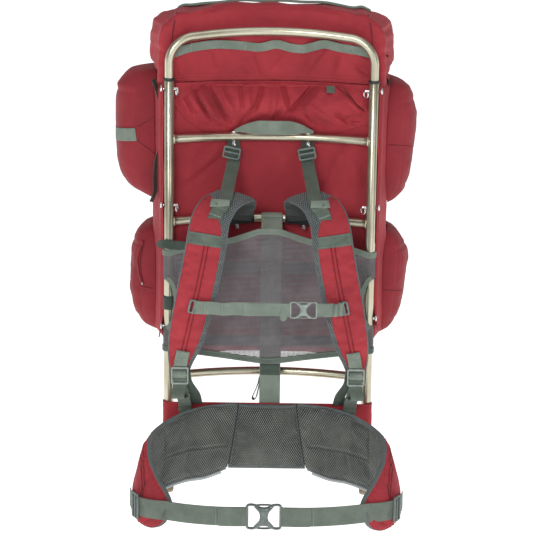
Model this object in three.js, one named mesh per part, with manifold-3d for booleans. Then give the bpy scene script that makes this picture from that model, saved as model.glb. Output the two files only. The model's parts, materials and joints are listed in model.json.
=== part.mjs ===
// An external frame backpack, seen from the wearer's side.
//
// Millimetres, +Z up, +X to the right for someone who looks at the back panel,
// +Y away from the wearer. Heights are measured from the feet of the frame, and
// the whole group is then shifted so that the origin is the centre of the
// lumbar pad's face, where the pack rests against the back.

import * as THREE from "three";
import Module from "manifold-3d";
import { mergeVertices } from "three/addons/utils/BufferGeometryUtils.js";

const wasm = await Module();
wasm.setup();

// Clearances
const SEAT_GAP = 0.4; // between pieces that touch on the real pack
const WELD_GAP = 0.3; // between a cross bar and the tube it is welded to

// Frame tubes
const FRAME_SPACING = 381; // between the axes of the side tubes
const TUBE_RADIUS = 9.5;
const TUBE_WALL = 0.9;
const TUBE_TOP = 812;
const FOOT_HEIGHT = 12;
const PLUG_DEPTH = 22;
const BAR_RADIUS = 8;
const BAR_BOW = 40; // how far the cross bars curve away from the back
const BAR_UPPER_Z = 701;
const BAR_MIDDLE_Z = 543;
const BAR_LOWER_Z = 237;

// Telescoping top bar
const TOP_BAR_Z = 894; // axis at the ends of its crest
const TOP_BAR_ARCH = 8; // extra height at the middle
const TOP_BAR_BOW = 30;
const TOP_BEND = 48;
const TOP_INSERT = 62; // length of each leg inside its side tube
const COLLAR_HEIGHT = 5;
const COLLAR_WALL = 2.4;

// Clevis pins and their split rings
const PIN_RADIUS = 2.8;
const PIN_HEAD_RADIUS = 4.8;
const PIN_HEAD = 2;
const RING_RADIUS = 7;
const RING_WIRE = 0.9;
const PIN_TOP_Z = 797;
const PIN_MID_Z = 575;
const PIN_LOW_LEFT_Z = 337;
const PIN_LOW_RIGHT_Z = 358;
const PIN_UPPER_BAR_X = 70;
const PIN_MIDDLE_BAR_X = 63;

// Main bag
const CLOTH = 2.5;
const BAG_FOOT_Z = 268;
const BAG_TOP_Z = 880;
const BAG_HALF_WIDTH = 228;
const BAG_DEPTH = 220;
const BACK_ROOM = 3; // for the webbing that loops round the cross bars

// Lid and its puffed flap
const LID_SIDE_ROOM = 3; // how far the lid stands out round the bag
const LID_FRONT_ROOM = 4;
const LID_HALF_WIDTH = BAG_HALF_WIDTH + LID_SIDE_ROOM;
const LID_DEPTH = BAG_DEPTH + LID_FRONT_ROOM;
const LID_RIM_Z = 806;
const LID_TOP_Z = 949;
const LID_SIDE_LIFT = 32; // the rim runs this much higher on the sides
const FLAP_HALF_WIDTH = 172;
const FLAP_HEIGHT = 96;
const FLAP_PUFF = 25;

// Strips that carry the pins
const STRIP_ABOVE_MESH = 28; // between the back mesh and the foot of a strip
const STRIP_THICKNESS = 2;
const STRIP_REACH = 16;

// Side pockets
const POCKET_CENTRE_Y = 128;
const POCKET_HALF_DEPTH = 76;
const POCKET_BULGE = 74;
const POCKET_SUNK = 3.5; // how far a pocket is first drawn into the bag that trims it

// Back mesh and bands
const MESH_THICKNESS = 1.4;
const MESH_TOP_Z = 478;
const MESH_TOP_ARCH = 38;
const MESH_FOOT_Z = 290;
const MESH_FOOT_ARCH = 36;
const CUTOUT_Z = 366;
const CUTOUT_REACH = 45;
const CUTOUT_HALF_HEIGHT = 45;
const TAIL_ABOVE_MESH = 20; // the tail of the strap that tightens the mesh
const TAIL_WIDTH = 17;
const WRAP_ANGLE = 20; // degrees that cloth goes on behind a side tube

// Webbing
const WEB_THICKNESS = 1.6;
const WEB_WIDTH = 25;
const HIP_WEB_WIDTH = 38;
const HIP_WEB_BOW = 9; // how far the hip webbing bows forward between wing and buckle
const CENTRE_STRAP_WIDTH = 40;
const HANDLE_WIDTH = 25;
const HANDLE_HALF_LENGTH = 55;
const HANDLE_REACH = 28;
const ANCHOR_OUT = 157; // sideways place of the webbing below the shoulder straps
const CHAIN_WIDTH = 20;
const CHAIN_Z = 872;

// Shoulder straps
const STRAP_WIDTH = 72;
const STRAP_THICKNESS = 13;
const STRAP_TOP_Z = 612;
const STRAP_FOOT_Z = 262;
const STRAP_REACH = 124; // how far the strap stands forward of the tubes
const STRAP_OUT = 166; // sideways place of its lower end
const SLIDER_Z = 414;

// Hip belt
const BACK_BAND_THICKNESS = 2;
const BACK_BAND_FOOT_Z = 62;
const BACK_BAND_TOP_Z = 188;
const LUMBAR_THICKNESS = 17.5;
const LUMBAR_HALF_WIDTH = 66;
const LUMBAR_FLARE = 10;
const LUMBAR_FOOT_Z = 56;
const LUMBAR_TOP_Z = 186;
const WING_OUT = 247;
const WING_FORWARD = 208;
const WING_HEIGHT = 140;
const WING_THICKNESS = 25;
const WING_CENTRE_Z = 124;

// Buckles
const LOCK_THICKNESS = 4;
const LOCK_HEIGHT = 23;
const LOCK_BORDER = 4;
const LOWER_LOCK_HEIGHT = 34;
const HIP_BUCKLE_LENGTH = 66;
const HIP_BUCKLE_HEIGHT = 47;
const HIP_BUCKLE_THICKNESS = 13;
const HIP_BUCKLE_Z = 47;
const HIP_BUCKLE_X = -4;
const HIP_BUCKLE_Y = -245;
const STERNUM_BUCKLE_LENGTH = 52;
const STERNUM_BUCKLE_HEIGHT = 30;
const STERNUM_BUCKLE_THICKNESS = 9;
const STERNUM_BUCKLE_X = 64;
const STERNUM_BUCKLE_Y = -148;

const HALF_SPACING = FRAME_SPACING / 2;
const BORE_RADIUS = TUBE_RADIUS - TUBE_WALL;
const TOP_RADIUS = BORE_RADIUS - SEAT_GAP;
const WRAP_RADIUS = TUBE_RADIUS + SEAT_GAP;
const BACK_OFFSET = TUBE_RADIUS + BACK_ROOM;
const LUMBAR_BACK_Y = -(WRAP_RADIUS + BACK_BAND_THICKNESS + SEAT_GAP);
const LUMBAR_FACE_Y = LUMBAR_BACK_Y - LUMBAR_THICKNESS;
const LUMBAR_CENTRE_Z = (LUMBAR_FOOT_Z + LUMBAR_TOP_Z) / 2;

// Plan outline of the bag, from a back corner to the middle of its front
const BAG_PLAN = [
  { across: 0.885, deep: 0 },
  { across: 0.93, deep: 0.1 },
  { across: 0.985, deep: 0.28 },
  { across: 1, deep: 0.48 },
  { across: 0.975, deep: 0.7 },
  { across: 0.9, deep: 0.86 },
  { across: 0.74, deep: 0.96 },
  { across: 0.4, deep: 1 },
];
const BACK_PLAN = [0.66, 0.44, 0.22, 0, -0.22, -0.44, -0.66];

// Levels of the bag and the lid: shares of the height, the half width and the depth
const BAG_LEVELS = [
  { level: 0, width: 0.55, depth: 0.6, setback: 0.2, bow: 0.3 },
  { level: 0.015, width: 0.76, depth: 0.78, setback: 0.1, bow: 0.6 },
  { level: 0.045, width: 0.91, depth: 0.93, setback: 0.03, bow: 0.9 },
  { level: 0.08, width: 0.98, depth: 0.99, setback: 0, bow: 1 },
  { level: 0.14, width: 1, depth: 1, setback: 0, bow: 1 },
  { level: 0.42, width: 0.995, depth: 1.02, setback: 0, bow: 1 },
  { level: 0.7, width: 1, depth: 1, setback: 0, bow: 1 },
  { level: 0.85, width: 1, depth: 0.98, setback: 0, bow: 1 },
  { level: 0.885, width: 0.965, depth: 0.94, setback: 0.035, bow: 1 },
  { level: 1, width: 0.955, depth: 0.93, setback: 0.035, bow: 1 },
];
const LID_LEVELS = [
  { level: 0, width: 1, depth: 1, setback: 0, bow: 1 },
  { level: 0.31, width: 1, depth: 1, setback: 0, bow: 1 },
  { level: 0.65, width: 0.995, depth: 1, setback: 0, bow: 1 },
  { level: 0.83, width: 0.965, depth: 0.97, setback: 0.01, bow: 0.95 },
  { level: 0.92, width: 0.88, depth: 0.9, setback: 0.05, bow: 0.75 },
  { level: 0.98, width: 0.68, depth: 0.74, setback: 0.13, bow: 0.45 },
  { level: 1, width: 0.45, depth: 0.5, setback: 0.25, bow: 0.2 },
];

// Lower edge of the flap: how far it hangs at each place across
const FLAP_EDGE = [
  { across: -1, hang: 0.36 },
  { across: -0.86, hang: 0.72 },
  { across: -0.7, hang: 0.94 },
  { across: -0.5, hang: 1 },
  { across: 0.6, hang: 1 },
  { across: 1, hang: 0.72 },
];

// Side pockets: shares of the bag's height for foot and height, of the greatest bulge,
// and of the pocket's own height for its belly
const POCKETS = [
  { name: "pocket_upper_left", side: -1, foot: 0.4886, height: 0.4085, bulge: 1, belly: 0.62 },
  { name: "pocket_upper_right", side: 1, foot: 0.4837, height: 0.3889, bulge: 0.757, belly: 0.58 },
  { name: "pocket_lower_left", side: -1, foot: 0.0425, height: 0.3611, bulge: 0.635, belly: 0.5 },
  { name: "pocket_lower_right", side: 1, foot: 0.0572, height: 0.3431, bulge: 0.622, belly: 0.66 },
];

// Shoulder strap from the middle bar over the crest and down to its buckle:
// shares of the way out, of the reach forward, of the height, width and thickness
const STRAP_ROWS = [
  { out: 0.36, reach: -0.165, height: -0.18, width: 0.62, thick: 0.45 },
  { out: 0.36, reach: 0, height: -0.09, width: 0.85, thick: 0.8 },
  { out: 0.38, reach: 0.24, height: -0.02, width: 0.95, thick: 1 },
  { out: 0.48, reach: 0.5, height: 0, width: 1, thick: 1 },
  { out: 0.6, reach: 0.74, height: -0.025, width: 1, thick: 1 },
  { out: 0.67, reach: 0.89, height: -0.1, width: 1, thick: 1 },
  { out: 0.69, reach: 0.97, height: -0.17, width: 1, thick: 1 },
  { out: 0.71, reach: 1, height: -0.27, width: 1, thick: 1 },
  { out: 0.77, reach: 1, height: -0.42, width: 1, thick: 1 },
  { out: 0.85, reach: 0.93, height: -0.6, width: 0.97, thick: 1 },
  { out: 0.93, reach: 0.82, height: -0.78, width: 0.86, thick: 0.95 },
  { out: 0.985, reach: 0.72, height: -0.9, width: 0.62, thick: 0.8 },
  { out: 1, reach: 0.66, height: -1, width: 0.36, thick: 0.5 },
];

// Hip wing from the lumbar pad to its tip: shares of the way out and forward from
// the pad's side, of the centre height, the height and the thickness
const WING_ROWS = [
  { out: 0, forward: 0, centre: 1, height: 0.93, thick: 0.62, tilt: 1 },
  { out: 0.27, forward: 0.0275, centre: 0.93, height: 1, thick: 0.88, tilt: 0.3 },
  { out: 0.52, forward: 0.085, centre: 0.87, height: 0.945, thick: 0.96, tilt: 0 },
  { out: 0.77, forward: 0.207, centre: 0.775, height: 0.915, thick: 1, tilt: 0 },
  { out: 0.945, forward: 0.373, centre: 0.695, height: 0.9, thick: 0.96, tilt: 0 },
  { out: 1, forward: 0.541, centre: 0.58, height: 0.79, thick: 0.88, tilt: 0 },
  { out: 0.94, forward: 0.7, centre: 0.44, height: 0.7, thick: 0.8, tilt: 0 },
  { out: 0.81, forward: 0.825, centre: 0.335, height: 0.55, thick: 0.68, tilt: 0 },
  { out: 0.66, forward: 0.91, centre: 0.31, height: 0.34, thick: 0.48, tilt: 0 },
];

const FLAT_SECTION = [[-1, -1], [1, -1], [1, 1], [-1, 1]];
const PAD_SECTION = [
  [1, -0.45], [1, 0.45], [0.9, 1], [-0.9, 1],
  [-1, 0.45], [-1, -0.45], [-0.9, -1], [0.9, -1],
];
const X_AXIS = new THREE.Vector3(1, 0, 0);
const Z_AXIS = new THREE.Vector3(0, 0, 1);

const pack = new THREE.Group();
pack.position.set(0, -LUMBAR_FACE_Y, -LUMBAR_CENTRE_Z);

// Materials

function cloth(color) {
  return new THREE.MeshStandardMaterial({ color, roughness: 0.85, metalness: 0 });
}

const MATERIALS = {
  red: cloth(0xa5323c),
  webbing: cloth(0x6e7d70),
  darkWebbing: cloth(0x46584c),
  mesh: cloth(0x4a4650),
  spacer: cloth(0x5a5f5f),
  tube: new THREE.MeshStandardMaterial({ color: 0xb9b49b, roughness: 0.35, metalness: 0.9 }),
  steel: new THREE.MeshStandardMaterial({ color: 0xc8c8c8, roughness: 0.25, metalness: 1 }),
  plastic: new THREE.MeshStandardMaterial({ color: 0x4c5854, roughness: 0.5, metalness: 0 }),
  black: new THREE.MeshStandardMaterial({ color: 0x1c1c1e, roughness: 0.6, metalness: 0 }),
  tan: new THREE.MeshStandardMaterial({ color: 0xa8977a, roughness: 0.6, metalness: 0 }),
};

function add(name, geometry, material) {
  const mesh = new THREE.Mesh(geometry, material);
  mesh.name = name;
  pack.add(mesh);
}

// Solid helpers

function closedGeometry(positions, index) {
  const point = (i) => new THREE.Vector3().fromArray(positions, 3 * i);
  let volume = 0;
  for (let i = 0; i < index.length; i += 3) {
    volume += point(index[i]).dot(point(index[i + 1]).cross(point(index[i + 2])));
  }
  const turned = volume < 0 ? index.slice().reverse() : index;
  const geometry = new THREE.BufferGeometry();
  geometry.setAttribute("position", new THREE.Float32BufferAttribute(positions, 3));
  geometry.setIndex(turned);
  geometry.computeVertexNormals();
  return geometry;
}

function solidOf(geometry) {
  const bare = geometry.clone();
  bare.deleteAttribute("normal");
  bare.deleteAttribute("uv");
  const merged = mergeVertices(bare, 1e-4);
  const mesh = new wasm.Mesh({
    numProp: 3,
    vertProperties: new Float32Array(merged.attributes.position.array),
    triVerts: new Uint32Array(merged.index.array),
  });
  return new wasm.Manifold(mesh);
}

function geometryOf(solid) {
  const mesh = solid.getMesh();
  const positions = Array.from(mesh.vertProperties);
  return closedGeometry(positions, Array.from(mesh.triVerts));
}

function cut(geometry, cutters) {
  let solid = solidOf(geometry);
  for (const cutter of cutters) {
    solid = solid.subtract(solidOf(cutter));
  }
  return geometryOf(solid);
}

function join(geometries) {
  let solid = solidOf(geometries[0]);
  for (const geometry of geometries.slice(1)) {
    solid = solid.add(solidOf(geometry));
  }
  return geometryOf(solid);
}

// A closed surface through rings of points, capped at both ends
function loft(rings, closed = false) {
  const size = rings[0].length;
  const positions = rings.flat().flatMap((p) => [p.x, p.y, p.z]);
  const index = [];
  const spans = closed ? rings.length : rings.length - 1;
  for (let i = 0; i < spans; i += 1) {
    const here = i * size;
    const next = ((i + 1) % rings.length) * size;
    for (let j = 0; j < size; j += 1) {
      const k = (j + 1) % size;
      const [a, b, c, d] = [here + j, next + j, next + k, here + k];
      const points = rings[i];
      const following = rings[(i + 1) % rings.length];
      const rising = points[j].distanceTo(following[k]);
      const falling = following[j].distanceTo(points[k]);
      if (rising <= falling) index.push(a, b, c, a, c, d);
      else index.push(a, b, d, b, c, d);
    }
  }
  if (!closed) {
    addCap(positions, index, rings[0], 0, false);
    addCap(positions, index, rings.at(-1), (rings.length - 1) * size, true);
  }
  return closedGeometry(positions, index);
}

function addCap(positions, index, ring, base, turned) {
  const centre = new THREE.Vector3();
  for (const point of ring) {
    centre.addScaledVector(point, 1 / ring.length);
  }
  const hub = positions.length / 3;
  positions.push(centre.x, centre.y, centre.z);
  for (let j = 0; j < ring.length; j += 1) {
    const a = base + j;
    const b = base + ((j + 1) % ring.length);
    index.push(hub, turned ? b : a, turned ? a : b);
  }
}

// Sweeps a section along stations that hold their own half width and half thickness
function sweep(stations, section, closed = false) {
  const ringAt = ({ at, across, through }) =>
    section.map(([a, b]) => at.clone().addScaledVector(across, a).addScaledVector(through, b));
  return loft(stations.map(ringAt), closed);
}

// A closed slab between two surfaces over the same square of shares
function slab(front, back, columns, rows) {
  const positions = [];
  const index = [];
  const count = (columns + 1) * (rows + 1);
  const at = (side, i, j) => side * count + i * (rows + 1) + j;
  for (const face of [front, back]) {
    for (let i = 0; i <= columns; i += 1) {
      for (let j = 0; j <= rows; j += 1) {
        positions.push(...face(i / columns, j / rows).toArray());
      }
    }
  }
  for (let i = 0; i < columns; i += 1) {
    for (let j = 0; j < rows; j += 1) {
      const corners = [[i, j], [i + 1, j], [i + 1, j + 1], [i, j + 1]];
      const [a, b, c, d] = corners.map(([p, q]) => at(0, p, q));
      const [e, f, g, h] = corners.map(([p, q]) => at(1, p, q));
      index.push(a, b, c, a, c, d, e, g, f, e, h, g);
    }
  }
  const rim = rimOf(columns, rows);
  for (let k = 0; k < rim.length; k += 1) {
    const [p, q] = [rim[k], rim[(k + 1) % rim.length]];
    const [p0, q0, p1, q1] = [at(0, ...p), at(0, ...q), at(1, ...p), at(1, ...q)];
    index.push(q0, p0, p1, q0, p1, q1);
  }
  return closedGeometry(positions, index);
}

function rimOf(columns, rows) {
  const rim = [];
  for (let i = 0; i < columns; i += 1) rim.push([i, 0]);
  for (let j = 0; j < rows; j += 1) rim.push([columns, j]);
  for (let i = columns; i > 0; i -= 1) rim.push([i, rows]);
  for (let j = rows; j > 0; j -= 1) rim.push([0, j]);
  return rim;
}

function rod(radius, from, to, sides = 12) {
  const length = from.distanceTo(to);
  const geometry = new THREE.CylinderGeometry(radius, radius, length, sides);
  const turn = new THREE.Quaternion().setFromUnitVectors(
    new THREE.Vector3(0, 1, 0),
    to.clone().sub(from).normalize(),
  );
  geometry.applyQuaternion(turn);
  geometry.translate(...from.clone().add(to).multiplyScalar(0.5).toArray());
  return geometry;
}

function ring(inner, outer, foot, top, x, sides = 16) {
  const profile = [[inner, foot], [outer, foot], [outer, top], [inner, top], [inner, foot]];
  const points = profile.map(([r, z]) => new THREE.Vector2(r, z));
  const geometry = new THREE.LatheGeometry(points, sides);
  geometry.rotateX(Math.PI / 2);
  geometry.translate(x, 0, 0);
  return closedFrom(geometry);
}

function closedFrom(geometry) {
  return geometryOf(solidOf(orient(geometry)));
}

function orient(geometry) {
  const bare = geometry.clone();
  bare.deleteAttribute("normal");
  bare.deleteAttribute("uv");
  const merged = mergeVertices(bare, 1e-4);
  return closedGeometry(Array.from(merged.attributes.position.array), cleanIndex(merged));
}

// Drops the triangles that a pole or a closed seam has squeezed to a line
function cleanIndex(geometry) {
  const index = Array.from(geometry.index.array);
  const kept = [];
  for (let i = 0; i < index.length; i += 3) {
    const [a, b, c] = index.slice(i, i + 3);
    if (a !== b && b !== c && c !== a) kept.push(a, b, c);
  }
  return kept;
}

function circleShape(radius, sides) {
  const points = [];
  for (let i = 0; i < sides; i += 1) {
    const angle = (2 * Math.PI * i) / sides;
    points.push(new THREE.Vector2(radius * Math.cos(angle), radius * Math.sin(angle)));
  }
  return new THREE.Shape(points);
}

function tubeAlong(curve, radius, sides, steps) {
  const shape = circleShape(radius, sides);
  const settings = { steps, bevelEnabled: false, extrudePath: curve, curveSegments: 1 };
  return orient(new THREE.ExtrudeGeometry(shape, settings));
}

// A flat plate with rounded corners and rectangular windows
function plate(width, height, thickness, radius, windows) {
  const shape = new THREE.Shape();
  const [w, h] = [width / 2, height / 2];
  shape.moveTo(-w + radius, -h);
  shape.lineTo(w - radius, -h);
  shape.quadraticCurveTo(w, -h, w, -h + radius);
  shape.lineTo(w, h - radius);
  shape.quadraticCurveTo(w, h, w - radius, h);
  shape.lineTo(-w + radius, h);
  shape.quadraticCurveTo(-w, h, -w, h - radius);
  shape.lineTo(-w, -h + radius);
  shape.quadraticCurveTo(-w, -h, -w + radius, -h);
  for (const { x, y, wide, high } of windows) {
    shape.holes.push(windowPath(x, y, wide / 2, high / 2));
  }
  const settings = { depth: thickness, bevelEnabled: false, curveSegments: 2 };
  const geometry = new THREE.ExtrudeGeometry(shape, settings);
  geometry.translate(0, 0, -thickness / 2);
  return orient(geometry);
}

function windowPath(x, y, w, h) {
  const path = new THREE.Path();
  path.moveTo(x - w, y - h);
  path.lineTo(x - w, y + h);
  path.lineTo(x + w, y + h);
  path.lineTo(x + w, y - h);
  path.lineTo(x - w, y - h);
  return path;
}

// Places a piece made flat: its width along one direction, its face along the normal
function place(geometry, at, along, normal) {
  const z = normal.clone().normalize();
  const x = along.clone().addScaledVector(z, -along.dot(z)).normalize();
  const y = z.clone().cross(x);
  const matrix = new THREE.Matrix4().makeBasis(x, y, z).setPosition(at);
  return geometry.clone().applyMatrix4(matrix);
}

function vector(x, y, z) {
  return new THREE.Vector3(x, y, z);
}

function tableValue(rows, key, value, column) {
  const last = rows.length - 1;
  if (value <= rows[0][key]) return rows[0][column];
  for (let i = 0; i < last; i += 1) {
    const [low, high] = [rows[i], rows[i + 1]];
    if (value <= high[key]) {
      const share = (value - low[key]) / (high[key] - low[key]);
      return THREE.MathUtils.lerp(low[column], high[column], share);
    }
  }
  return rows[last][column];
}

// Webbing along a path of points, with one direction held for its width
function webbingStations(points, width, wide, thickness, closed) {
  return points.map((at, i) => {
    const before = closed ? points.at(i - 1) : points[Math.max(i - 1, 0)];
    const last = points.length - 1;
    const after = closed ? points[(i + 1) % points.length] : points[Math.min(i + 1, last)];
    const along = after.clone().sub(before).normalize();
    const across = wide.clone().addScaledVector(along, -wide.dot(along)).normalize();
    const through = along.clone().cross(across);
    return {
      at,
      across: across.multiplyScalar(width / 2),
      through: through.multiplyScalar(thickness / 2),
    };
  });
}

function webbing(points, width, wide, thickness = WEB_THICKNESS, closed = false) {
  return sweep(webbingStations(points, width, wide, thickness, closed), FLAT_SECTION, closed);
}

// Frame

function barY(x, bow) {
  return bow * (1 - (x / HALF_SPACING) ** 2);
}

function pinHole(x, z) {
  const reach = TUBE_RADIUS * 2;
  return rod(PIN_RADIUS + SEAT_GAP, vector(x - reach, 0, z), vector(x + reach, 0, z), 8);
}

function sideTube(side, lowPinZ) {
  const x = side * HALF_SPACING;
  const foot = FOOT_HEIGHT + WELD_GAP;
  const tube = ring(BORE_RADIUS, TUBE_RADIUS, foot, TUBE_TOP, x, 18);
  return cut(tube, [pinHole(x, PIN_TOP_Z), pinHole(x, PIN_MID_Z), pinHole(x, lowPinZ)]);
}

function topBarCurve() {
  const low = TUBE_TOP - TOP_INSERT;
  const bendZ = TOP_BAR_Z - TOP_BEND;
  const bendX = HALF_SPACING - TOP_BEND;
  const bendY = barY(bendX, TOP_BAR_BOW);
  const crest = TOP_BAR_Z + 2 * TOP_BAR_ARCH;
  const slope = (2 * TOP_BAR_BOW * bendX) / HALF_SPACING ** 2;
  const control = TOP_BEND * 0.55;
  const side = (s) => new THREE.CubicBezierCurve3(
    vector(s * HALF_SPACING, 0, bendZ),
    vector(s * HALF_SPACING, 0, bendZ + control),
    vector(s * (bendX + control), bendY - slope * control, TOP_BAR_Z - 1),
    vector(s * bendX, bendY, TOP_BAR_Z),
  );
  const left = side(-1).getPoints(6);
  const right = side(1).getPoints(6).reverse();
  const middle = [-0.66, -0.33, 0, 0.33, 0.66].map((share) => {
    const x = share * bendX;
    const z = TOP_BAR_Z + (crest - TOP_BAR_Z) * 0.5 * (1 - share * share);
    return vector(x, barY(x, TOP_BAR_BOW), z);
  });
  const start = vector(-HALF_SPACING, 0, low);
  const end = vector(HALF_SPACING, 0, low);
  return [start, ...left, ...middle, ...right, end];
}

// Rings square to a path, carried along it without twist
function tubeThrough(points, radius, sides) {
  let across = Z_AXIS.clone();
  const rings = points.map((at, i) => {
    const before = points[Math.max(i - 1, 0)];
    const after = points[Math.min(i + 1, points.length - 1)];
    const along = after.clone().sub(before).normalize();
    if (i === 0) across = vector(0, 1, 0);
    across.addScaledVector(along, -across.dot(along)).normalize();
    const other = along.clone().cross(across);
    const circle = [];
    for (let k = 0; k < sides; k += 1) {
      const angle = (2 * Math.PI * k) / sides;
      const point = at.clone().addScaledVector(across, radius * Math.cos(angle));
      circle.push(point.addScaledVector(other, radius * Math.sin(angle)));
    }
    return circle;
  });
  return loft(rings);
}

function topBar() {
  const bar = tubeThrough(topBarCurve(), TOP_RADIUS, 12);
  return cut(bar, [pinHole(-HALF_SPACING, PIN_TOP_Z), pinHole(HALF_SPACING, PIN_TOP_Z)]);
}

function crossBar(z, pinX) {
  const curve = new THREE.QuadraticBezierCurve3(
    vector(-HALF_SPACING, 0, z),
    vector(0, 2 * BAR_BOW, z),
    vector(HALF_SPACING, 0, z),
  );
  const bar = tubeAlong(curve, BAR_RADIUS, 12, 10);
  const reach = BAR_RADIUS * 2;
  const cutters = [-1, 1].map((side) => {
    const x = side * HALF_SPACING;
    return rod(TUBE_RADIUS + WELD_GAP, vector(x, 0, z - reach), vector(x, 0, z + reach), 24);
  });
  if (pinX > 0) {
    for (const side of [-1, 1]) {
      const x = side * pinX;
      const y = barY(x, BAR_BOW);
      cutters.push(rod(PIN_RADIUS + SEAT_GAP, vector(x, y, z - reach), vector(x, y, z + reach)));
    }
  }
  return cut(bar, cutters);
}

function footPlug(x) {
  const inner = BORE_RADIUS - SEAT_GAP;
  const profile = [
    [0, 0], [TUBE_RADIUS * 0.7, 0], [TUBE_RADIUS * 0.93, 2], [TUBE_RADIUS, 5],
    [TUBE_RADIUS, FOOT_HEIGHT], [inner, FOOT_HEIGHT], [inner, FOOT_HEIGHT + PLUG_DEPTH],
    [0, FOOT_HEIGHT + PLUG_DEPTH],
  ];
  const points = profile.map(([r, z]) => new THREE.Vector2(r, z));
  const geometry = new THREE.LatheGeometry(points, 12);
  geometry.rotateX(Math.PI / 2);
  geometry.translate(x, 0, 0);
  return orient(geometry);
}

// A pin with its head outside and the split ring at its tip
function pin(at, direction, grip) {
  const step = (distance) => at.clone().addScaledVector(direction, distance);
  const shaft = rod(PIN_RADIUS, step(-grip), step(grip + 4), 8);
  const head = rod(PIN_HEAD_RADIUS, step(-grip - PIN_HEAD), step(-grip), 10);
  const torus = new THREE.TorusGeometry(RING_RADIUS, RING_WIRE, 4, 10);
  const flat = orient(torus);
  const hang = step(grip + 2).add(vector(0, 0, -RING_RADIUS + PIN_RADIUS * 0.5));
  const hung = place(flat, hang, vector(0, 1, 0), vector(1, -0.35, 0));
  return join([shaft, head, hung]);
}

function buildFrame() {
  add("side_tube_left", sideTube(-1, PIN_LOW_LEFT_Z), MATERIALS.tube);
  add("side_tube_right", sideTube(1, PIN_LOW_RIGHT_Z), MATERIALS.tube);
  add("top_bar", topBar(), MATERIALS.tube);
  add("cross_bar_upper", crossBar(BAR_UPPER_Z, PIN_UPPER_BAR_X), MATERIALS.tube);
  add("cross_bar_middle", crossBar(BAR_MIDDLE_Z, PIN_MIDDLE_BAR_X), MATERIALS.tube);
  add("cross_bar_lower", crossBar(BAR_LOWER_Z, 0), MATERIALS.tube);
  for (const [name, side] of [["left", -1], ["right", 1]]) {
    const x = side * HALF_SPACING;
    const inner = TOP_RADIUS + SEAT_GAP;
    const foot = TUBE_TOP + WELD_GAP;
    const collar = ring(inner, inner + COLLAR_WALL, foot, foot + COLLAR_HEIGHT, x, 12);
    add(`collar_${name}`, collar, MATERIALS.black);
    add(`foot_plug_${name}`, footPlug(x), MATERIALS.tan);
  }
}

function buildPins() {
  const grip = TUBE_RADIUS + SEAT_GAP + STRIP_THICKNESS + SEAT_GAP;
  const rows = [
    { name: "pin_top_left", side: -1, z: PIN_TOP_Z },
    { name: "pin_top_right", side: 1, z: PIN_TOP_Z },
    { name: "pin_mid_left", side: -1, z: PIN_MID_Z },
    { name: "pin_mid_right", side: 1, z: PIN_MID_Z },
    { name: "pin_low_left", side: -1, z: PIN_LOW_LEFT_Z },
    { name: "pin_low_right", side: 1, z: PIN_LOW_RIGHT_Z },
  ];
  for (const { name, side, z } of rows) {
    const geometry = pin(vector(side * HALF_SPACING, 0, z), vector(-side, 0, 0), grip);
    add(name, geometry, MATERIALS.steel);
  }
}

// Bag and lid

function planRing(size, row, inset) {
  const half = size.halfWidth * row.width - inset;
  const depth = size.depth * row.depth - 2 * inset;
  const back = size.back + size.depth * row.setback + inset;
  const bow = BAR_BOW * row.bow;
  const z = size.foot + size.height * row.level + row.shift;
  const points = [];
  for (const { across, deep } of BAG_PLAN) {
    points.push(vector(across * half, back + deep * depth, z));
  }
  for (const { across, deep } of BAG_PLAN.slice().reverse()) {
    points.push(vector(-across * half, back + deep * depth, z));
  }
  for (const share of BACK_PLAN.slice().reverse()) {
    const x = share * half;
    points.push(vector(x, back + Math.max(barY(x, bow), 0), z));
  }
  return points;
}

const BAG_SIZE = {
  halfWidth: BAG_HALF_WIDTH,
  depth: BAG_DEPTH,
  back: BACK_OFFSET,
  foot: BAG_FOOT_Z,
  height: BAG_TOP_Z - BAG_FOOT_Z,
};
const LID_SIZE = {
  halfWidth: LID_HALF_WIDTH,
  depth: LID_DEPTH,
  back: BACK_OFFSET,
  foot: LID_RIM_Z,
  height: LID_TOP_Z - LID_RIM_Z,
};

function shell(size, levels, wall, openTop) {
  const outer = levels.map((row) => planRing(size, { ...row, shift: 0 }, 0));
  const inner = levels.map((row, i) => {
    const capped = openTop ? i === 0 : i === levels.length - 1;
    const shift = capped ? (openTop ? wall : -wall) : 0;
    return planRing(size, { ...row, shift }, wall);
  });
  return openTop ? [...outer, ...inner.reverse()] : [...outer.reverse(), ...inner];
}

function envelope(size, levels, clearance) {
  const rings = levels.map((row, i) => {
    const end = i === 0 ? -clearance : i === levels.length - 1 ? clearance : 0;
    return planRing(size, { ...row, shift: end }, -clearance);
  });
  return loft(rings);
}

function liftRim(rings) {
  const top = LID_RIM_Z + LID_SIDE_LIFT;
  return rings.map((points) => points.map((point) => {
    const deep = (point.y - BACK_OFFSET) / LID_DEPTH;
    const onBack = Math.abs(point.x) < LID_HALF_WIDTH * 0.9 && deep < 0.4;
    const lift = point.z < top - 1 && !onBack ? LID_SIDE_LIFT * Math.min(1, deep / 0.2) : 0;
    return point.clone().add(vector(0, 0, lift));
  }));
}

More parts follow.
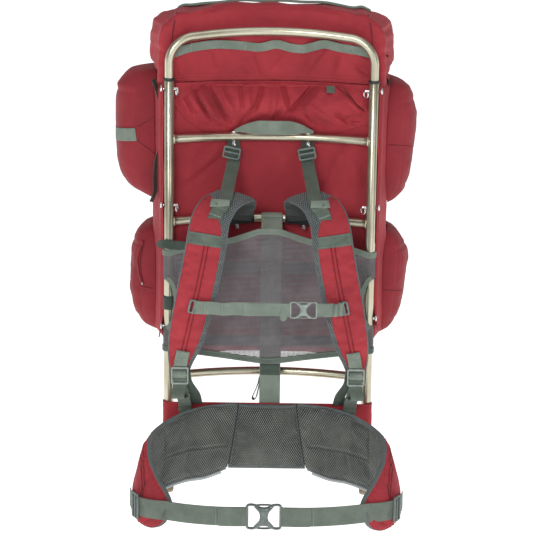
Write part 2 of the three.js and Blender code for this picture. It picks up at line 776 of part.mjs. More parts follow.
function lidFlap() {
  const backAt = (x) => BACK_OFFSET + barY(x, BAR_BOW) - SEAT_GAP;
  const zAt = (across, up) => {
    const hang = tableValue(FLAP_EDGE, "across", across, "hang") * FLAP_HEIGHT;
    return LID_RIM_Z - SEAT_GAP - hang * (1 - up);
  };
  const front = (u, v) => {
    const across = 2 * u - 1;
    const x = across * FLAP_HALF_WIDTH;
    const puff = Math.sin(Math.PI * v ** 1.3) ** 1.5 * (1 - Math.abs(across) ** 5);
    return vector(x, backAt(x) - CLOTH - FLAP_PUFF * puff, zAt(across, v));
  };
  const back = (u, v) => {
    const across = 2 * u - 1;
    const x = across * FLAP_HALF_WIDTH;
    return vector(x, backAt(x), zAt(across, v));
  };
  return cut(slab(front, back, 12, 6), [envelope(BAG_SIZE, BAG_LEVELS, SEAT_GAP)]);
}

function pocketBulge({ belly }, up, across) {
  const rise = up < belly ? up / belly : (1 - up) / (1 - belly);
  const profile = Math.sin((Math.PI / 2) * Math.max(rise, 0)) ** 0.65;
  return profile * Math.sqrt(Math.max(1 - Math.abs(across) ** 3, 0));
}

// Half width of the bag at a depth and a height
function bagSide(y, z) {
  const level = (z - BAG_FOOT_Z) / (BAG_TOP_Z - BAG_FOOT_Z);
  const column = (name) => tableValue(BAG_LEVELS, "level", level, name);
  const back = BACK_OFFSET + BAG_DEPTH * column("setback");
  const deep = (y - back) / (BAG_DEPTH * column("depth"));
  return BAG_HALF_WIDTH * column("width") * tableValue(BAG_PLAN, "deep", deep, "across");
}

function pocket(row) {
  const surface = (inset) => (u, v) => {
    const half = POCKET_HALF_DEPTH - inset;
    const across = Math.sin((Math.PI / 2) * (2 * v - 1));
    const y = POCKET_CENTRE_Y + across * half;
    const up = (1 - Math.cos(Math.PI * u)) / 2;
    const foot = BAG_FOOT_Z + row.foot * BAG_SIZE.height;
    const z = foot + inset + up * (row.height * BAG_SIZE.height - 2 * inset);
    const reach = row.bulge * POCKET_BULGE + POCKET_SUNK - inset;
    const bulge = reach * pocketBulge(row, up, across);
    return vector(row.side * (bagSide(y, z) - POCKET_SUNK + bulge), y, z);
  };
  const shape = slab(surface(0), surface(CLOTH), 10, 8);
  return cut(shape, [envelope(BAG_SIZE, BAG_LEVELS, SEAT_GAP)]);
}

function stripPlate(side, foot, top, holes) {
  const x = side * (TUBE_RADIUS + SEAT_GAP + STRIP_THICKNESS / 2 + HALF_SPACING);
  const points = [vector(x, BACK_OFFSET - SEAT_GAP - STRIP_REACH / 2, foot)];
  points.push(vector(x, BACK_OFFSET - SEAT_GAP - STRIP_REACH / 2, top));
  const strip = webbing(points, STRIP_REACH, vector(0, 1, 0), STRIP_THICKNESS);
  return cut(strip, holes.map((z) => pinHole(side * HALF_SPACING, z)));
}

function daisyChain() {
  const half = FLAP_HALF_WIDTH - 4;
  const tacks = [-0.93, -0.27, 0.34, 0.95];
  const points = [];
  const steps = 24;
  for (let i = 0; i <= steps; i += 1) {
    const across = (2 * i) / steps - 1;
    const nearest = Math.min(...tacks.map((tack) => Math.abs(across - tack)));
    const x = across * half;
    const lift = Math.min(nearest / 0.25, 1) * 2.5;
    const y = BACK_OFFSET + barY(x, BAR_BOW) - 3 * SEAT_GAP - WEB_THICKNESS / 2 - lift;
    points.push(vector(x, y, CHAIN_Z - lift));
  }
  return webbing(points, CHAIN_WIDTH, Z_AXIS);
}

function crestTape() {
  const points = [];
  for (const across of [-1, -0.75, -0.5, -0.25, 0, 0.25, 0.5, 0.75, 1]) {
    const x = across * FLAP_HALF_WIDTH;
    const z = LID_TOP_Z + 1 - 9 * across ** 4;
    points.push(vector(x, BACK_OFFSET + BAG_DEPTH * 0.42, z));
  }
  const tape = webbing(points, CHAIN_WIDTH, vector(0, 1, 0), 10);
  return cut(tape, [envelope(LID_SIZE, LID_LEVELS, WELD_GAP)]);
}

function haulHandle() {
  const z = BAR_UPPER_Z + BAR_RADIUS + SEAT_GAP + HANDLE_WIDTH / 2;
  const rows = [
    [-1, 0.13], [-0.87, 0.48], [-0.51, 0.86], [0, 1], [0.51, 0.86], [0.87, 0.48], [1, 0.13],
  ];
  const points = rows.map(([across, reach]) => {
    const x = across * HANDLE_HALF_LENGTH;
    return vector(x, barY(x, BAR_BOW) - reach * HANDLE_REACH, z);
  });
  return webbing(points, HANDLE_WIDTH, Z_AXIS, 2 * WEB_THICKNESS);
}

function buildBag() {
  add("main_bag", loft(shell(BAG_SIZE, BAG_LEVELS, CLOTH, true)), MATERIALS.red);
  add("lid", loft(liftRim(shell(LID_SIZE, LID_LEVELS, CLOTH, false))), MATERIALS.red);
  add("lid_flap", lidFlap(), MATERIALS.red);
  for (const row of POCKETS) {
    add(row.name, pocket(row), MATERIALS.red);
  }
  const top = LID_RIM_Z;
  for (const [name, side] of [["left", -1], ["right", 1]]) {
    const foot = MESH_TOP_Z + STRIP_ABOVE_MESH;
    const strip = stripPlate(side, foot, top, [PIN_TOP_Z, PIN_MID_Z]);
    add(`edge_strip_${name}`, strip, MATERIALS.red);
  }
  add("daisy_chain", daisyChain(), MATERIALS.webbing);
  add("crest_tape", crestTape(), MATERIALS.webbing);
  add("haul_handle", haulHandle(), MATERIALS.darkWebbing);
}

// Back mesh and bands that wrap the side tubes

function wrapPlan(radius, samples) {
  const turn = THREE.MathUtils.degToRad(WRAP_ANGLE);
  const left = [];
  for (let i = 0; i < 4; i += 1) {
    const angle = -turn + ((Math.PI / 2 + turn) * i) / 4;
    const x = -HALF_SPACING - radius * Math.cos(angle);
    left.push([x, -radius * Math.sin(angle)]);
  }
  const flat = [];
  for (let i = 0; i <= samples; i += 1) {
    flat.push([HALF_SPACING * ((2 * i) / samples - 1), -radius]);
  }
  const right = left.map(([x, y]) => [-x, y]).reverse();
  return [...left, ...flat, ...right];
}

function wrappedSheet(radius, thickness, samples, footAt, topAt) {
  const inner = wrapPlan(radius, samples);
  const outer = wrapPlan(radius + thickness, samples);
  const count = inner.length - 1;
  const surface = (plan) => (u, v) => {
    const [x, y] = plan[Math.round(u * count)];
    const across = Math.min(Math.abs(x) / HALF_SPACING, 1);
    return vector(x, y, THREE.MathUtils.lerp(footAt(across), topAt(across), v));
  };
  return slab(surface(outer), surface(inner), count, 1);
}

function meshPanel() {
  const foot = (across) => MESH_FOOT_Z - MESH_FOOT_ARCH * (1 - across ** 2);
  const top = (across) => MESH_TOP_Z + MESH_TOP_ARCH * (1 - across ** 2);
  const sheet = wrappedSheet(WRAP_RADIUS, MESH_THICKNESS, 12, foot, top);
  const cutters = [-1, 1].map((side) => {
    const x = side * (HALF_SPACING + 10);
    const drum = rod(1, vector(0, -40, 0), vector(0, 40, 0), 20);
    drum.scale(CUTOUT_REACH, 1, CUTOUT_HALF_HEIGHT);
    drum.translate(x, 0, CUTOUT_Z + side * 4);
    return drum;
  });
  return cut(sheet, cutters);
}

// Moves a loop made round the X axis to a place on a bowed bar, turned along the bar
function ontoBar(geometry, x, z) {
  const slope = (-2 * BAR_BOW * x) / HALF_SPACING ** 2;
  geometry.rotateZ(Math.atan(slope));
  geometry.translate(x, barY(x, BAR_BOW), z);
  return geometry;
}

function barLoop(x, z, width) {
  const inner = BAR_RADIUS + 2.4 * SEAT_GAP;
  const loop = ring(inner, inner + WEB_THICKNESS, -width / 2, width / 2, 0);
  loop.rotateY(Math.PI / 2);
  return ontoBar(loop, x, z);
}

// A closed loop of webbing round a bar: rows of shares of the loop's radius
function loopRound(rows, width) {
  const r = BAR_RADIUS + 2.4 * SEAT_GAP + WEB_THICKNESS / 2;
  const points = rows.map(([back, up]) => vector(0, back * r, up * r));
  return webbing(points, width, X_AXIS, WEB_THICKNESS, true);
}

function centreStrap() {
  const x = 4;
  const top = BAR_MIDDLE_Z - BAR_RADIUS - 3 * SEAT_GAP - WEB_THICKNESS;
  const bottom = BACK_BAND_TOP_Z - 36;
  const behindBand = -(WRAP_RADIUS - SEAT_GAP - WEB_THICKNESS / 2);
  const rows = [
    { reach: 1, fall: 0 },
    { reach: 0.62, fall: 0.1 },
    { reach: 0.28, fall: 0.28 },
    { reach: 0.1, fall: 0.5 },
    { reach: 0.02, fall: 0.8 },
    { reach: 0, fall: 1 },
  ];
  const points = rows.map(({ reach, fall }) => vector(
    x,
    behindBand + reach * (BAR_BOW - behindBand),
    THREE.MathUtils.lerp(top, bottom, fall),
  ));
  return webbing(points, CENTRE_STRAP_WIDTH, X_AXIS);
}

function hangingLoop() {
  const rows = [
    [-1.02, 0], [-0.74, 0.74], [0, 1.06], [0.74, 0.74], [1.02, 0],
    [0.5, -2.6], [-0.1, -5], [-0.7, -5.2], [-1.1, -4], [-1.1, -2],
  ];
  return ontoBar(loopRound(rows, 15), -21, BAR_LOWER_Z);
}

function tensionTail() {
  const y = -(WRAP_RADIUS + MESH_THICKNESS + SEAT_GAP + WEB_THICKNESS / 2);
  const z = MESH_TOP_Z + TAIL_ABOVE_MESH;
  const x = HALF_SPACING;
  const points = [
    vector(-x - 22, y + 7, z - 2),
    vector(-x - 10, y + 1, z - 1),
    vector(-x, y, z),
    vector(-x + 40, y, z + 2),
  ];
  return webbing(points, TAIL_WIDTH, Z_AXIS);
}

function buildBackPanel() {
  add("mesh_panel", meshPanel(), MATERIALS.mesh);
  add("bar_loop_middle", barLoop(4, BAR_MIDDLE_Z, CENTRE_STRAP_WIDTH), MATERIALS.webbing);
  add("centre_strap", centreStrap(), MATERIALS.webbing);
  add("hanging_loop", hangingLoop(), MATERIALS.darkWebbing);
  add("tension_tail_left", tensionTail(), MATERIALS.darkWebbing);
}

// Shoulder straps

function strapStations(side) {
  const centres = STRAP_ROWS.map(({ out, reach, height }) => vector(
    side * out * STRAP_OUT,
    -reach * STRAP_REACH,
    STRAP_TOP_Z + height * (STRAP_TOP_Z - STRAP_FOOT_Z),
  ));
  return STRAP_ROWS.map(({ width, thick }, i) => {
    const at = centres[i];
    const before = centres[Math.max(i - 1, 0)];
    const after = centres[Math.min(i + 1, centres.length - 1)];
    const along = after.clone().sub(before).normalize();
    const across = X_AXIS.clone().addScaledVector(along, -along.x).normalize();
    const through = along.clone().cross(across);
    return {
      at,
      across: across.multiplyScalar((STRAP_WIDTH * width) / 2),
      through: through.multiplyScalar((STRAP_THICKNESS * thick) / 2),
    };
  });
}

// The station at a height on the front run of the strap
function strapAt(side, z) {
  const stations = strapStations(side);
  for (let i = 4; i + 1 < stations.length; i += 1) {
    const [low, high] = [stations[i + 1], stations[i]];
    if (z >= low.at.z) {
      const share = (z - low.at.z) / (high.at.z - low.at.z);
      return {
        at: low.at.clone().lerp(high.at, share),
        across: low.across.clone().lerp(high.across, share),
        through: low.through.clone().lerp(high.through, share),
        along: low.at.clone().sub(high.at).normalize(),
      };
    }
  }
  return { ...stations.at(-1), along: vector(0, 0, -1) };
}

function frontOf(station, distance) {
  const normal = station.through.clone().normalize();
  return station.at.clone().add(station.through).addScaledVector(normal, distance);
}

function ladderLock(width, height) {
  const slot = (height - 3 * LOCK_BORDER) / 2;
  const y = (slot + LOCK_BORDER) / 2;
  const wide = width - 2 * LOCK_BORDER;
  const windows = [{ x: 0, y, wide, high: slot }, { x: 0, y: -y, wide, high: slot }];
  return plate(width, height, LOCK_THICKNESS, 2.5, windows);
}

const LIFTER_BUCKLE_Y = barY(PIN_UPPER_BAR_X, BAR_BOW) - 1.55 * BAR_RADIUS;
const LIFTER_BUCKLE_Z = BAR_UPPER_Z - BAR_RADIUS - LOCK_HEIGHT;

// The lifter: a loop round the upper bar, then one run down to the strap's crest
function lifterLoop(side) {
  const rows = [
    [-1.02, 0], [-0.74, 0.74], [0, 1.06], [0.74, 0.74], [1.02, 0],
    [0.6, -0.98], [-0.3, -1.5], [-0.98, -1.5],
  ];
  return ontoBar(loopRound(rows, WEB_WIDTH), side * PIN_UPPER_BAR_X, BAR_UPPER_Z);
}

function lifterWebbing(side) {
  const behind = LIFTER_BUCKLE_Y + LOCK_THICKNESS / 2 + SEAT_GAP + WEB_THICKNESS / 2 + 1;
  const x = side * PIN_UPPER_BAR_X;
  const strap = strapStations(side);
  const over = frontOf(strap[4], 4);
  const low = vector(x, behind, LIFTER_BUCKLE_Z - LOCK_HEIGHT * 0.55);
  const middle = low.clone().lerp(over, 0.5);
  const top = vector(x, behind, BAR_UPPER_Z - 1.45 * BAR_RADIUS - 2);
  const free = [top, low, middle, over];
  const run = webbingStations(free, WEB_WIDTH, X_AXIS, WEB_THICKNESS, false);
  const sewn = [[strap[5], 3.4], [strapAt(side, 578), 0.3]].map(([station, slack]) => ({
    at: frontOf(station, SEAT_GAP + WEB_THICKNESS + slack),
    across: station.across.clone().setLength(WEB_WIDTH / 2),
    through: station.through.clone().setLength(WEB_THICKNESS / 2),
  }));
  const turned = run.map(({ at, across, through }) => ({
    at,
    across: across.x > 0 ? across : across.negate(),
    through: through.dot(vector(0, -1, 1)) > 0 ? through : through.negate(),
  }));
  return join([lifterLoop(side), sweep([...turned, ...sewn], FLAT_SECTION)]);
}

// One run of webbing: from the hip band up through the lower slot, then down as a tail
function anchorWebbing(side, lock) {
  const bandY = -(WRAP_RADIUS + BACK_BAND_THICKNESS + SEAT_GAP + WEB_THICKNESS / 2);
  const slot = lock.clone().add(vector(0, 0, -LOWER_LOCK_HEIGHT / 2 + LOCK_BORDER));
  const clear = LOCK_THICKNESS / 2 + SEAT_GAP + WEB_THICKNESS / 2 + 0.5;
  const leaving = vector(side * ANCHOR_OUT, bandY - 2, BACK_BAND_TOP_Z - 10);
  const points = [
    vector(side * ANCHOR_OUT, bandY, BACK_BAND_TOP_Z - 46),
    vector(side * ANCHOR_OUT, bandY, BACK_BAND_TOP_Z - 24),
    leaving,
    leaving.clone().lerp(slot, 0.24),
    leaving.clone().lerp(slot, 0.62),
    slot.clone().add(vector(0, clear + 1.5, -6)),
    slot.clone().add(vector(0, clear, 1)),
    slot.clone().add(vector(0, 0, clear + 0.5)),
    slot.clone().add(vector(0, -clear, 1)),
    slot.clone().add(vector(side, -clear - 1.5, -8)),
    slot.clone().add(vector(side * 5, -clear, -34)),
    slot.clone().add(vector(side * 7, 2, -84)),
  ];
  return webbing(points, WEB_WIDTH, X_AXIS);
}

function buildStraps() {
  for (const [name, side] of [["left", -1], ["right", 1]]) {
    const strap = sweep(strapStations(side), PAD_SECTION);
    add(`shoulder_strap_${name}`, strap, MATERIALS.red);
    const lockAt = vector(side * PIN_UPPER_BAR_X, LIFTER_BUCKLE_Y, LIFTER_BUCKLE_Z);
    const lifterLock = ladderLock(WEB_WIDTH + 2 * LOCK_BORDER, LOCK_HEIGHT);
    const lifterPlaced = place(lifterLock, lockAt, X_AXIS, vector(0, -1, 0));
    add(`lifter_buckle_${name}`, lifterPlaced, MATERIALS.plastic);
    add(`lifter_webbing_${name}`, lifterWebbing(side), MATERIALS.webbing);
    const foot = strapAt(side, STRAP_FOOT_Z + 8);
    const lock = frontOf(foot, SEAT_GAP + LOCK_THICKNESS / 2 + 4);
    const lower = ladderLock(WEB_WIDTH + 2 * LOCK_BORDER, LOWER_LOCK_HEIGHT);
    const placed = place(lower, lock, X_AXIS, vector(0, -1, 0));
    add(`strap_buckle_${name}`, placed, MATERIALS.plastic);
    add(`anchor_webbing_${name}`, anchorWebbing(side, lock), MATERIALS.webbing);
  }
}

// A side-release buckle in two halves: a socket with windows and a tongue inside it
function releaseSocket(length, height, thickness) {
  const body = length * 0.6;
  const x = body / 2 - length / 2;
  const windows = [{ x: -body * 0.36, y: 0, wide: body * 0.12, high: height * 0.66 }];
  const outer = plate(body, height, thickness, height * 0.12, windows);
  outer.translate(x, 0, 0);
  const cavity = new THREE.BoxGeometry(body * 0.66, height * 0.62, thickness * 0.5);
  cavity.translate(x + body * 0.24, 0, 0);
  const notches = [-1, 1].map((side) => {
    const notch = new THREE.BoxGeometry(body * 0.34, height * 0.3, thickness * 2);
    return notch.translate(x + body * 0.02, side * height * 0.44, 0);
  });
  return cut(outer, [cavity, ...notches]);
}

function releaseTongue(length, height, thickness) {
  const base = length * 0.4 - SEAT_GAP;
  const x = length / 2 - base / 2;
  const windows = [{ x: base * 0.24, y: 0, wide: base * 0.2, high: height * 0.66 }];
  const grip = plate(base, height * 0.94, thickness * 0.85, height * 0.1, windows);
  grip.translate(x, 0, 0);
  const reach = length * 0.34;
  const tongue = new THREE.BoxGeometry(reach, height * 0.52, thickness * 0.5 - 2 * SEAT_GAP);
  tongue.translate(x - base / 2 - reach / 2 + 2, 0, 0);
  return join([grip, tongue]);
}

function sternumWebbing(side, slider) {
  const lift = LOCK_THICKNESS / 2 + SEAT_GAP + WEB_THICKNESS / 2 + 2;
  const near = slider.clone().add(vector(0, -lift, 0));
  const edge = STERNUM_BUCKLE_X + side * (STERNUM_BUCKLE_LENGTH / 2 + 2 * SEAT_GAP);
  const end = vector(edge, STERNUM_BUCKLE_Y, SLIDER_Z + 1);
  const middle = near.clone().lerp(end, 0.5);
  const points = [near.clone().add(vector(side * 8, 0, 0)), near, middle, end];
  if (side < 0) points.splice(3, 0, middle.clone().lerp(end, 0.5).add(vector(0, -3, 0)));
  return webbing(points, WEB_WIDTH, Z_AXIS);
}

function buildSternum() {
  for (const [name, side] of [["left", -1], ["right", 1]]) {
    const station = strapAt(side, SLIDER_Z);
    const at = frontOf(station, SEAT_GAP + LOCK_THICKNESS / 2 + 0.3);
    const slider = ladderLock(WEB_WIDTH + LOCK_BORDER, LOCK_HEIGHT);
    const normal = station.through.clone();
    const placed = place(slider, at, station.along, normal);
    add(`sternum_slider_${name}`, placed, MATERIALS.plastic);
    add(`sternum_webbing_${name}`, sternumWebbing(side, at), MATERIALS.webbing);
  }
  const size = [STERNUM_BUCKLE_LENGTH, STERNUM_BUCKLE_HEIGHT, STERNUM_BUCKLE_THICKNESS];
  const centre = vector(STERNUM_BUCKLE_X, STERNUM_BUCKLE_Y, SLIDER_Z + 1);
  const forward = vector(0, -1, 0);
  const socket = place(releaseSocket(...size), centre, X_AXIS, forward);
  const tongue = place(releaseTongue(...size), centre, X_AXIS, forward);
  add("sternum_buckle_socket", socket, MATERIALS.plastic);
  add("sternum_buckle_tongue", tongue, MATERIALS.plastic);
}

// Hip belt

function wingStations(side) {
  const root = LUMBAR_HALF_WIDTH + 2 * SEAT_GAP;
  const centres = WING_ROWS.map(({ out, forward, centre, thick }) => vector(
    side * (root + out * (WING_OUT - root)),
    LUMBAR_BACK_Y - (thick * WING_THICKNESS) / 2 - forward * WING_FORWARD,
    centre * WING_CENTRE_Z,
  ));
  return WING_ROWS.map(({ height, thick, tilt }, i) => {
    const before = centres[Math.max(i - 1, 0)];
    const after = centres[Math.min(i + 1, centres.length - 1)];
    const along = after.clone().sub(before).setZ(0).normalize();
    const outward = vector(-side * along.y, side * along.x, 0);
    const lean = -side * tilt * LUMBAR_FLARE;
    return {
      at: centres[i],
      across: vector(lean, 0, (height * WING_HEIGHT) / 2),
      through: outward.multiplyScalar((thick * WING_THICKNESS) / 2),
    };
  });
}

function outsideWing(station, distance, z) {
  const normal = station.through.clone().normalize();
  const at = station.at.clone().add(station.through).addScaledVector(normal, distance);
  return at.setZ(z);
}

function hipWebbing(side) {
  const wing = wingStations(side);
  const lay = SEAT_GAP + WEB_THICKNESS / 2;
  const edge = side * (HIP_BUCKLE_LENGTH / 2 + 2 * SEAT_GAP) + HIP_BUCKLE_X;
  const points = [
    outsideWing(wing[5], lay, HIP_BUCKLE_Z - 6),
    outsideWing(wing[6], lay, HIP_BUCKLE_Z - 8),
    outsideWing(wing[7], lay, HIP_BUCKLE_Z - 6),
    outsideWing(wing[8], lay, HIP_BUCKLE_Z - 3),
  ];
  const end = vector(edge, HIP_BUCKLE_Y, HIP_BUCKLE_Z);
  const free = [0.36, 0.69].map((share) => {
    const bow = 4 * share * (1 - share) * HIP_WEB_BOW;
    return points.at(-1).clone().lerp(end, share).add(vector(0, -bow, 0));
  });
  return webbing([...points, ...free, end], HIP_WEB_WIDTH, Z_AXIS);
}

function lumbarPad() {
  const rows = [
    { level: 0, thick: 0.35, width: -0.06 },
    { level: 0.05, thick: 0.85, width: 0 },
    { level: 0.12, thick: 1, width: 0 },
    { level: 0.88, thick: 1, width: 0 },
    { level: 0.95, thick: 0.85, width: 0 },
    { level: 1, thick: 0.35, width: -0.06 },
  ];
  const plan = [
    [-1, 0], [1, 0], [1, 0.7], [0.94, 1], [-0.94, 1], [-1, 0.7],
  ];
  const height = LUMBAR_TOP_Z - LUMBAR_FOOT_Z;
  const rings = rows.map(({ level, thick, width }) => {
    const half = LUMBAR_HALF_WIDTH * (1 + width) + LUMBAR_FLARE * (1 - 2 * level);
    const depth = LUMBAR_THICKNESS * thick;
    const z = LUMBAR_FOOT_Z + level * height;
    return plan.map(([a, b]) => vector(a * half, LUMBAR_BACK_Y - b * depth, z));
  });
  return loft(rings);
}

function sideBuckle(side) {
  const station = wingStations(side)[6];
  const distance = SEAT_GAP + WEB_THICKNESS + SEAT_GAP + LOCK_THICKNESS / 2;
  const at = outsideWing(station, distance, HIP_BUCKLE_Z - 8);
  const lock = ladderLock(HIP_WEB_WIDTH + 3 * LOCK_BORDER, LOCK_HEIGHT);
  return place(lock, at, Z_AXIS, station.through);
}

function buildHipBelt() {
  const foot = () => BACK_BAND_FOOT_Z;
  const top = () => BACK_BAND_TOP_Z;
  const band = wrappedSheet(WRAP_RADIUS, BACK_BAND_THICKNESS, 6, foot, top);
  add("back_band", band, MATERIALS.red);
  add("lumbar_pad", lumbarPad(), MATERIALS.spacer);
  for (const [name, side] of [["left", -1], ["right", 1]]) {
    add(`hip_wing_${name}`, sweep(wingStations(side), PAD_SECTION), MATERIALS.red);
    add(`hip_webbing_${name}`, hipWebbing(side), MATERIALS.webbing);
    add(`side_buckle_${name}`, sideBuckle(side), MATERIALS.plastic);
  }
  const size = [HIP_BUCKLE_LENGTH, HIP_BUCKLE_HEIGHT, HIP_BUCKLE_THICKNESS];
  const centre = vector(HIP_BUCKLE_X, HIP_BUCKLE_Y, HIP_BUCKLE_Z);
  const forward = vector(0, -1, 0);
  const socket = place(releaseSocket(...size), centre, X_AXIS, forward);
  const tongue = place(releaseTongue(...size), centre, X_AXIS, forward);
  add("hip_buckle_socket", socket, MATERIALS.plastic);
  add("hip_buckle_tongue", tongue, MATERIALS.plastic);
}

buildFrame();
buildPins();
buildBag();
buildBackPanel();
buildStraps();
buildSternum();
buildHipBelt();

export default pack;
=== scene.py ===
# %% [markdown]
# # An external frame backpack
# The pack has a welded tube frame, a red bag that hangs on it by pins, a puffed
# lid, four side pockets, a stretched back mesh, two padded shoulder straps and a
# padded hip belt. It is shown as it is worn, so nothing stands under it.
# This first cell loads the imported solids. They say where each piece belongs, and
# every surface below is drawn into the space of the solid that it stands for.

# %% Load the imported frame
import json

import bpy
import numpy as np
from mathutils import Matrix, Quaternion, Vector

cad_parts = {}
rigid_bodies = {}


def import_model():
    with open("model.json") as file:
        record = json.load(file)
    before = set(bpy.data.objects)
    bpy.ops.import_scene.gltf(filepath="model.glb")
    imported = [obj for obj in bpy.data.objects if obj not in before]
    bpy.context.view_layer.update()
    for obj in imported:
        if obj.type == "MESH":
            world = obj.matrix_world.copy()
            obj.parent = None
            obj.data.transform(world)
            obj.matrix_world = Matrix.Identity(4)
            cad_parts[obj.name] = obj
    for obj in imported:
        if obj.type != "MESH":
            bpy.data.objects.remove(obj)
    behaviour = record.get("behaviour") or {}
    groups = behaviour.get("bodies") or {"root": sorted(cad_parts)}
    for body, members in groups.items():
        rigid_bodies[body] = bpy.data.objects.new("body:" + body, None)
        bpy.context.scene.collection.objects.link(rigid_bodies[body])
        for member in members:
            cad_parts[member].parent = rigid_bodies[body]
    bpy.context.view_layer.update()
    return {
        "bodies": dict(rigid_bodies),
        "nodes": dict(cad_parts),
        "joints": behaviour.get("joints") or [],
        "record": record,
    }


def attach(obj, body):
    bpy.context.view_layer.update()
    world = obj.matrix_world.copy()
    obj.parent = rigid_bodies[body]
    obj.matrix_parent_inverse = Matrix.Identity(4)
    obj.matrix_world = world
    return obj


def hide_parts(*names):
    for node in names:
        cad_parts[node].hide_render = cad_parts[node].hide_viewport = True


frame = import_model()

BODY = next(iter(frame["bodies"]))
print("body", BODY, "with", len(frame["nodes"]), "nodes")

# %% [markdown]
# The drawings below are in millimetres, measured from the feet of the frame, as
# a maker would measure a real pack. One shift takes them to the frame's metres,
# whose origin is the middle of the lumbar pad's face.

# %% Sizes that the solids share
SHIFT = np.array([0.0, 29.8, -121.0])
HALF_SPACING = 190.5
TUBE_RADIUS = 9.5
TUBE_TOP = 812.0
BAR_RADIUS = 8.0
BAR_BOW = 40.0
BAR_HEIGHTS = {"upper": 701.0, "middle": 543.0, "lower": 237.0}
CLOTH = 2.5
WRAP_RADIUS = 9.9
BACK_OFFSET = 12.5
LUMBAR_BACK_Y = -12.3


def bar_y(x, bow=BAR_BOW):
    """How far a bowed bar stands behind the tubes: a parabola, zero at the tubes."""
    return bow * (1 - (x / HALF_SPACING) ** 2)


def vec(*values):
    """Three numbers as an array."""
    return np.array(values, float)


X_AXIS, Y_AXIS, Z_AXIS = vec(1, 0, 0), vec(0, 1, 0), vec(0, 0, 1)


# %% [markdown]
# A surface is worked out as whole arrays of points. These helpers turn a grid of
# points into faces, close it, make sure that it faces outwards, and hand it to
# Blender as one mesh. `finish_piece` also says which body carries the piece, which
# solid it stands for and which finish it takes.

# %% Mesh helpers
def grid_quads(rows, columns, wrap=False, base=0):
    """Four corner numbers for each cell of a grid of points; wrap joins the last column to the first."""
    i = np.arange(rows - 1)[:, None]
    j = np.arange(columns if wrap else columns - 1)[None, :]
    k = (j + 1) % columns
    quads = np.stack([i * columns + j + 0 * k, i * columns + k, (i + 1) * columns + k, (i + 1) * columns + j], -1)
    return quads.reshape(-1, 4) + base


def signed_volume(points, quads, tris):
    """Sum of the tetrahedra from the origin to each triangle: negative where a closed surface faces inwards."""
    faces = [quads[:, [0, 1, 2]], quads[:, [0, 2, 3]], tris]
    total = 0.0
    for f in faces:
        if len(f):
            a, b, c = points[f[:, 0]], points[f[:, 1]], points[f[:, 2]]
            total += np.einsum("ij,ij->i", a, np.cross(b, c)).sum()
    return total


def join_parts(*parts):
    """Several (points, quads, tris) as one, with the corner numbers moved on."""
    points, quads, tris, base = [], [], [], 0
    for p, q, t in parts:
        points.append(p)
        quads.append(q + base)
        tris.append(t + base)
        base += len(p)
    return np.concatenate(points), np.concatenate(quads), np.concatenate(tris)


NO_TRIS = np.zeros((0, 3), int)


def facing_out(part):
    """The part with its corners turned round if its volume comes out negative."""
    points, quads, tris = part
    centre = points.mean(0)
    if signed_volume(points - centre, quads, tris) < 0:
        return points, quads[:, ::-1], tris[:, ::-1]
    return part


def loft(rings, closed=False, caps=True):
    """Rings of equally many points joined side by side; the two ends are closed by a fan round their centre."""
    rings = np.asarray(rings, float)
    n, m = rings.shape[:2]
    points = rings.reshape(-1, 3)
    quads = grid_quads(n, m, wrap=True)
    tris = NO_TRIS
    if closed:
        j = np.arange(m)
        k = (j + 1) % m
        last = (n - 1) * m
        quads = np.concatenate([quads, np.stack([last + j, last + k, k, j], -1)])
    elif caps:
        j = np.arange(m)
        k = (j + 1) % m
        hub = len(points)
        points = np.concatenate([points, rings[0].mean(0)[None], rings[-1].mean(0)[None]])
        first = np.stack([np.full(m, hub), k, j], -1)
        second = np.stack([np.full(m, hub + 1), (n - 1) * m + j, (n - 1) * m + k], -1)
        tris = np.concatenate([first, second])
    return facing_out((points, quads, tris))


def slab(front, back):
    """Two grids of the same size closed into one thin solid by a strip round their rim."""
    rows, columns = front.shape[:2]
    points = np.concatenate([front.reshape(-1, 3), back.reshape(-1, 3)])
    count = rows * columns
    index = np.arange(count).reshape(rows, columns)
    rim = np.concatenate([index[0, :-1], index[:-1, -1], index[-1, :0:-1], index[:0:-1, 0]])
    after = np.roll(rim, -1)
    sides = np.stack([rim, rim + count, after + count, after], -1)
    near = grid_quads(rows, columns)
    far = grid_quads(rows, columns, base=count)[:, ::-1]
    quads = np.concatenate([near, far, sides])
    return facing_out((points, quads, NO_TRIS))


def unit(vectors):
    """Each vector divided by its own length."""
    length = np.linalg.norm(vectors, axis=-1, keepdims=True)
    return vectors / np.maximum(length, 1e-9)


def spline(p, i, f, closed):
    """A Catmull-Rom curve: it passes each point along the line between that point's two neighbours."""
    turns = [(i + k) % len(p) if closed else np.clip(i + k, 0, len(p) - 1) for k in (-1, 0, 1, 2)]
    a, b, c, d = (p[k] for k in turns)
    return 0.5 * (2 * b + (c - a) * f + (2 * a - 5 * b + 4 * c - d) * f**2 + (3 * b - a - 3 * c + d) * f**3)


def smooth_path(points, samples, closed=False):
    """A smooth curve through all points, read at evenly spaced shares of its spans."""
    p = np.asarray(points, float)
    n = len(p)
    spans = n if closed else n - 1
    t = np.linspace(0, spans, samples, endpoint=not closed)
    i = np.minimum(t.astype(int), spans - 1)
    f = (t - i)[:, None] if p.ndim == 2 else (t - i)[:, None, None]
    return spline(p, i, f, closed)


def tangents(path, closed=False):
    """The direction from the point before to the point after, at each point of a path."""
    if closed:
        return unit(np.roll(path, -1, 0) - np.roll(path, 1, 0))
    return unit(np.gradient(path, axis=0))


def ring_section(count):
    """A circle of radius one as pairs of shares."""
    a = np.linspace(0, 2 * np.pi, count, endpoint=False)
    return np.stack([np.cos(a), np.sin(a)], -1)


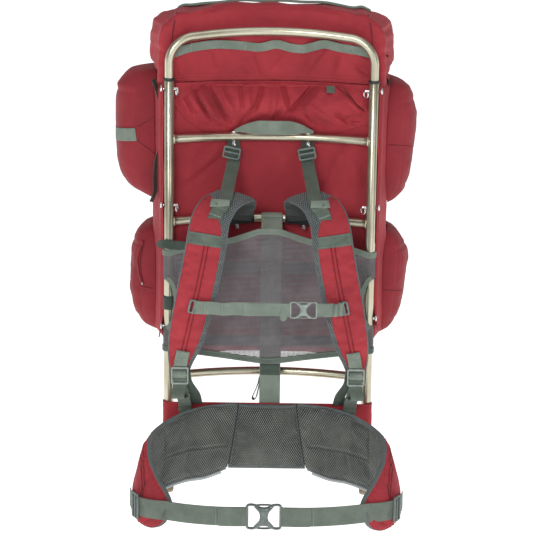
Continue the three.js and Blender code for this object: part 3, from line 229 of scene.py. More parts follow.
def pad_section(count, power=4.0):
    """A superellipse: the higher the power, the flatter its faces and the tighter its corners."""
    a = np.linspace(0, 2 * np.pi, count, endpoint=False)
    c, s = np.cos(a), np.sin(a)
    return np.stack([np.sign(c) * np.abs(c) ** (2 / power), np.sign(s) * np.abs(s) ** (2 / power)], -1)


def sweep(path, wide, half_width, half_depth, section, closed=False):
    """A section carried along a path: its first share runs along the held wide direction, its second square to both."""
    along = tangents(path, closed)
    wide = np.broadcast_to(np.asarray(wide, float), path.shape)
    across = unit(wide - along * np.einsum("ij,ij->i", wide, along)[:, None])
    through = np.cross(along, across)
    a = (np.broadcast_to(half_width, len(path))[:, None, None] * across[:, None, :]) * section[None, :, 0:1]
    b = (np.broadcast_to(half_depth, len(path))[:, None, None] * through[:, None, :]) * section[None, :, 1:2]
    return loft(path[:, None, :] + a + b, closed=closed)


def tube(path, radius, sides=20, closed=False):
    """Circles square to a path, with a side direction carried along it so that the tube never twists."""
    along = tangents(path, closed)
    side = np.zeros_like(path)
    held = vec(0.3, 0.5, 0.8)
    for i, t in enumerate(along):
        held = held - t * held.dot(t)
        held /= np.linalg.norm(held)
        side[i] = held
    other = np.cross(along, side)
    ring = ring_section(sides)
    r = np.broadcast_to(radius, len(path))[:, None, None]
    return loft(
        path[:, None] + r * (side[:, None] * ring[None, :, :1] + other[:, None] * ring[None, :, 1:]), closed=closed
    )


def rod(start, end, radius, sides=24, rounding=0.6):
    """A straight round bar whose two ends are rounded over by a small radius."""
    start, end = vec(*start), vec(*end)
    length = np.linalg.norm(end - start)
    axis = (end - start) / length
    a = np.linspace(0, np.pi / 2, 4)
    step = rounding * (1 - np.cos(a))
    along = np.concatenate([step, length - step[::-1]])
    edge = np.minimum(along, length - along)
    radii = radius - rounding + np.sqrt(np.maximum(rounding**2 - np.maximum(rounding - edge, 0) ** 2, 0))
    helper = vec(0, 0, 1) if abs(axis[2]) < 0.9 else vec(0, 1, 0)
    side = unit(np.cross(axis, helper))
    other = np.cross(axis, side)
    ring = ring_section(sides)
    centre = start[None] + axis[None] * along[:, None]
    return loft(centre[:, None] + radii[:, None, None] * (side * ring[None, :, :1] + other * ring[None, :, 1:]))


def torus(centre, normal, radius, wire, sides=28, round_sides=10):
    """A ring of wire: a circle carried round a circle."""
    normal = unit(vec(*normal))
    helper = vec(0, 0, 1) if abs(normal[2]) < 0.9 else vec(0, 1, 0)
    side = unit(np.cross(normal, helper))
    other = np.cross(normal, side)
    ring = ring_section(sides)
    path = vec(*centre) + radius * (side * ring[:, :1] + other * ring[:, 1:])
    return tube(path, wire, round_sides, closed=True)


def build_mesh(name, part):
    """A Blender mesh from points in millimetres, its corners set in one go."""
    points, quads, tris = part
    mesh = bpy.data.meshes.new(name)
    mesh.vertices.add(len(points))
    mesh.vertices.foreach_set("co", ((points + SHIFT) / 1000).astype(np.float32).ravel())
    corners = np.concatenate([quads.ravel(), tris.ravel()]).astype(np.int32)
    starts = np.concatenate([np.arange(len(quads)) * 4, len(quads) * 4 + np.arange(len(tris)) * 3])
    mesh.loops.add(len(corners))
    mesh.loops.foreach_set("vertex_index", corners)
    mesh.polygons.add(len(starts))
    mesh.polygons.foreach_set("loop_start", starts.astype(np.int32))
    mesh.update(calc_edges=True)
    mesh.validate()
    mesh.shade_smooth()
    return mesh


def cloth_map(mesh):
    """A flat map in metres for a weave: each face is laid on the plane that it faces most."""
    count = len(mesh.polygons)
    normals = np.zeros(count * 3)
    mesh.polygons.foreach_get("normal", normals)
    main = np.abs(normals.reshape(-1, 3)).argmax(1)
    totals = np.zeros(count, np.int32)
    mesh.polygons.foreach_get("loop_total", totals)
    corner = np.zeros(len(mesh.loops), np.int32)
    mesh.loops.foreach_get("vertex_index", corner)
    place = np.zeros(len(mesh.vertices) * 3)
    mesh.vertices.foreach_get("co", place)
    place = place.reshape(-1, 3)[corner]
    axis = np.repeat(main, totals)
    flat = np.where(
        (axis == 0)[:, None], place[:, [1, 2]], np.where((axis == 1)[:, None], place[:, [0, 2]], place[:, [0, 1]])
    )
    layer = mesh.uv_layers.new(name="weave")
    layer.data.foreach_set("uv", flat.astype(np.float32).ravel())


def finish_piece(name, part, material, replaces=(), flat_map=None):
    """Makes the object, gives it its map, its finish, its body and the solids that it stands for."""
    mesh = build_mesh(name, part)
    if flat_map is None:
        cloth_map(mesh)
    else:
        corner = np.zeros(len(mesh.loops), np.int32)
        mesh.loops.foreach_get("vertex_index", corner)
        layer = mesh.uv_layers.new(name="weave")
        layer.data.foreach_set("uv", (flat_map[corner] / 1000).astype(np.float32).ravel())
    for finish in material if isinstance(material, (list, tuple)) else [material]:
        mesh.materials.append(finish)
    piece = bpy.data.objects.new(name, mesh)
    bpy.context.scene.collection.objects.link(piece)
    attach(piece, BODY)
    if replaces:
        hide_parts(*replaces)
    print(name, len(mesh.polygons), "faces")
    return piece


# %% [markdown]
# Cloth is never even. These two helpers give the small differences: a soft random
# value in space for waves and dents, and a single crease, which is a ridge or a
# groove along a line that fades at both ends.

# %% Unevenness
def corner_value(cell, seed):
    """A fixed random value for a cell corner: the part after the point of a large sine of its place."""
    mix = np.sin(cell @ vec(12.9898, 78.233, 37.719) + seed * 11.17) * 43758.5453
    return 2 * (mix - np.floor(mix)) - 1


def soft_noise(points, size, seed=0):
    """Eight corner values of the cell that a point is in, mixed by smooth steps: one wave is about two sizes long."""
    p = np.asarray(points, float) / size
    cell = np.floor(p)
    f = p - cell
    f = f * f * (3 - 2 * f)
    total = np.zeros(p.shape[:-1])
    for dx in (0, 1):
        for dy in (0, 1):
            for dz in (0, 1):
                weight = (
                    np.where(dx, f[..., 0], 1 - f[..., 0])
                    * np.where(dy, f[..., 1], 1 - f[..., 1])
                    * np.where(dz, f[..., 2], 1 - f[..., 2])
                )
                total += weight * corner_value(cell + vec(dx, dy, dz), seed)
    return total


def crease(x, z, start, end, width, height):
    """A ridge along a line in the picture plane: a bell across it, and a half wave along it."""
    a, b = np.array(start, float), np.array(end, float)
    d = b - a
    length = np.hypot(*d)
    t = ((x - a[0]) * d[0] + (z - a[1]) * d[1]) / length**2
    off = ((x - a[0]) * d[1] - (z - a[1]) * d[0]) / length
    inside = np.sin(np.pi * np.clip(t, 0, 1)) ** 0.7
    return height * inside * np.exp(-((off / width) ** 2))


def rounded_step(value, edge, width):
    """Zero below an edge and one above it, with a smooth turn between."""
    t = np.clip((value - edge) / width + 0.5, 0, 1)
    return t * t * (3 - 2 * t)


def grid_normals(points, wrap=False):
    """The direction square to a grid of points, from its two sets of neighbours."""
    if wrap:
        du = np.roll(points, -1, 1) - np.roll(points, 1, 1)
    else:
        du = np.gradient(points, axis=1)
    dv = np.gradient(points, axis=0)
    return unit(np.cross(du, dv))


# %% [markdown]
# ## Camera, floor and light
# The picture is taken from a little above, almost square to the wearer's side and
# from four metres away, so the lens is long. The camera is rolled by less than a
# degree, because the pack hangs a trifle out of plumb.

# %% Camera
CAMERA_AT = vec(-5.1, -3863.7, 1492.5)
CAMERA_TO = vec(-5.1, 0, 457.26)
CAMERA_ROLL = 0.75
camera_data = bpy.data.cameras.new("camera")
camera_data.lens = 142.2
camera_data.sensor_width = 36
camera_data.clip_end = 60
camera = bpy.data.objects.new("camera", camera_data)
bpy.context.scene.collection.objects.link(camera)
camera.location = (CAMERA_AT + SHIFT) / 1000
look = Vector((CAMERA_TO - CAMERA_AT) / 1000).to_track_quat("-Z", "Y")
camera.rotation_mode = "QUATERNION"
camera.rotation_quaternion = look @ Quaternion((0, 0, 1), np.radians(CAMERA_ROLL))
bpy.context.scene.camera = camera
print("camera", tuple(round(v, 3) for v in camera.location))

# %% [markdown]
# The floor is plain and pale and lies well below the hanging pack. A wide soft
# light stands in front to the left, a weaker one to the right, and two tall ones
# at the sides draw the bright rims of the pockets. The surroundings are pale for
# the eye but darker at the sides for the light, as in a studio, because bright
# metal only looks like metal when it has something dark to reflect.

# %% Floor and lights
FLOOR_Z = -0.62


def node(tree, kind, place=(0, 0), **values):
    """A shader node with its settings and the values of its inputs set by name."""
    made = tree.nodes.new(kind)
    made.location = place
    for key, value in values.items():
        if key in made.inputs:
            made.inputs[key].default_value = value
        else:
            setattr(made, key, value)
    return made


def plain_material(name, colour, roughness):
    """One colour and one roughness, for the floor alone."""
    material = bpy.data.materials.new(name)
    material.use_nodes = True
    shader = material.node_tree.nodes["Principled BSDF"]
    shader.inputs["Base Color"].default_value = (*colour, 1)
    shader.inputs["Roughness"].default_value = roughness
    return material


floor_mesh = bpy.data.meshes.new("studio_floor")
floor_mesh.from_pydata(
    [(-30, -20, FLOOR_Z), (30, -20, FLOOR_Z), (30, 30, FLOOR_Z), (-30, 30, FLOOR_Z)], [], [(0, 1, 2, 3)]
)
floor = bpy.data.objects.new("studio_floor", floor_mesh)
bpy.context.scene.collection.objects.link(floor)
floor_material = plain_material("pale_floor", (0.93, 0.93, 0.93), 0.9)
floor_shader = floor_material.node_tree.nodes["Principled BSDF"]
floor_shader.inputs["Emission Color"].default_value = (1, 1, 1, 1)
floor_shader.inputs["Emission Strength"].default_value = 0.85
floor_mesh.materials.append(floor_material)


def soft_light(name, place, target, size, power, tall=None):
    """A flat glowing panel at a place in metres, turned towards a target."""
    data = bpy.data.lights.new(name, "AREA")
    data.shape = "RECTANGLE"
    data.size = size
    data.size_y = tall or size
    data.energy = power
    light = bpy.data.objects.new(name, data)
    bpy.context.scene.collection.objects.link(light)
    light.location = place
    aim = Vector(target) - Vector(place)
    light.rotation_mode = "QUATERNION"
    light.rotation_quaternion = aim.to_track_quat("-Z", "Y")


soft_light("key_light", (-0.9, -3.6, 2.1), (0, 0, 0.35), 1.0, 50, tall=1.2)
soft_light("fill_light", (2.2, -3.0, 1.0), (0, 0, 0.3), 1.2, 15, tall=1.8)
soft_light("left_rim_light", (-2.6, 0.5, 0.7), (0, 0.1, 0.35), 0.8, 8, tall=2.0)
soft_light("right_rim_light", (2.6, 0.5, 0.7), (0, 0.1, 0.35), 0.8, 8, tall=2.0)
soft_light("top_light", (0, -0.6, 3.0), (0, 0, 0.3), 1.6, 9)

world = bpy.data.worlds.new("studio")
world.use_nodes = True
bpy.context.scene.world = world
tree = world.node_tree
tree.nodes.clear()
path_kind = node(tree, "ShaderNodeLightPath")
seen = node(tree, "ShaderNodeBackground", Color=(1, 1, 1, 1), Strength=0.97)
around = node(tree, "ShaderNodeTexCoord")
split = node(tree, "ShaderNodeSeparateXYZ")
tree.links.new(around.outputs["Generated"], split.inputs[0])
side_dark = node(tree, "ShaderNodeMath", operation="MULTIPLY")
tree.links.new(split.outputs["X"], side_dark.inputs[0])
tree.links.new(split.outputs["X"], side_dark.inputs[1])
ramp = node(tree, "ShaderNodeMapRange")
for key, value in (("From Min", 0.1), ("From Max", 0.8), ("To Min", 0.4), ("To Max", 0.14)):
    ramp.inputs[key].default_value = value
tree.links.new(side_dark.outputs[0], ramp.inputs["Value"])
glow = node(tree, "ShaderNodeBackground", Color=(1, 1, 1, 1))
tree.links.new(ramp.outputs[0], glow.inputs["Strength"])
either = node(tree, "ShaderNodeMixShader")
tree.links.new(path_kind.outputs["Is Camera Ray"], either.inputs[0])
tree.links.new(glow.outputs[0], either.inputs[1])
tree.links.new(seen.outputs[0], either.inputs[2])
world_out = node(tree, "ShaderNodeOutputWorld")
tree.links.new(either.outputs[0], world_out.inputs[0])
bpy.context.scene.view_settings.view_transform = "Standard"
print("floor at", FLOOR_Z, "and five soft lights")

# %% [markdown]
# ## Finishes
# Each finish is a small tree of nodes. The cloth and webbing trees read the flat
# map of their piece, so that the threads follow the surface; metal and plastic
# read object coordinates. Every tree has three scales: the threads or the grain,
# a soft change of tone over the whole piece, and dirt or wear in between.

# %% Node shorthands
def new_finish(name, **settings):
    """A material with its tree, its shader and the shader's own uniform settings."""
    material = bpy.data.materials.new(name)
    material.use_nodes = True
    tree = material.node_tree
    shader = tree.nodes["Principled BSDF"]
    for key, value in settings.items():
        shader.inputs[key.replace("_", " ")].default_value = value
    return material, tree, shader


def feed(tree, source, target):
    """Joins an output to an input."""
    tree.links.new(source, target)


def calc(tree, kind, first, second=0.0, third=None, clamp=False):
    """One step of arithmetic on node values or plain numbers."""
    made = node(tree, "ShaderNodeMath", operation=kind, use_clamp=clamp)
    for slot_index, value in enumerate((first, second) if third is None else (first, second, third)):
        if isinstance(value, (int, float)):
            made.inputs[slot_index].default_value = value
        else:
            feed(tree, value, made.inputs[slot_index])
    return made.outputs[0]


def flat_place(tree):
    """The two metres of the weave map as separate values, and the map itself."""
    place = node(tree, "ShaderNodeUVMap", uv_map="weave")
    parts = node(tree, "ShaderNodeSeparateXYZ")
    feed(tree, place.outputs[0], parts.inputs[0])
    return parts.outputs["X"], parts.outputs["Y"], place.outputs[0]


def object_place(tree):
    """The object coordinates of a point."""
    return node(tree, "ShaderNodeTexCoord").outputs["Object"]


def noise(tree, place, scale, detail=3.0, roughness=0.55):
    """Blender's noise at so many waves to the metre."""
    made = node(tree, "ShaderNodeTexNoise", Scale=scale, Detail=detail, Roughness=roughness)
    feed(tree, place, made.inputs["Vector"])
    return made.outputs[0]


def tone(tree, value, stops):
    """A colour ramp through pairs of a place and a colour."""
    ramp = node(tree, "ShaderNodeValToRGB")
    elements = ramp.color_ramp.elements
    while len(elements) < len(stops):
        elements.new(0.5)
    for element, (position, colour) in zip(elements, stops):
        element.position = position
        element.color = (*colour, 1)
    feed(tree, value, ramp.inputs[0])
    return ramp.outputs[0]


def bumped(tree, shader, height, distance, strength=1.0):
    """Tilts the shader's normal by a height that is given in metres when multiplied by the distance."""
    bump = node(tree, "ShaderNodeBump", Strength=strength, Distance=distance)
    feed(tree, height, bump.inputs["Height"])
    feed(tree, bump.outputs[0], shader.inputs["Normal"])


def mixed(tree, factor, first, second, blend="MIX"):
    """Two colours mixed by a factor; either may be plain numbers."""
    made = node(tree, "ShaderNodeMix", data_type="RGBA", blend_type=blend)
    for socket, value in ((made.inputs[0], factor), (made.inputs[6], first), (made.inputs[7], second)):
        if isinstance(value, (int, float)):
            socket.default_value = value
        elif isinstance(value, tuple):
            socket.default_value = (*value, 1)
        else:
            feed(tree, value, socket)
    return made.outputs[2]


# %% [markdown]
# Pack cloth is a plain weave of thick nylon threads with a coating inside. From
# near it shows a fine basket of over and under threads, some threads a little
# darker than the next; from afar, long soft changes of tone.

# %% Pack cloth
def cloth_finish(name, dark, mid, light, threads=900.0):
    """A plain weave: two sets of waves square to each other, lifted in turn like a chess board."""
    material, tree, shader = new_finish(name, Roughness=0.68, Sheen_Weight=0.12, Sheen_Roughness=0.45)
    shader.inputs["Sheen Tint"].default_value = (1.0, 0.62, 0.6, 1)
    shader.inputs["Specular IOR Level"].default_value = 0.28
    across, up, place = flat_place(tree)
    spin = 2 * np.pi * threads
    warp = calc(tree, "SINE", calc(tree, "MULTIPLY", across, spin))
    weft = calc(tree, "SINE", calc(tree, "MULTIPLY", up, spin))
    basket = calc(tree, "MULTIPLY", warp, weft)
    weave = calc(tree, "MULTIPLY_ADD", basket, 0.5, 0.5)
    streak = node(tree, "ShaderNodeMapping")
    streak.inputs["Scale"].default_value = (60, 900, 1)
    feed(tree, place, streak.inputs["Vector"])
    slub = noise(tree, streak.outputs[0], 1.0, 2.0)
    broad = noise(tree, object_place(tree), 9.0, 4.0, 0.6)
    wear = noise(tree, object_place(tree), 60.0, 3.0, 0.6)
    level = calc(
        tree, "MULTIPLY_ADD", broad, 0.62,
        calc(tree, "MULTIPLY_ADD", slub, 0.22, calc(tree, "MULTIPLY", wear, 0.16))
    )
    base = tone(tree, level, ((0.3, dark), (0.5, mid), (0.7, light)))
    shade = mixed(tree, calc(tree, "MULTIPLY", weave, 0.22), base, tuple(0.55 * v for v in dark))
    feed(tree, shade, shader.inputs["Base Color"])
    height = calc(tree, "MULTIPLY_ADD", weave, 0.5, calc(tree, "MULTIPLY", wear, 1.6))
    bumped(tree, shader, height, 0.0004, 0.6)
    feed(tree, calc(tree, "MULTIPLY_ADD", wear, 0.18, 0.6), shader.inputs["Roughness"])
    return material


RED_DARK, RED_MID, RED_LIGHT = (0.255, 0.018, 0.027), (0.365, 0.028, 0.04), (0.46, 0.042, 0.055)
red_cloth = cloth_finish("red_pack_cloth", RED_DARK, RED_MID, RED_LIGHT)
# The pockets take a darker copy of the red cloth: painted shade, as the pockets stand back in shade.
pocket_cloth_painted_shade = cloth_finish("red_side_cloth_painted_shade", (0.19, 0.0128, 0.0195), (0.268, 0.0195, 0.029), (0.335, 0.0285, 0.038))
shade_cloth = cloth_finish("red_cloth_in_shade", (0.12, 0.011, 0.015), (0.16, 0.015, 0.021), (0.2, 0.021, 0.027))
grey_binding = cloth_finish("grey_binding", (0.085, 0.1, 0.1), (0.12, 0.14, 0.14), (0.16, 0.185, 0.18), 1400.0)
pale_binding = cloth_finish("pale_piping", (0.3, 0.33, 0.33), (0.4, 0.43, 0.43), (0.5, 0.53, 0.52), 1400.0)
# A near-black copy of the cloth for the sleeves at the strap roots: painted shade under the strap arches.
sleeve_painted_shade = cloth_finish(
    "strap_root_sleeve_painted_shade", (0.012, 0.014, 0.014), (0.022, 0.026, 0.026), (0.035, 0.04, 0.04), 1200.0
)
print("cloth finishes made")

# %% [markdown]
# Webbing is a thick tape woven with a raised rib every millimetre or so along its
# length and a firm edge. Its map runs along the tape in one direction and across
# it in the other, so the ribs stay square to the tape round every bend.

# %% Webbing
def webbing_finish(name, dark, mid, light):
    """Ribs along the tape, split into a herringbone by the sign of the place across."""
    material, tree, shader = new_finish(name, Roughness=0.62, Sheen_Weight=0.1, Sheen_Roughness=0.4)
    shader.inputs["Specular IOR Level"].default_value = 0.35
    along, across, place = flat_place(tree)
    lean = calc(
        tree, "ABSOLUTE", calc(tree, "SUBTRACT", calc(tree, "FRACT", calc(tree, "MULTIPLY", across, 170.0)), 0.5)
    )
    ribs = calc(tree, "SINE", calc(tree, "MULTIPLY_ADD", along, 2 * np.pi * 620, calc(tree, "MULTIPLY", lean, 9.0)))
    cords = calc(tree, "SINE", calc(tree, "MULTIPLY", across, 2 * np.pi * 950))
    rib = calc(tree, "MULTIPLY_ADD", ribs, 0.5, 0.5)
    cord = calc(tree, "MULTIPLY_ADD", cords, 0.5, 0.5)
    thread = calc(tree, "MULTIPLY_ADD", rib, 0.6, calc(tree, "MULTIPLY", cord, 0.4))
    broad = noise(tree, object_place(tree), 34.0, 4.0, 0.6)
    streak = node(tree, "ShaderNodeMapping")
    streak.inputs["Scale"].default_value = (40, 900, 1)
    feed(tree, place, streak.inputs["Vector"])
    line = noise(tree, streak.outputs[0], 1.0, 2.0)
    level = calc(
        tree, "MULTIPLY_ADD", broad, 0.6,
        calc(tree, "MULTIPLY_ADD", line, 0.28, calc(tree, "MULTIPLY", thread, 0.14))
    )
    base = tone(tree, level, ((0.3, dark), (0.5, mid), (0.72, light)))
    shade = mixed(
        tree, calc(tree, "MULTIPLY", calc(tree, "SUBTRACT", 1.0, thread), 0.35), base, tuple(0.4 * v for v in dark)
    )
    feed(tree, shade, shader.inputs["Base Color"])
    bumped(tree, shader, thread, 0.00045, 0.8)
    return material


webbing_green = webbing_finish("grey_green_webbing", (0.14, 0.18, 0.145), (0.2, 0.245, 0.2), (0.28, 0.33, 0.275))
# A brighter copy of the green webbing for the centre strap: painted light, lifting the strap out of the shade of the
# bars and arches.
strap_webbing_painted_light = webbing_finish("centre_strap_webbing_painted_light", (0.2, 0.25, 0.2), (0.29, 0.345, 0.285), (0.4, 0.46, 0.39))
webbing_belt = webbing_finish("belt_webbing", (0.1, 0.13, 0.104), (0.148, 0.184, 0.148), (0.21, 0.25, 0.205))
webbing_dark = webbing_finish("dark_green_webbing", (0.035, 0.055, 0.042), (0.06, 0.088, 0.068), (0.09, 0.125, 0.1))
webbing_mid = webbing_finish("shaded_webbing", (0.075, 0.1, 0.08), (0.115, 0.15, 0.12), (0.16, 0.2, 0.165))
print("webbing finishes made")

# %% [markdown]
# Spacer mesh is a thick knit full of small round holes. It covers everything that
# touches the wearer, because air moves through it. The holes stand in rows that
# are shifted by half a step, dark inside, with pale yarn between them.

# %% Spacer mesh
def knit_finish(name, hole, yarn, pale, pitch=0.0042):
    """Two waves at 60 degrees multiplied: their hills are the yarn crossings, their hollows the holes."""
    material, tree, shader = new_finish(name, Roughness=0.75, Sheen_Weight=0.15, Sheen_Roughness=0.5)
    shader.inputs["Specular IOR Level"].default_value = 0.25
    across, up, _ = flat_place(tree)
    spin = 2 * np.pi / pitch
    first = calc(
        tree, "SINE", calc(tree, "MULTIPLY_ADD", across, spin * 0.87, calc(tree, "MULTIPLY", up, spin * 0.5))
    )
    second = calc(
        tree, "SINE", calc(tree, "MULTIPLY_ADD", across, spin * 0.87, calc(tree, "MULTIPLY", up, -spin * 0.5))
    )
    knit = calc(tree, "MULTIPLY_ADD", calc(tree, "ADD", first, second), 0.25, 0.5)
    broad = noise(tree, object_place(tree), 22.0, 3.0, 0.6)
    level = calc(tree, "MULTIPLY_ADD", broad, 0.36, calc(tree, "MULTIPLY_ADD", knit, 0.82, -0.12))
    base = tone(tree, level, ((0.22, hole), (0.42, yarn), (0.6, yarn), (0.82, pale)))
    feed(tree, base, shader.inputs["Base Color"])
    bumped(tree, shader, knit, 0.0012, 1.0)
    return material


spacer = knit_finish("grey_spacer_mesh", (0.012, 0.015, 0.016), (0.068, 0.077, 0.077), (0.34, 0.34, 0.285), 0.0034)
strap_lining = knit_finish(
    "strap_lining_mesh", (0.028, 0.034, 0.036), (0.085, 0.1, 0.102), (0.26, 0.285, 0.28), 0.0036
)
lining_shade = knit_finish(
    "shaded_strap_lining", (0.006, 0.008, 0.008), (0.022, 0.028, 0.028), (0.06, 0.07, 0.07), 0.0032
)
print("spacer mesh made")

# %% [markdown]
# The back mesh is an open net. Half of it is holes, so the red bag shows through
# it as a dusky violet and daylight shows through its lower edge. The threads that
# run across are thicker than those that run up and down.

# %% Open net
def net_finish(name, dark, light, pitch=0.0034, closed=0.5):
    """A thread wherever either of two waves is high; everything else lets light pass."""
    material, tree, shader = new_finish(name, Roughness=0.6)
    shader.inputs["Specular IOR Level"].default_value = 0.3
    across, up, _ = flat_place(tree)
    spin = 2 * np.pi / pitch
    rows = calc(tree, "MULTIPLY_ADD", calc(tree, "SINE", calc(tree, "MULTIPLY", up, spin)), 0.5, 0.5)
    posts = calc(tree, "MULTIPLY_ADD", calc(tree, "SINE", calc(tree, "MULTIPLY", across, spin)), 0.5, 0.5)
    row = calc(tree, "GREATER_THAN", rows, 1 - closed)
    post = calc(tree, "GREATER_THAN", posts, 1 - closed * 0.62)
    cover = calc(tree, "MAXIMUM", row, post)
    broad = noise(tree, object_place(tree), 30.0, 3.0, 0.6)
    base = tone(
        tree, calc(tree, "MULTIPLY_ADD", broad, 0.7, calc(tree, "MULTIPLY", rows, 0.3)),
        ((0.3, dark), (0.75, light))
    )
    feed(tree, base, shader.inputs["Base Color"])
    feed(tree, cover, shader.inputs["Alpha"])
    bumped(tree, shader, calc(tree, "MAXIMUM", rows, posts), 0.0006, 0.8)
    return material


back_net = net_finish("back_net", (0.125, 0.115, 0.125), (0.24, 0.225, 0.235), 0.0024, 0.41)
print("nets made")

# %% [markdown]
# The tubes are aluminium with a champagne anodised skin: satin rather than bright,
# with very fine drawn lines along the tube and a few rubbed places. The pins and
# rings are plated steel.

# %% Metals and plastics
def tube_finish():
    """Satin metal: a warm tone, fine grain in its roughness and darker rubbed spots."""
    material, tree, shader = new_finish("champagne_tube", Metallic=0.92, Roughness=0.3)
    place = object_place(tree)
    stretch = node(tree, "ShaderNodeMapping")
    stretch.inputs["Scale"].default_value = (900, 900, 18)
    feed(tree, place, stretch.inputs["Vector"])
    grain = noise(tree, stretch.outputs[0], 1.0, 2.0)
    broad = noise(tree, place, 14.0, 4.0, 0.6)
    base = tone(tree, broad, ((0.32, (0.41, 0.385, 0.28)), (0.5, (0.5, 0.475, 0.36)), (0.7, (0.56, 0.54, 0.42))))
    feed(tree, base, shader.inputs["Base Color"])
    feed(
        tree, calc(tree, "MULTIPLY_ADD", grain, 0.1, calc(tree, "MULTIPLY_ADD", broad, 0.12, 0.2)),
        shader.inputs["Roughness"]
    )
    bumped(tree, shader, grain, 0.00003, 0.5)
    return material


def steel_finish():
    """Bright plated steel with small scratches."""
    material, tree, shader = new_finish("plated_steel", Metallic=1.0, Roughness=0.18)
    scratch = noise(tree, object_place(tree), 700.0, 3.0)
    base = tone(tree, scratch, ((0.3, (0.62, 0.62, 0.62)), (0.7, (0.86, 0.86, 0.85))))
    feed(tree, base, shader.inputs["Base Color"])
    feed(tree, calc(tree, "MULTIPLY_ADD", scratch, 0.2, 0.1), shader.inputs["Roughness"])
    bumped(tree, shader, scratch, 0.00002, 0.4)
    return material


def plastic_finish(name, dark, light, roughness=0.42):
    """Moulded nylon: a fine leathery grain, paler where it is rubbed."""
    material, tree, shader = new_finish(name, Roughness=roughness)
    place = object_place(tree)
    grain = noise(tree, place, 1500.0, 2.0)
    rub = noise(tree, place, 120.0, 4.0, 0.65)
    feed(tree, tone(tree, rub, ((0.35, dark), (0.72, light))), shader.inputs["Base Color"])
    feed(tree, calc(tree, "MULTIPLY_ADD", rub, 0.25, roughness - 0.12), shader.inputs["Roughness"])
    bumped(tree, shader, grain, 0.00008, 0.5)
    return material


champagne = tube_finish()
steel = steel_finish()
grey_plastic = plastic_finish("grey_buckle_plastic", (0.1, 0.126, 0.118), (0.18, 0.215, 0.2), 0.3)
pale_plastic = plastic_finish("pale_buckle_plastic", (0.22, 0.26, 0.24), (0.32, 0.365, 0.335), 0.3)
black_plastic = plastic_finish("black_collar_plastic", (0.012, 0.012, 0.013), (0.03, 0.03, 0.032), 0.5)
tan_rubber = plastic_finish("tan_foot_plug", (0.24, 0.185, 0.115), (0.36, 0.29, 0.19), 0.55)
red_thread = plastic_finish("red_thread", (0.4, 0.05, 0.05), (0.55, 0.09, 0.085), 0.7)
pale_thread = plastic_finish("pale_thread", (0.25, 0.29, 0.26), (0.38, 0.42, 0.38), 0.7)
print("metals, plastics and threads made")

# %% [markdown]
# ## The tube frame
# Two straight side tubes carry everything. They are drawn as plain tubes with a
# thin wall, open at the top where the telescoping bar goes in.

# %% Side tubes
def open_tube(x, bottom, top, outer, inner, sides=40):
    """A tube with a wall: the outline of the wall turned round the tube's axis."""
    lip = 0.5
    profile = np.array([
        (inner, bottom), (outer - lip, bottom), (outer, bottom + lip), (outer, (bottom + top) / 2),
        (outer, top - lip), (outer - lip, top), (inner, top), (inner, (bottom + top) / 2),
    ])
    ring = ring_section(sides)
    r, z = profile[:, 0][:, None], profile[:, 1][:, None]
    points = np.stack([x + r * ring[None, :, 0], r * ring[None, :, 1], z + 0 * ring[None, :, 0]], -1)
    return loft(points, closed=True)


for side_name, side in (("left", -1), ("right", 1)):
    part = open_tube(side * HALF_SPACING, 12.3, TUBE_TOP, TUBE_RADIUS, 8.6)
    finish_piece(f"side_tube_{side_name}_shown", part, champagne, [f"side_tube_{side_name}"])

# %% [markdown]
# The top bar is one tube bent twice. Its crest rises a little in the middle and
# bows away from the wearer's head, and its legs slide down inside the side tubes.
# A black collar sits on each side tube where the leg goes in.

# %% Top bar, collars and foot plugs
TOP_Z, TOP_BEND, TOP_BOW, TOP_ARCH, TOP_TUBE = 894.0, 48.0, 30.0, 8.0, 8.2


def top_bar_line():
    """Up a leg, round a bend drawn with a four point curve, and over a low arch to the other leg."""
    bend_x = HALF_SPACING - TOP_BEND
    bend_y = bar_y(bend_x, TOP_BOW)
    slope = 2 * TOP_BOW * bend_x / HALF_SPACING**2
    pull = TOP_BEND * 0.55
    t = np.linspace(0, 1, 26)[:, None]
    corners = [
        vec(HALF_SPACING, 0, TOP_Z - TOP_BEND), vec(HALF_SPACING, 0, TOP_Z - TOP_BEND + pull),
        vec(bend_x + pull, bend_y - slope * pull, TOP_Z - 1), vec(bend_x, bend_y, TOP_Z),
    ]
    weights = ((1 - t) ** 3, 3 * t * (1 - t) ** 2, 3 * t**2 * (1 - t), t**3)
    bend = sum(weight * corner for weight, corner in zip(weights, corners))
    share = np.linspace(1, -1, 41)[1:-1]
    x = share * bend_x
    crest = np.stack([x, bar_y(x, TOP_BOW), TOP_Z + TOP_ARCH * (1 - share**2)], -1)
    mirror = vec(-1, 1, 1)
    leg = vec(HALF_SPACING, 0, TUBE_TOP - 62)
    legs = np.stack([leg, leg + vec(0, 0, 30)])
    return np.concatenate([legs, bend, crest, (bend * mirror)[::-1], (legs * mirror)[::-1]])


finish_piece("top_bar_shown", tube(top_bar_line(), TOP_TUBE, 36), champagne, ["top_bar"])
for side_name, side in (("left", -1), ("right", 1)):
    x = side * HALF_SPACING
    collar = open_tube(x, 812.3, 817.3, 11.0, 8.6, 40)
    finish_piece(f"collar_{side_name}_shown", collar, black_plastic, [f"collar_{side_name}"])
    heights = np.array([(0.2, 0), (6.6, 0), (8.8, 1.2), (9.5, 4), (9.5, 12), (8.2, 12), (8.2, 33), (0.2, 34)])
    ring = ring_section(36)
    radius, z = heights[:, :1], heights[:, 1:]
    plug = loft(np.stack([x + radius * ring[None, :, 0], radius * ring[None, :, 1], z + 0 * ring[None, :, 0]], -1))
    finish_piece(f"foot_plug_{side_name}_shown", plug, tan_rubber, [f"foot_plug_{side_name}"])

# %% [markdown]
# Three cross bars are welded between the side tubes and bow away from the back.
# Their ends swell into a weld fillet, which is a short stretch where the radius
# grows. The upper and the middle bar are drilled for two upright pins each.

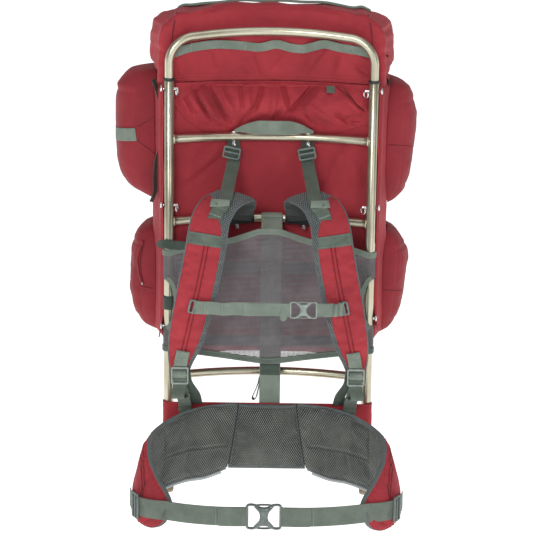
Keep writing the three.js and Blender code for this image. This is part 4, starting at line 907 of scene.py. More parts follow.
# %% Cross bars with their welds
def cross_bar(z):
    """A bowed tube whose radius grows by a steep power over the last few millimetres."""
    x = np.concatenate([
        np.linspace(-HALF_SPACING + 6.5, -HALF_SPACING + 22, 12),
        np.linspace(-HALF_SPACING + 24, HALF_SPACING - 24, 71),
        np.linspace(HALF_SPACING - 22, HALF_SPACING - 6.5, 12),
    ])
    path = np.stack([x, bar_y(x), 0 * x + z], -1)
    near = np.clip((np.abs(x) - (HALF_SPACING - 17)) / 10.5, 0, 1)
    beads = 0.25 * np.sin(near * 22) * (near > 0)
    return tube(path, BAR_RADIUS + 3.2 * near**2.2 + beads, 32)


for bar_name, height in BAR_HEIGHTS.items():
    finish_piece(
        f"cross_bar_{bar_name}_shown", cross_bar(height), champagne, [f"cross_bar_{bar_name}"]
    )

# %% [markdown]
# Clevis pins hold the bag to the frame. Each is a short steel rod with a domed
# head outside and a split ring through its tip. The ring is two turns of wire, so
# it is drawn as two rings side by side that hang from the hole in the pin.

# %% Clevis pins and split rings
def clevis_pin(at, direction, grip, ring_tilt=0.35):
    """Head, shaft, and a double ring that hangs below the tip."""
    at, direction = vec(*at), unit(vec(*direction))
    head_out, tip = at - direction * (grip + 2.2), at + direction * (grip + 5)
    dome = rod(head_out - direction * 1.8, at - direction * grip, 6.6, 28, 1.8)
    shaft = rod(at - direction * grip, tip, 2.7, 20, 0.8)
    upright = abs(direction[2]) > 0.5
    drop = vec(0, -6.5, -2.0) if upright else vec(0, 0, -6.2)
    hole = at + direction * (grip + 2.4)
    normal = vec(1, 0.15, 0.5) if upright else vec(direction[0], -ring_tilt * 2.2, 0.0)
    gap = unit(normal) * 0.75
    first = torus(hole + drop - gap, normal, 6.6, 0.75)
    second = torus(hole + drop + gap + vec(0, 0, -0.5), normal, 6.6, 0.75)
    return join_parts(dome, shaft, first, second)


PIN_GRIP = 12.3
SIDE_PINS = {"top": (797.0, 797.0), "mid": (575.0, 575.0), "low": (337.0, 358.0)}
for pin_name, heights in SIDE_PINS.items():
    for side_name, side, height in (("left", -1, heights[0]), ("right", 1, heights[1])):
        part = clevis_pin((side * HALF_SPACING, 0, height), (-side, 0, 0), PIN_GRIP, 0.08 if side < 0 else 0.3)
        name = f"pin_{pin_name}_{side_name}"
        finish_piece(name + "_shown", part, steel, [name])

# %% [markdown]
# The cross bars carry upright pins as well, which hold the lifter webbing on the
# upper bar and the tops of the shoulder straps on the middle one. They are too
# small to be solids of their own.

# %% Upright pins on the cross bars
for bar_name, out in (("upper", 70.0), ("middle", 63.0)):
    for side_name, side in (("left", -1), ("right", 1)):
        x, z = side * out, BAR_HEIGHTS[bar_name]
        y = float(bar_y(x))
        washer = rod((x, y, z + BAR_RADIUS - 0.4), (x, y, z + BAR_RADIUS + 0.9), 6.2, 28, 0.4)
        head = rod((x, y, z + BAR_RADIUS + 0.6), (x, y, z + BAR_RADIUS + 3.4), 5.0, 28, 1.3)
        shaft = rod((x, y, z - BAR_RADIUS - 12), (x, y, z + BAR_RADIUS + 1), 3.3, 20, 1.2)
        ring_at = (x + 1.0, y - 6.6, z - BAR_RADIUS - 5)
        rings = [torus((ring_at[0] + k, ring_at[1], ring_at[2]), (1, 0.25, 0.35), 6.4, 0.75) for k in (-0.75, 0.75)]
        part = join_parts(washer, head, shaft, *rings)
        finish_piece(f"bar_pin_{bar_name}_{side_name}", part, steel)

# %% [markdown]
# ## The bag
# The main bag is a tall rounded box of cloth. Its outline in plan is a closed
# curve with a hollow back that follows the bowed bars. A row of the level tables
# gives a share of the height, and there the width, the depth, how far the back is
# set in and how much it bows. The load pushes the cloth out between its seams, and
# the cloth answers with long soft folds, which are pressed in along lines.

# %% Outline and levels of the bag
BAG_PLAN = np.array([
    (0.885, 0.0), (0.93, 0.1), (0.985, 0.28), (1.0, 0.48), (0.975, 0.7), (0.9, 0.86), (0.74, 0.96), (0.4, 1.0),
])
BACK_PLAN = np.array([0.66, 0.44, 0.22, 0, -0.22, -0.44, -0.66])
BAG_LEVELS = np.array([
    (0, 0.55, 0.6, 0.2, 0.3), (0.015, 0.76, 0.78, 0.1, 0.6), (0.045, 0.91, 0.93, 0.03, 0.9),
    (0.08, 0.98, 0.99, 0, 1), (0.14, 1, 1, 0, 1), (0.42, 0.995, 1.02, 0, 1), (0.7, 1, 1, 0, 1),
    (0.85, 1, 0.98, 0, 1), (0.885, 0.965, 0.94, 0.035, 1), (1, 0.955, 0.93, 0.035, 1),
])
LID_LEVELS = np.array([
    (0, 1, 1, 0, 1), (0.31, 1, 1, 0, 1), (0.65, 0.995, 1, 0, 1), (0.83, 0.965, 0.97, 0.01, 0.95),
    (0.92, 0.88, 0.9, 0.05, 0.75), (0.98, 0.68, 0.74, 0.13, 0.45), (1, 0.45, 0.5, 0.25, 0.2),
])
BAG = {"half": 228.0, "depth": 220.0, "foot": 268.0, "height": 612.0}
LID = {"half": 231.0, "depth": 224.0, "foot": 806.0, "height": 143.0}


def plan_rings(size, table, levels, inset=0.0):
    """Rings of plan points: each level's width, depth, setback and bow read off the table by straight lines."""
    width, depth, setback, bow = (np.interp(levels, table[:, 0], table[:, k])[:, None] for k in (1, 2, 3, 4))
    half = size["half"] * width - inset
    deep = size["depth"] * depth - 2 * inset
    back = BACK_OFFSET + size["depth"] * setback + inset
    z = (size["foot"] + size["height"] * levels)[:, None]
    x = np.concatenate([BAG_PLAN[:, 0] * half, -BAG_PLAN[::-1, 0] * half, BACK_PLAN[::-1] * half], 1)
    y_side = back + BAG_PLAN[:, 1] * deep
    x_back = BACK_PLAN[::-1] * half
    y_back = back + np.maximum(BAR_BOW * bow * (1 - (x_back / HALF_SPACING) ** 2), 0)
    y = np.concatenate([y_side, y_side[:, ::-1], y_back], 1)
    return np.stack([x, y, z + 0 * x], -1)


def round_plan(rings, samples):
    """Each ring drawn again as a smooth closed curve through its plan points."""
    return np.swapaxes(smooth_path(np.swapaxes(rings, 0, 1), samples, closed=True), 0, 1)


# %% [markdown]
# The folds of the back panel are given as pairs of places in the picture
# plane with a width and a height: the long diagonal under the upper bar on the
# left, its shorter mate on the right, and the soft hollows beside the tubes.

# %% Folds of the bag
BAG_FOLDS = [
    ((-172, 610), (-78, 690), 9, 5.5), ((-176, 598), (-70, 676), 8, -4.5), ((-150, 640), (-95, 700), 8, -3.0),
    ((150, 690), (96, 560), 14, 4.5), ((168, 650), (112, 700), 10, -4.0), ((128, 676), (178, 610), 11, 4.5),
    ((-60, 690), (-20, 560), 30, 3.0), ((40, 700), (60, 560), 26, 2.5), ((-178, 700), (-176, 560), 14, -5.0),
    ((178, 700), (177, 560), 14, -6.0), ((-140, 560), (-60, 600), 12, -3.0), ((60, 585), (130, 560), 12, 3.0),
    ((-150, 330), (-60, 500), 22, 3.0), ((150, 330), (70, 500), 22, 3.0), ((-170, 500), (-90, 530), 10, -3.0),
]


def dressed_bag(samples=280, rows=132):
    """The smooth outer wall pushed along its own normals by folds, bulges between seams and noise."""
    levels = np.unique(np.concatenate([np.linspace(0, 0.1, 26), np.linspace(0.1, 1, rows - 25)]))
    outer = round_plan(plan_rings(BAG, BAG_LEVELS, levels), samples)
    normal = grid_normals(outer, wrap=True)
    middle = outer.mean(axis=(0, 1))
    if np.einsum("ijk,ijk->ij", normal, outer - middle).mean() < 0:
        normal = -normal
    x, y, z = outer[..., 0], outer[..., 1], outer[..., 2]
    on_back = rounded_step(-y, -62, 30) * (np.abs(x) < 204)
    push = np.zeros_like(x)
    for start, end, width, height in BAG_FOLDS:
        push += on_back * 1.4 * crease(x, z, start, end, width, height)
    push += on_back * 2.2 * soft_noise(outer, 70, 3)
    side = rounded_step(y, 60, 30)
    push += side * (4.0 * soft_noise(outer * vec(1, 1, 0.5), 55, 5) + 1.6 * soft_noise(outer, 18, 6))
    front = rounded_step(y, 190, 30)
    push += front * 5.0 * np.sin((z - 300) / 44) * np.exp(-((x / 170) ** 4))
    push += 0.35 * soft_noise(outer, 7, 8)
    free = np.clip(np.minimum(levels / 0.05, 1), 0, 1)[:, None]
    push = np.where(on_back > 0.5, np.clip(push, -7, 2.2), push) * free
    outer = outer + normal * push[..., None]
    inner = outer - normal * CLOTH
    inner[0, :, 2] = np.maximum(inner[0, :, 2], BAG["foot"] + CLOTH)
    return loft(np.concatenate([outer, inner[::-1]]))


finish_piece("main_bag_cloth", dressed_bag(), red_cloth, ["main_bag"])

# %% [markdown]
# ## The lid
# The lid is a deep cap. Its rim lies over the mouth of the bag and runs higher at
# the sides. The crown is one piece of cloth; where it meets the side panels there
# is a seam, and the side panels are pulled down hard, so they wrinkle on the skew.

# %% Lid
def dressed_lid(samples, rows):
    """Cap from its rim to its crown, with skew wrinkles at the sides and a soft dent behind the top bar."""
    levels = 1 - (1 - np.linspace(0, 1, rows)) ** 1.35
    outer = round_plan(plan_rings(LID, LID_LEVELS, levels), samples)
    deep = (outer[..., 1] - BACK_OFFSET) / LID["depth"]
    on_back = (np.abs(outer[..., 0]) < LID["half"] * 0.93) & (deep < 0.4)
    lift = np.where(on_back, 0, 32 * np.clip(deep / 0.2, 0, 1)) * np.clip(1 - levels / 0.5, 0, 1)[:, None]
    outer[..., 2] += lift
    normal = grid_normals(outer, wrap=True)
    middle = outer.mean(axis=(0, 1))
    if np.einsum("ijk,ijk->ij", normal, outer - middle).mean() < 0:
        normal = -normal
    x, y, z = outer[..., 0], outer[..., 1], outer[..., 2]
    outer[..., 2] -= 0.32 * np.clip(y - 112, 0, None) * rounded_step(z, 905, 60)
    outer[..., 2] -= 12 * np.clip((np.abs(x) - 160) / 25, 0, 1) * rounded_step(z, 895, 50)
    corner = np.clip((np.abs(x) - 70) / 80, 0, 1) ** 1.5 * (1 - rounded_step(np.abs(x), 164, 20))
    outer[..., 2] -= 10 * corner * rounded_step(z, 905, 40)
    push = 1.8 * soft_noise(outer, 46, 11) + 0.3 * soft_noise(outer, 8, 12)
    sideways = rounded_step(np.abs(x), 196, 22)
    skew = z * 0.9 - np.abs(x) * 0.5 + y * 0.45 + 14 * soft_noise(outer, 40, 13)
    push += sideways * (0.9 * np.sin(skew / 3.8) + 0.8 * np.sin(skew / 8.0 + 1.0)) * rounded_step(z, 820, 20)
    crown = rounded_step(z, 915, 24)
    push += crown * (2.5 * soft_noise(outer * vec(1, 0.4, 1), 34, 14))
    back_face = rounded_step(-y, -60, 30) * (np.abs(x) < 200)
    for start, end, width, height in [
        ((-150, 905), (-176, 850), 9, -3.0), ((120, 862), (104, 812), 12, -4.5), ((134, 868), (118, 812), 9, 3.0),
        ((-60, 862), (-34, 812), 10, -3.0), ((20, 866), (-2, 812), 12, 2.5), ((60, 868), (38, 808), 13, -2.5),
        ((-36, 866), (-12, 808), 5, -5.0), ((-8, 824), (26, 872), 5, -4.5), ((-178, 850), (-158, 806), 6, -5.0),
        ((72, 832), (102, 878), 5, -5.5), ((144, 878), (188, 852), 5, -5.0), ((152, 842), (188, 822), 5, -5.0),
        ((-110, 866), (-96, 830), 6, -3.0), ((88, 870), (74, 812), 10, 3.5), ((-44, 862), (-24, 812), 10, 3.0),
        ((160, 846), (176, 820), 9, -4.0), ((-150, 862), (-160, 820), 9, -3.5), ((-150, 838), (-176, 812), 8, -3.0),
    ]:
        push += back_face * crease(x, z, start, end, width, height)
    outer = outer + normal * np.clip(push, -7, 3.2)[..., None]
    inner = outer - normal * CLOTH
    return loft(np.concatenate([outer[::-1], inner]))


LID_ROWS, LID_SAMPLES = 110, 320
lid_part = dressed_lid(LID_SAMPLES, LID_ROWS)
finish_piece("lid_cloth", lid_part, red_cloth, ["lid"])
lid_outer = lid_part[0][: LID_ROWS * LID_SAMPLES].reshape(LID_ROWS, LID_SAMPLES, 3)
seam_paths = []
for side in (-1, 1):
    places = [(177, 936), (181, 918), (184, 900), (186, 880), (187, 858)]
    near = [np.linalg.norm((lid_outer - vec(side * px, 30, pz)) * vec(1, 0.25, 1), axis=-1) for px, pz in places]
    spots = np.array([lid_outer[np.unravel_index(d.argmin(), d.shape)] for d in near])
    spots[:, 0] = [side * p[0] for p in places]
    seam_paths.append(tube(smooth_path(spots + vec(side * 0.2, -0.6, 0.2), 60), 1.1, 10))
finish_piece("lid_side_seams", join_parts(*seam_paths), shade_cloth)

# %% [markdown]
# ## The puffed flap
# Below a double seam the lid ends in a loose sleeve of cloth that puffs out over
# the back. Gathered cloth falls in a few strong folds that run down from the seam
# and turn under at the lower edge, so the folds are set one by one and the small
# ones come from noise.

# %% Flap
FLAP_HALF, FLAP_HANG, FLAP_PUFF, FLAP_TOP = 184.0, 101.0, 25.0, 805.6
FLAP_EDGE = np.array([(-1, 0.36), (-0.86, 0.72), (-0.7, 0.94), (-0.5, 1), (0.6, 1), (1, 0.72)])
FLAP_FOLDS = [
    ((-126, 806), (-74, 722), 5.5, -9.0), (
        (-150, 800), (-108, 728), 5.0, -8.0
    ), ((-138, 800), (-92, 722), 8.0, 6.5),
    ((-164, 786), (-142, 744), 5.0, -5.0), ((-100, 806), (-66, 738), 8.0, 4.0), ((86, 806), (26, 742), 6.0, -8.0),
    ((100, 802), (44, 738), 8.0, 5.5), ((20, 800), (36, 750), 4.5, -6.0), ((-16, 802), (-32, 748), 5.0, -5.0),
    ((6, 800), (4, 742), 9.0, 4.0), ((-46, 806), (-40, 748), 8.0, 4.0), ((-60, 804), (-54, 752), 4.0, -4.0),
    ((116, 812), (178, 756), 3.2, -8.0), ((130, 790), (168, 750), 10.0, 3.5), ((64, 770), (120, 728), 9.0, 4.0),
    ((54, 760), (84, 724), 4.0, -5.0), ((140, 740), (172, 742), 6.0, -7.0), ((118, 752), (160, 722), 5.0, -5.0),
    ((-24, 770), (-60, 722), 6.0, -4.0), ((20, 760), (0, 724), 6.0, -3.5),
]


def flap_front(across, up):
    """Half a sine from the hem to the seam, lower at both ends, with the folds pressed in."""
    x = across * FLAP_HALF
    hang = np.interp(across, FLAP_EDGE[:, 0], FLAP_EDGE[:, 1]) * FLAP_HANG
    z = FLAP_TOP - hang * (1 - up)
    puff = np.sin(np.pi * up**1.25) ** 1.25 * (1 - np.abs(across) ** 5)
    back = BACK_OFFSET + bar_y(x) - 0.4
    place = np.stack([x, 0 * x, z], -1)
    push = 2.6 * soft_noise(place, 26, 21) + 0.9 * soft_noise(place, 9, 22)
    for start, end, width, height in FLAP_FOLDS:
        push = push + crease(x, z, start, end, 0.8 * width, 1.9 * height)
    gather = 1.4 * np.sin(x / 4.6 + 2 * soft_noise(place, 30, 24)) * np.exp(-(((up - 0.93) / 0.09) ** 2))
    swell = np.clip(np.minimum(up / 0.12, (1 - up) / 0.08), 0, 1)
    ends = np.clip((1 - np.abs(across)) / 0.05, 0, 1)
    y = back - CLOTH - np.maximum(FLAP_PUFF * puff + (push + gather) * swell * ends, 0)
    return np.stack([x, y, z], -1)


def dressed_flap(columns=250, rows=115):
    """The front as above and a plain back that follows the lid, closed round the rim."""
    across, up = np.meshgrid(np.linspace(-1, 1, columns), np.linspace(0, 1, rows))
    front = flap_front(across, up)
    back = front.copy()
    back[..., 1] = BACK_OFFSET + bar_y(front[..., 0]) - 0.4
    return slab(front, back)


lid_flap = finish_piece("lid_flap_cloth", dressed_flap(), red_cloth, ["lid_flap"])

# %% [markdown]
# ## Stitching
# A seam shows as a row of short threads, each sunk at both ends. One thread is a
# six sided grain with few faces, and a row repeats it along a path, turned to lie
# along the seam. All threads of one colour are one piece in the end.

# %% Rows of stitches
GRAIN = np.array([(-1, 0.15), (-0.55, 0.8), (0, 1), (0.55, 0.8), (1, 0.15)])
red_threads, pale_threads = [], []


def stitch_row(path, normal, pitch=3.6, length=2.5, radius=0.42):
    """Grains set at equal steps along a path; the normal says which way they stand out."""
    step = np.linalg.norm(np.diff(path, axis=0), axis=1)
    reach = np.concatenate([[0], np.cumsum(step)])
    at = np.arange(pitch / 2, reach[-1], pitch)
    centre = np.stack([np.interp(at, reach, path[:, k]) for k in range(3)], -1)
    along = unit(np.stack([np.interp(at, reach, tangents(path)[:, k]) for k in range(3)], -1))
    up = unit(np.broadcast_to(np.asarray(normal, float), path.shape))
    up = np.stack([np.interp(at, reach, up[:, k]) for k in range(3)], -1)
    side = unit(np.cross(up, along))
    up = np.cross(along, side)
    ring = ring_section(6)
    shape = (
        along[:, None, None] * GRAIN[None, :, None, :1] * length / 2
        + (
            side[:, None, None] * ring[None, None, :, :1] + up[:, None, None] * ring[None, None, :, 1:]
        ) * GRAIN[None, :, None, 1:] * radius
    )
    points = (centre[:, None, None] + shape).reshape(-1, 3)
    count = len(at)
    one = grid_quads(len(GRAIN), 6, wrap=True)
    low, high = np.arange(6)[::-1], np.arange(6) + 6 * (len(GRAIN) - 1)
    caps = np.array([low[[0, 1, 2, 3]], low[[0, 3, 4, 5]], high[[0, 1, 2, 3]], high[[0, 3, 4, 5]]])
    quads = np.concatenate([one, caps])
    grain = facing_out((points[: 6 * len(GRAIN)], quads, NO_TRIS))[1]
    everywhere = (grain[None] + (np.arange(count) * 6 * len(GRAIN))[:, None, None]).reshape(-1, 4)
    return points, everywhere, NO_TRIS


def on_back_wall(x, z, stand=0.4):
    """Points of the lid's or bag's back wall at given places across and up."""
    x = np.asarray(x, float)
    return np.stack([x, BACK_OFFSET + bar_y(x) - stand, np.broadcast_to(z, x.shape)], -1)


seam_x = np.linspace(-176, 176, 90)
for height in (807.5, 811.5, 817.0):
    red_threads.append(stitch_row(on_back_wall(seam_x, height, 1.2), (0, -1, 0), 3.4, 2.4, 0.5))

# %% [markdown]
# Both ends of the flap are folded over into flat triangles, with a crisp edge from
# the seam down to the corner beside the tube. A hem of doubled cloth covers the
# seam between lid and flap; it sags a little in the middle.

# %% Folded corners and hem
def over_flap(x, z, lift):
    """Places in front of whichever stands further out, the lid's back or the flap."""
    wall_y = BACK_OFFSET + bar_y(x) - 0.6
    front_y = flap_front(np.clip(x / FLAP_HALF, -1, 1), np.clip((z - FLAP_TOP) / FLAP_HANG + 1, 0, 1))[..., 1]
    return np.stack([x, np.minimum(wall_y, front_y) - lift, z], -1)


corner_lines = []
for corner_name, corners in (
    ("right", [(118, 803), (183, 806), (178, 757)]), ("left", [(-122, 803), (-180, 806), (-171, 774)])
):
    corners = np.array(corners, float)
    share_a, share_b = np.meshgrid(np.linspace(0.03, 1, 60), np.linspace(0, 1, 60))
    first = corners[0] + (corners[1] - corners[0]) * share_a[..., None]
    second = corners[0] + (corners[2] - corners[0]) * share_a[..., None]
    flat_corner = first * (1 - share_b[..., None]) + second * share_b[..., None]
    lift = 1.6 + 2.6 * share_b**3
    front = over_flap(flat_corner[..., 0], flat_corner[..., 1], lift)
    if corner_name == "left":
        front = front[:, ::-1]
    finish_piece(f"flap_folded_corner_{corner_name}", slab(front, front + vec(0, 1.8, 0)), red_cloth)
    edge = (front[-1] if corner_name == "right" else front[-1, ::-1]) + vec(0, -0.3, 0)
    for inset in (3.0, 5.5):
        corner_lines.append(edge[6:] + vec(-0.6 if corner_name == "left" else 0.6, 0, 0.75) * inset)

lid_rows = [row[row[:, 1] < 104] for row in lid_outer[1:40]]
lid_rows = [row[np.argsort(row[:, 0])] for row in lid_rows]
row_levels = np.array([row[:, 2].mean() for row in lid_rows])
hem_columns = np.linspace(-181, 181, 240)
lid_depths = np.array([np.interp(hem_columns, row[:, 0], row[:, 1]) for row in lid_rows])
hem_x, hem_share = np.meshgrid(hem_columns, np.linspace(0, 1, 16))
hem_low = 803.5 - 8.5 * (1 - (hem_x / 181) ** 2)
hem_z = hem_low + (818 - hem_low) * hem_share
row_at = np.clip(np.interp(hem_z, row_levels, np.arange(len(row_levels))), 0, len(row_levels) - 1.001)
low_row, column = row_at.astype(int), np.broadcast_to(np.arange(240), hem_x.shape)
lid_y = lid_depths[low_row, column] * (1 - row_at + low_row) + lid_depths[low_row + 1, column] * (row_at - low_row)
flap_y = over_flap(hem_x, hem_z, 0.0)[..., 1]
hem_y = np.where(hem_z > 806, lid_y, np.minimum(lid_depths[0][None], flap_y))
hem_y = hem_y - 2.4 + 3.8 * rounded_step(hem_share, 0.82, 0.3)
for _ in range(5):
    padded_y = np.pad(hem_y, ((1, 1), (0, 0)), mode="edge")
    hem_y = 0.25 * padded_y[:-2] + 0.5 * padded_y[1:-1] + 0.25 * padded_y[2:]
hem_front = np.stack([hem_x, hem_y, hem_z], -1)
finish_piece("lid_hem", slab(hem_front, hem_front + vec(0, 1.4, 0)), red_cloth)

lower = np.linspace(-0.84, 0.86, 80)
for lift in (0.055, 0.1):
    red_threads.append(
        stitch_row(flap_front(lower, np.full(80, lift)) + vec(0, -0.1, 0), (0, -1, 0), 3.6, 2.5, 0.45)
    )
for line in corner_lines:
    red_threads.append(stitch_row(line, (0, -1, 0), 3.4, 2.4, 0.4))
for row_number in (2, 6):
    red_threads.append(stitch_row(hem_front[row_number][::3] + vec(0, -0.1, 0), (0, -1, 0), 3.6, 2.4, 0.4))

# %% [markdown]
# ## Side pockets
# Each side carries an upper and a lower pocket. A pocket is a pouch sewn to the
# side of the bag all round: it bulges most at its belly, its outline is rounded
# front and back, and its wall pulls in at the seams. It is hollow like the real
# one, with a wall of cloth.

# %% Pockets
POCKETS = {
    "pocket_upper_left": (
        -1, 568.0, 251.0, [4, 19, 39, 52, 62, 67, 70, 71, 70, 66, 58, 48, 26, 3],
        [0, 8, 19, 31, 53, 80, 114, 153, 192, 221, 240, 248, 250, 251]
    ),
    "pocket_upper_right": (
        1, 564.0, 240.0, [2, 17, 32, 41, 46, 50, 52, 52, 48, 42, 34, 26, 17, 2],
        [0, 8, 24, 52, 84, 124, 151, 175, 194, 213, 227, 233, 238, 240]
    ),
    "pocket_lower_left": (
        -1, 303.0, 212.0, [1, 8, 22, 33, 39, 44, 45, 43, 37, 29, 19, 8, 1],
        [0, 4, 14, 34, 62, 89, 123, 160, 184, 199, 207, 211, 212]
    ),
    "pocket_lower_right": (
        1, 303.0, 210.0, [1, 8, 21, 29, 35, 40, 45, 43, 36, 25, 14, 5, 1],
        [0, 5, 21, 45, 79, 117, 147, 164, 181, 196, 204, 209, 210]
    ),
}
POCKET_CENTRE_Y, POCKET_HALF_DEPTH = 128.0, 76.0


def bag_side(y, z):
    """Half the width of the bag at a depth and a height, from the two tables."""
    level = (z - BAG["foot"]) / BAG["height"]
    width = np.interp(level, BAG_LEVELS[:, 0], BAG_LEVELS[:, 1])
    depth = np.interp(level, BAG_LEVELS[:, 0], BAG_LEVELS[:, 2])
    back = BACK_OFFSET + BAG["depth"] * np.interp(level, BAG_LEVELS[:, 0], BAG_LEVELS[:, 3])
    deep = (y - back) / (BAG["depth"] * depth)
    return BAG["half"] * width * np.interp(deep, BAG_PLAN[:, 1], BAG_PLAN[:, 0])


def pocket_wall(row, seed, inset=0.0, rows=110, columns=90):
    """The bulge is read from the pocket's own outline at each height, times the square root of one less a cube across."""
    side, foot, height, bulges, heights = row
    u, v = np.meshgrid(np.linspace(0, 1, rows), np.linspace(0, 1, columns), indexing="ij")
    across = np.sin(np.pi / 2 * (2 * v - 1))
    up = (1 - np.cos(np.pi * u)) / 2
    ends = 0.3 + 0.7 * (1 - np.abs(2 * up - 1) ** 3.4) ** (1 / 3.0)
    y = POCKET_CENTRE_Y + across * (POCKET_HALF_DEPTH - inset) * ends
    z = foot + inset + up * (height - 2 * inset)
    fine = np.linspace(-12, height + 12, 260)
    soft = np.interp(fine, heights, bulges, left=0, right=0)
    soft = np.convolve(np.pad(soft, 4, mode="edge"), np.ones(9) / 9, mode="valid")
    bulge = np.interp(up * height, fine, soft) * np.clip(np.minimum(up, 1 - up) / 0.004, 0.3, 1)
    bulge = bulge - inset * np.clip(bulge / 6, 0, 1)
    shape = np.sqrt(np.clip(1 - np.abs(across) ** 3.4, 0, 1)) * np.clip(bulge / max(bulges), 0, 1)
    wall = bag_side(y, z) + 1.0
    x = wall + bulge * np.sqrt(np.clip(1 - np.abs(across) ** 3.4, 0, 1))
    place = np.stack([x, y, z], -1)
    free = np.clip(shape * 1.6, 0, 1)
    dents = 3.0 * soft_noise(place * vec(1, 1, 0.7), 44, seed) + 1.0 * soft_noise(place, 16, seed + 1)
    dents = dents + 0.25 * soft_noise(place, 6, seed + 2)
    seam_up = -2.0 * np.exp(-(((across - 0.6) / 0.04) ** 2)) - 1.6 * np.exp(-(((across + 0.86) / 0.02) ** 2))
    pucker = 1.0 * np.sin(z / 5.0) * (
        np.exp(-(((across - 0.6) / 0.12) ** 2)) + 0.5 * np.exp(-(((across + 0.8) / 0.12) ** 2))
    )
    hem = -2.0 * np.exp(-(((up - 0.83) / 0.02) ** 2)) - 1.6 * np.exp(-(((up - 0.14) / 0.02) ** 2))
    x = x + free * (dents + seam_up + pucker + hem)
    return np.stack([side * x, y, z], -1)


pocket_walls = {}
for index, (name, row) in enumerate(POCKETS.items()):
    outer = pocket_wall(row, 40 + 5 * index)
    inner = pocket_wall(row, 40 + 5 * index, CLOTH)
    pocket_walls[name] = outer
    # The darker pocket cloth is painted shade on the pockets.
    finish_piece(name + "_cloth", slab(outer, inner), pocket_cloth_painted_shade, [name])
    stand = vec(row[0] * 0.5, 0, 0)
    for share in (0.70, 0.73):
        column = outer[12:-12, int(share * outer.shape[1])] + stand
        red_threads.append(stitch_row(column, (row[0], 0, 0), 3.6, 2.5, 0.42))

# %% [markdown]
# The lower left pocket shows its zip on the side towards the frame: a welt that
# covers the teeth, with the slider at its lower end. The upper left pocket has a
# tab of webbing to pull it tight, sewn on a patch whose seams fan out from it.

# %% Zip welt, tab and panel seams
def pocket_place(name, out, z, stand=0.6):
    """Places on the side of a pocket that faces the frame, at shares of its bulge and heights."""
    side, foot, height = POCKETS[name][:3]
    wall = pocket_walls[name]
    rows, columns = wall.shape[:2]
    out, z = np.broadcast_arrays(np.asarray(out, float), np.asarray(z, float))
    across = -((1 - np.clip(out, 0, 1) ** 2) ** (1 / 3.4))
    u = np.arccos(np.clip(1 - 2 * (z - foot) / height, -1, 1)) / np.pi * (rows - 1)
    v = (np.arcsin(np.clip(across, -1, 1)) / np.pi + 0.5) * (columns - 1)
    low_u, low_v = np.clip(u.astype(int), 0, rows - 2), np.clip(v.astype(int), 0, columns - 2)
    fu, fv = (u - low_u)[:, None], (v - low_v)[:, None]
    lower = wall[low_u, low_v] * (1 - fv) + wall[low_u, low_v + 1] * fv
    upper = wall[low_u + 1, low_v] * (1 - fv) + wall[low_u + 1, low_v + 1] * fv
    place = lower * (1 - fu) + upper * fu
    lean = np.clip(1.15 - 1.0 * out, 0.15, 0.95)[:, None]
    return place + stand * unit(vec(side, 0, 0) * (1 - lean) + vec(0, -1, 0) * lean)


zip_z = np.linspace(488, 406, 60)
zip_out = 0.6 + 0.12 * np.sin(np.linspace(0, np.pi, 60))
welt = sweep(pocket_place("pocket_lower_left", zip_out, zip_z, 0.7), (-0.6, 0.8, 0), 2.6, 1.3, pad_section(14, 2.6))
# The welt takes the darker pocket cloth too, which is painted shade.
finish_piece("pocket_zip_welt", welt, pocket_cloth_painted_shade)
# A thin strip of the shade cloth just inside the welt: a painted shadow along the zip.
shadow = sweep(
    pocket_place("pocket_lower_left", zip_out - 0.08, zip_z, 0.5), (-0.6, 0.8, 0), 0.9, 0.8, pad_section(10, 2.6)
)
finish_piece("pocket_zip_painted_shadow", shadow, shade_cloth)
slider_at = pocket_place("pocket_lower_left", np.full(1, 0.54), np.full(1, 405.0), 1.6)[0]
finish_piece(
    "pocket_zip_slider", rod(slider_at + vec(0, -0.6, 2), slider_at + vec(0, -1.4, -2.5), 1.5, 16, 0.6), steel,
)

tab_out = np.concatenate([np.linspace(0.5, 0.9, 24), np.linspace(0.91, 1.0, 12)])
tab_line = pocket_place("pocket_upper_left", tab_out, np.linspace(698, 691, 36), 1.3)
TAB_HALF_WIDTH = 12.5
tack_line = pocket_place("pocket_upper_left", np.full(14, 0.46), np.linspace(688, 708, 14), 0.8)
red_threads.append(stitch_row(tack_line, (0, -1, 0), 1.8, 1.7, 0.8))
seams = []
for name, places in (
    (
        "pocket_upper_left", [(0.5, 712), (0.3, 720), (0.12, 728), (0.03, 733)]
    ), ("pocket_upper_left", [(0.5, 686), (0.3, 677), (0.12, 667), (0.03, 660)]),
    ("pocket_upper_right", [(0.1, 685), (0.4, 684), (0.7, 681), (0.94, 676)]),
    ("pocket_lower_left", [(0.62, 399), (0.4, 398), (0.1, 396)]), (
        "pocket_lower_right", [(0.1, 399), (0.4, 398), (0.7, 395), (0.92, 391)]
    ),
):
    places = smooth_path(np.array(places, float), 50)
    line = pocket_place(name, places[:, 0], places[:, 1], 0.3)
    seams.append(tube(line, 0.6, 8))
    red_threads.append(stitch_row(line + vec(0, -0.3, -2.2), (0, -1, 0), 3.4, 2.4, 0.35))
finish_piece("pocket_panel_seams", join_parts(*seams), shade_cloth)

# %% [markdown]
# ## Webbing on the bag
# Webbing is a flat tape with firm rounded edges. One helper carries a flattened
# section along a path and lays a map along it, so that its ribs follow each bend.

# %% Webbing helper
WEB = 1.6


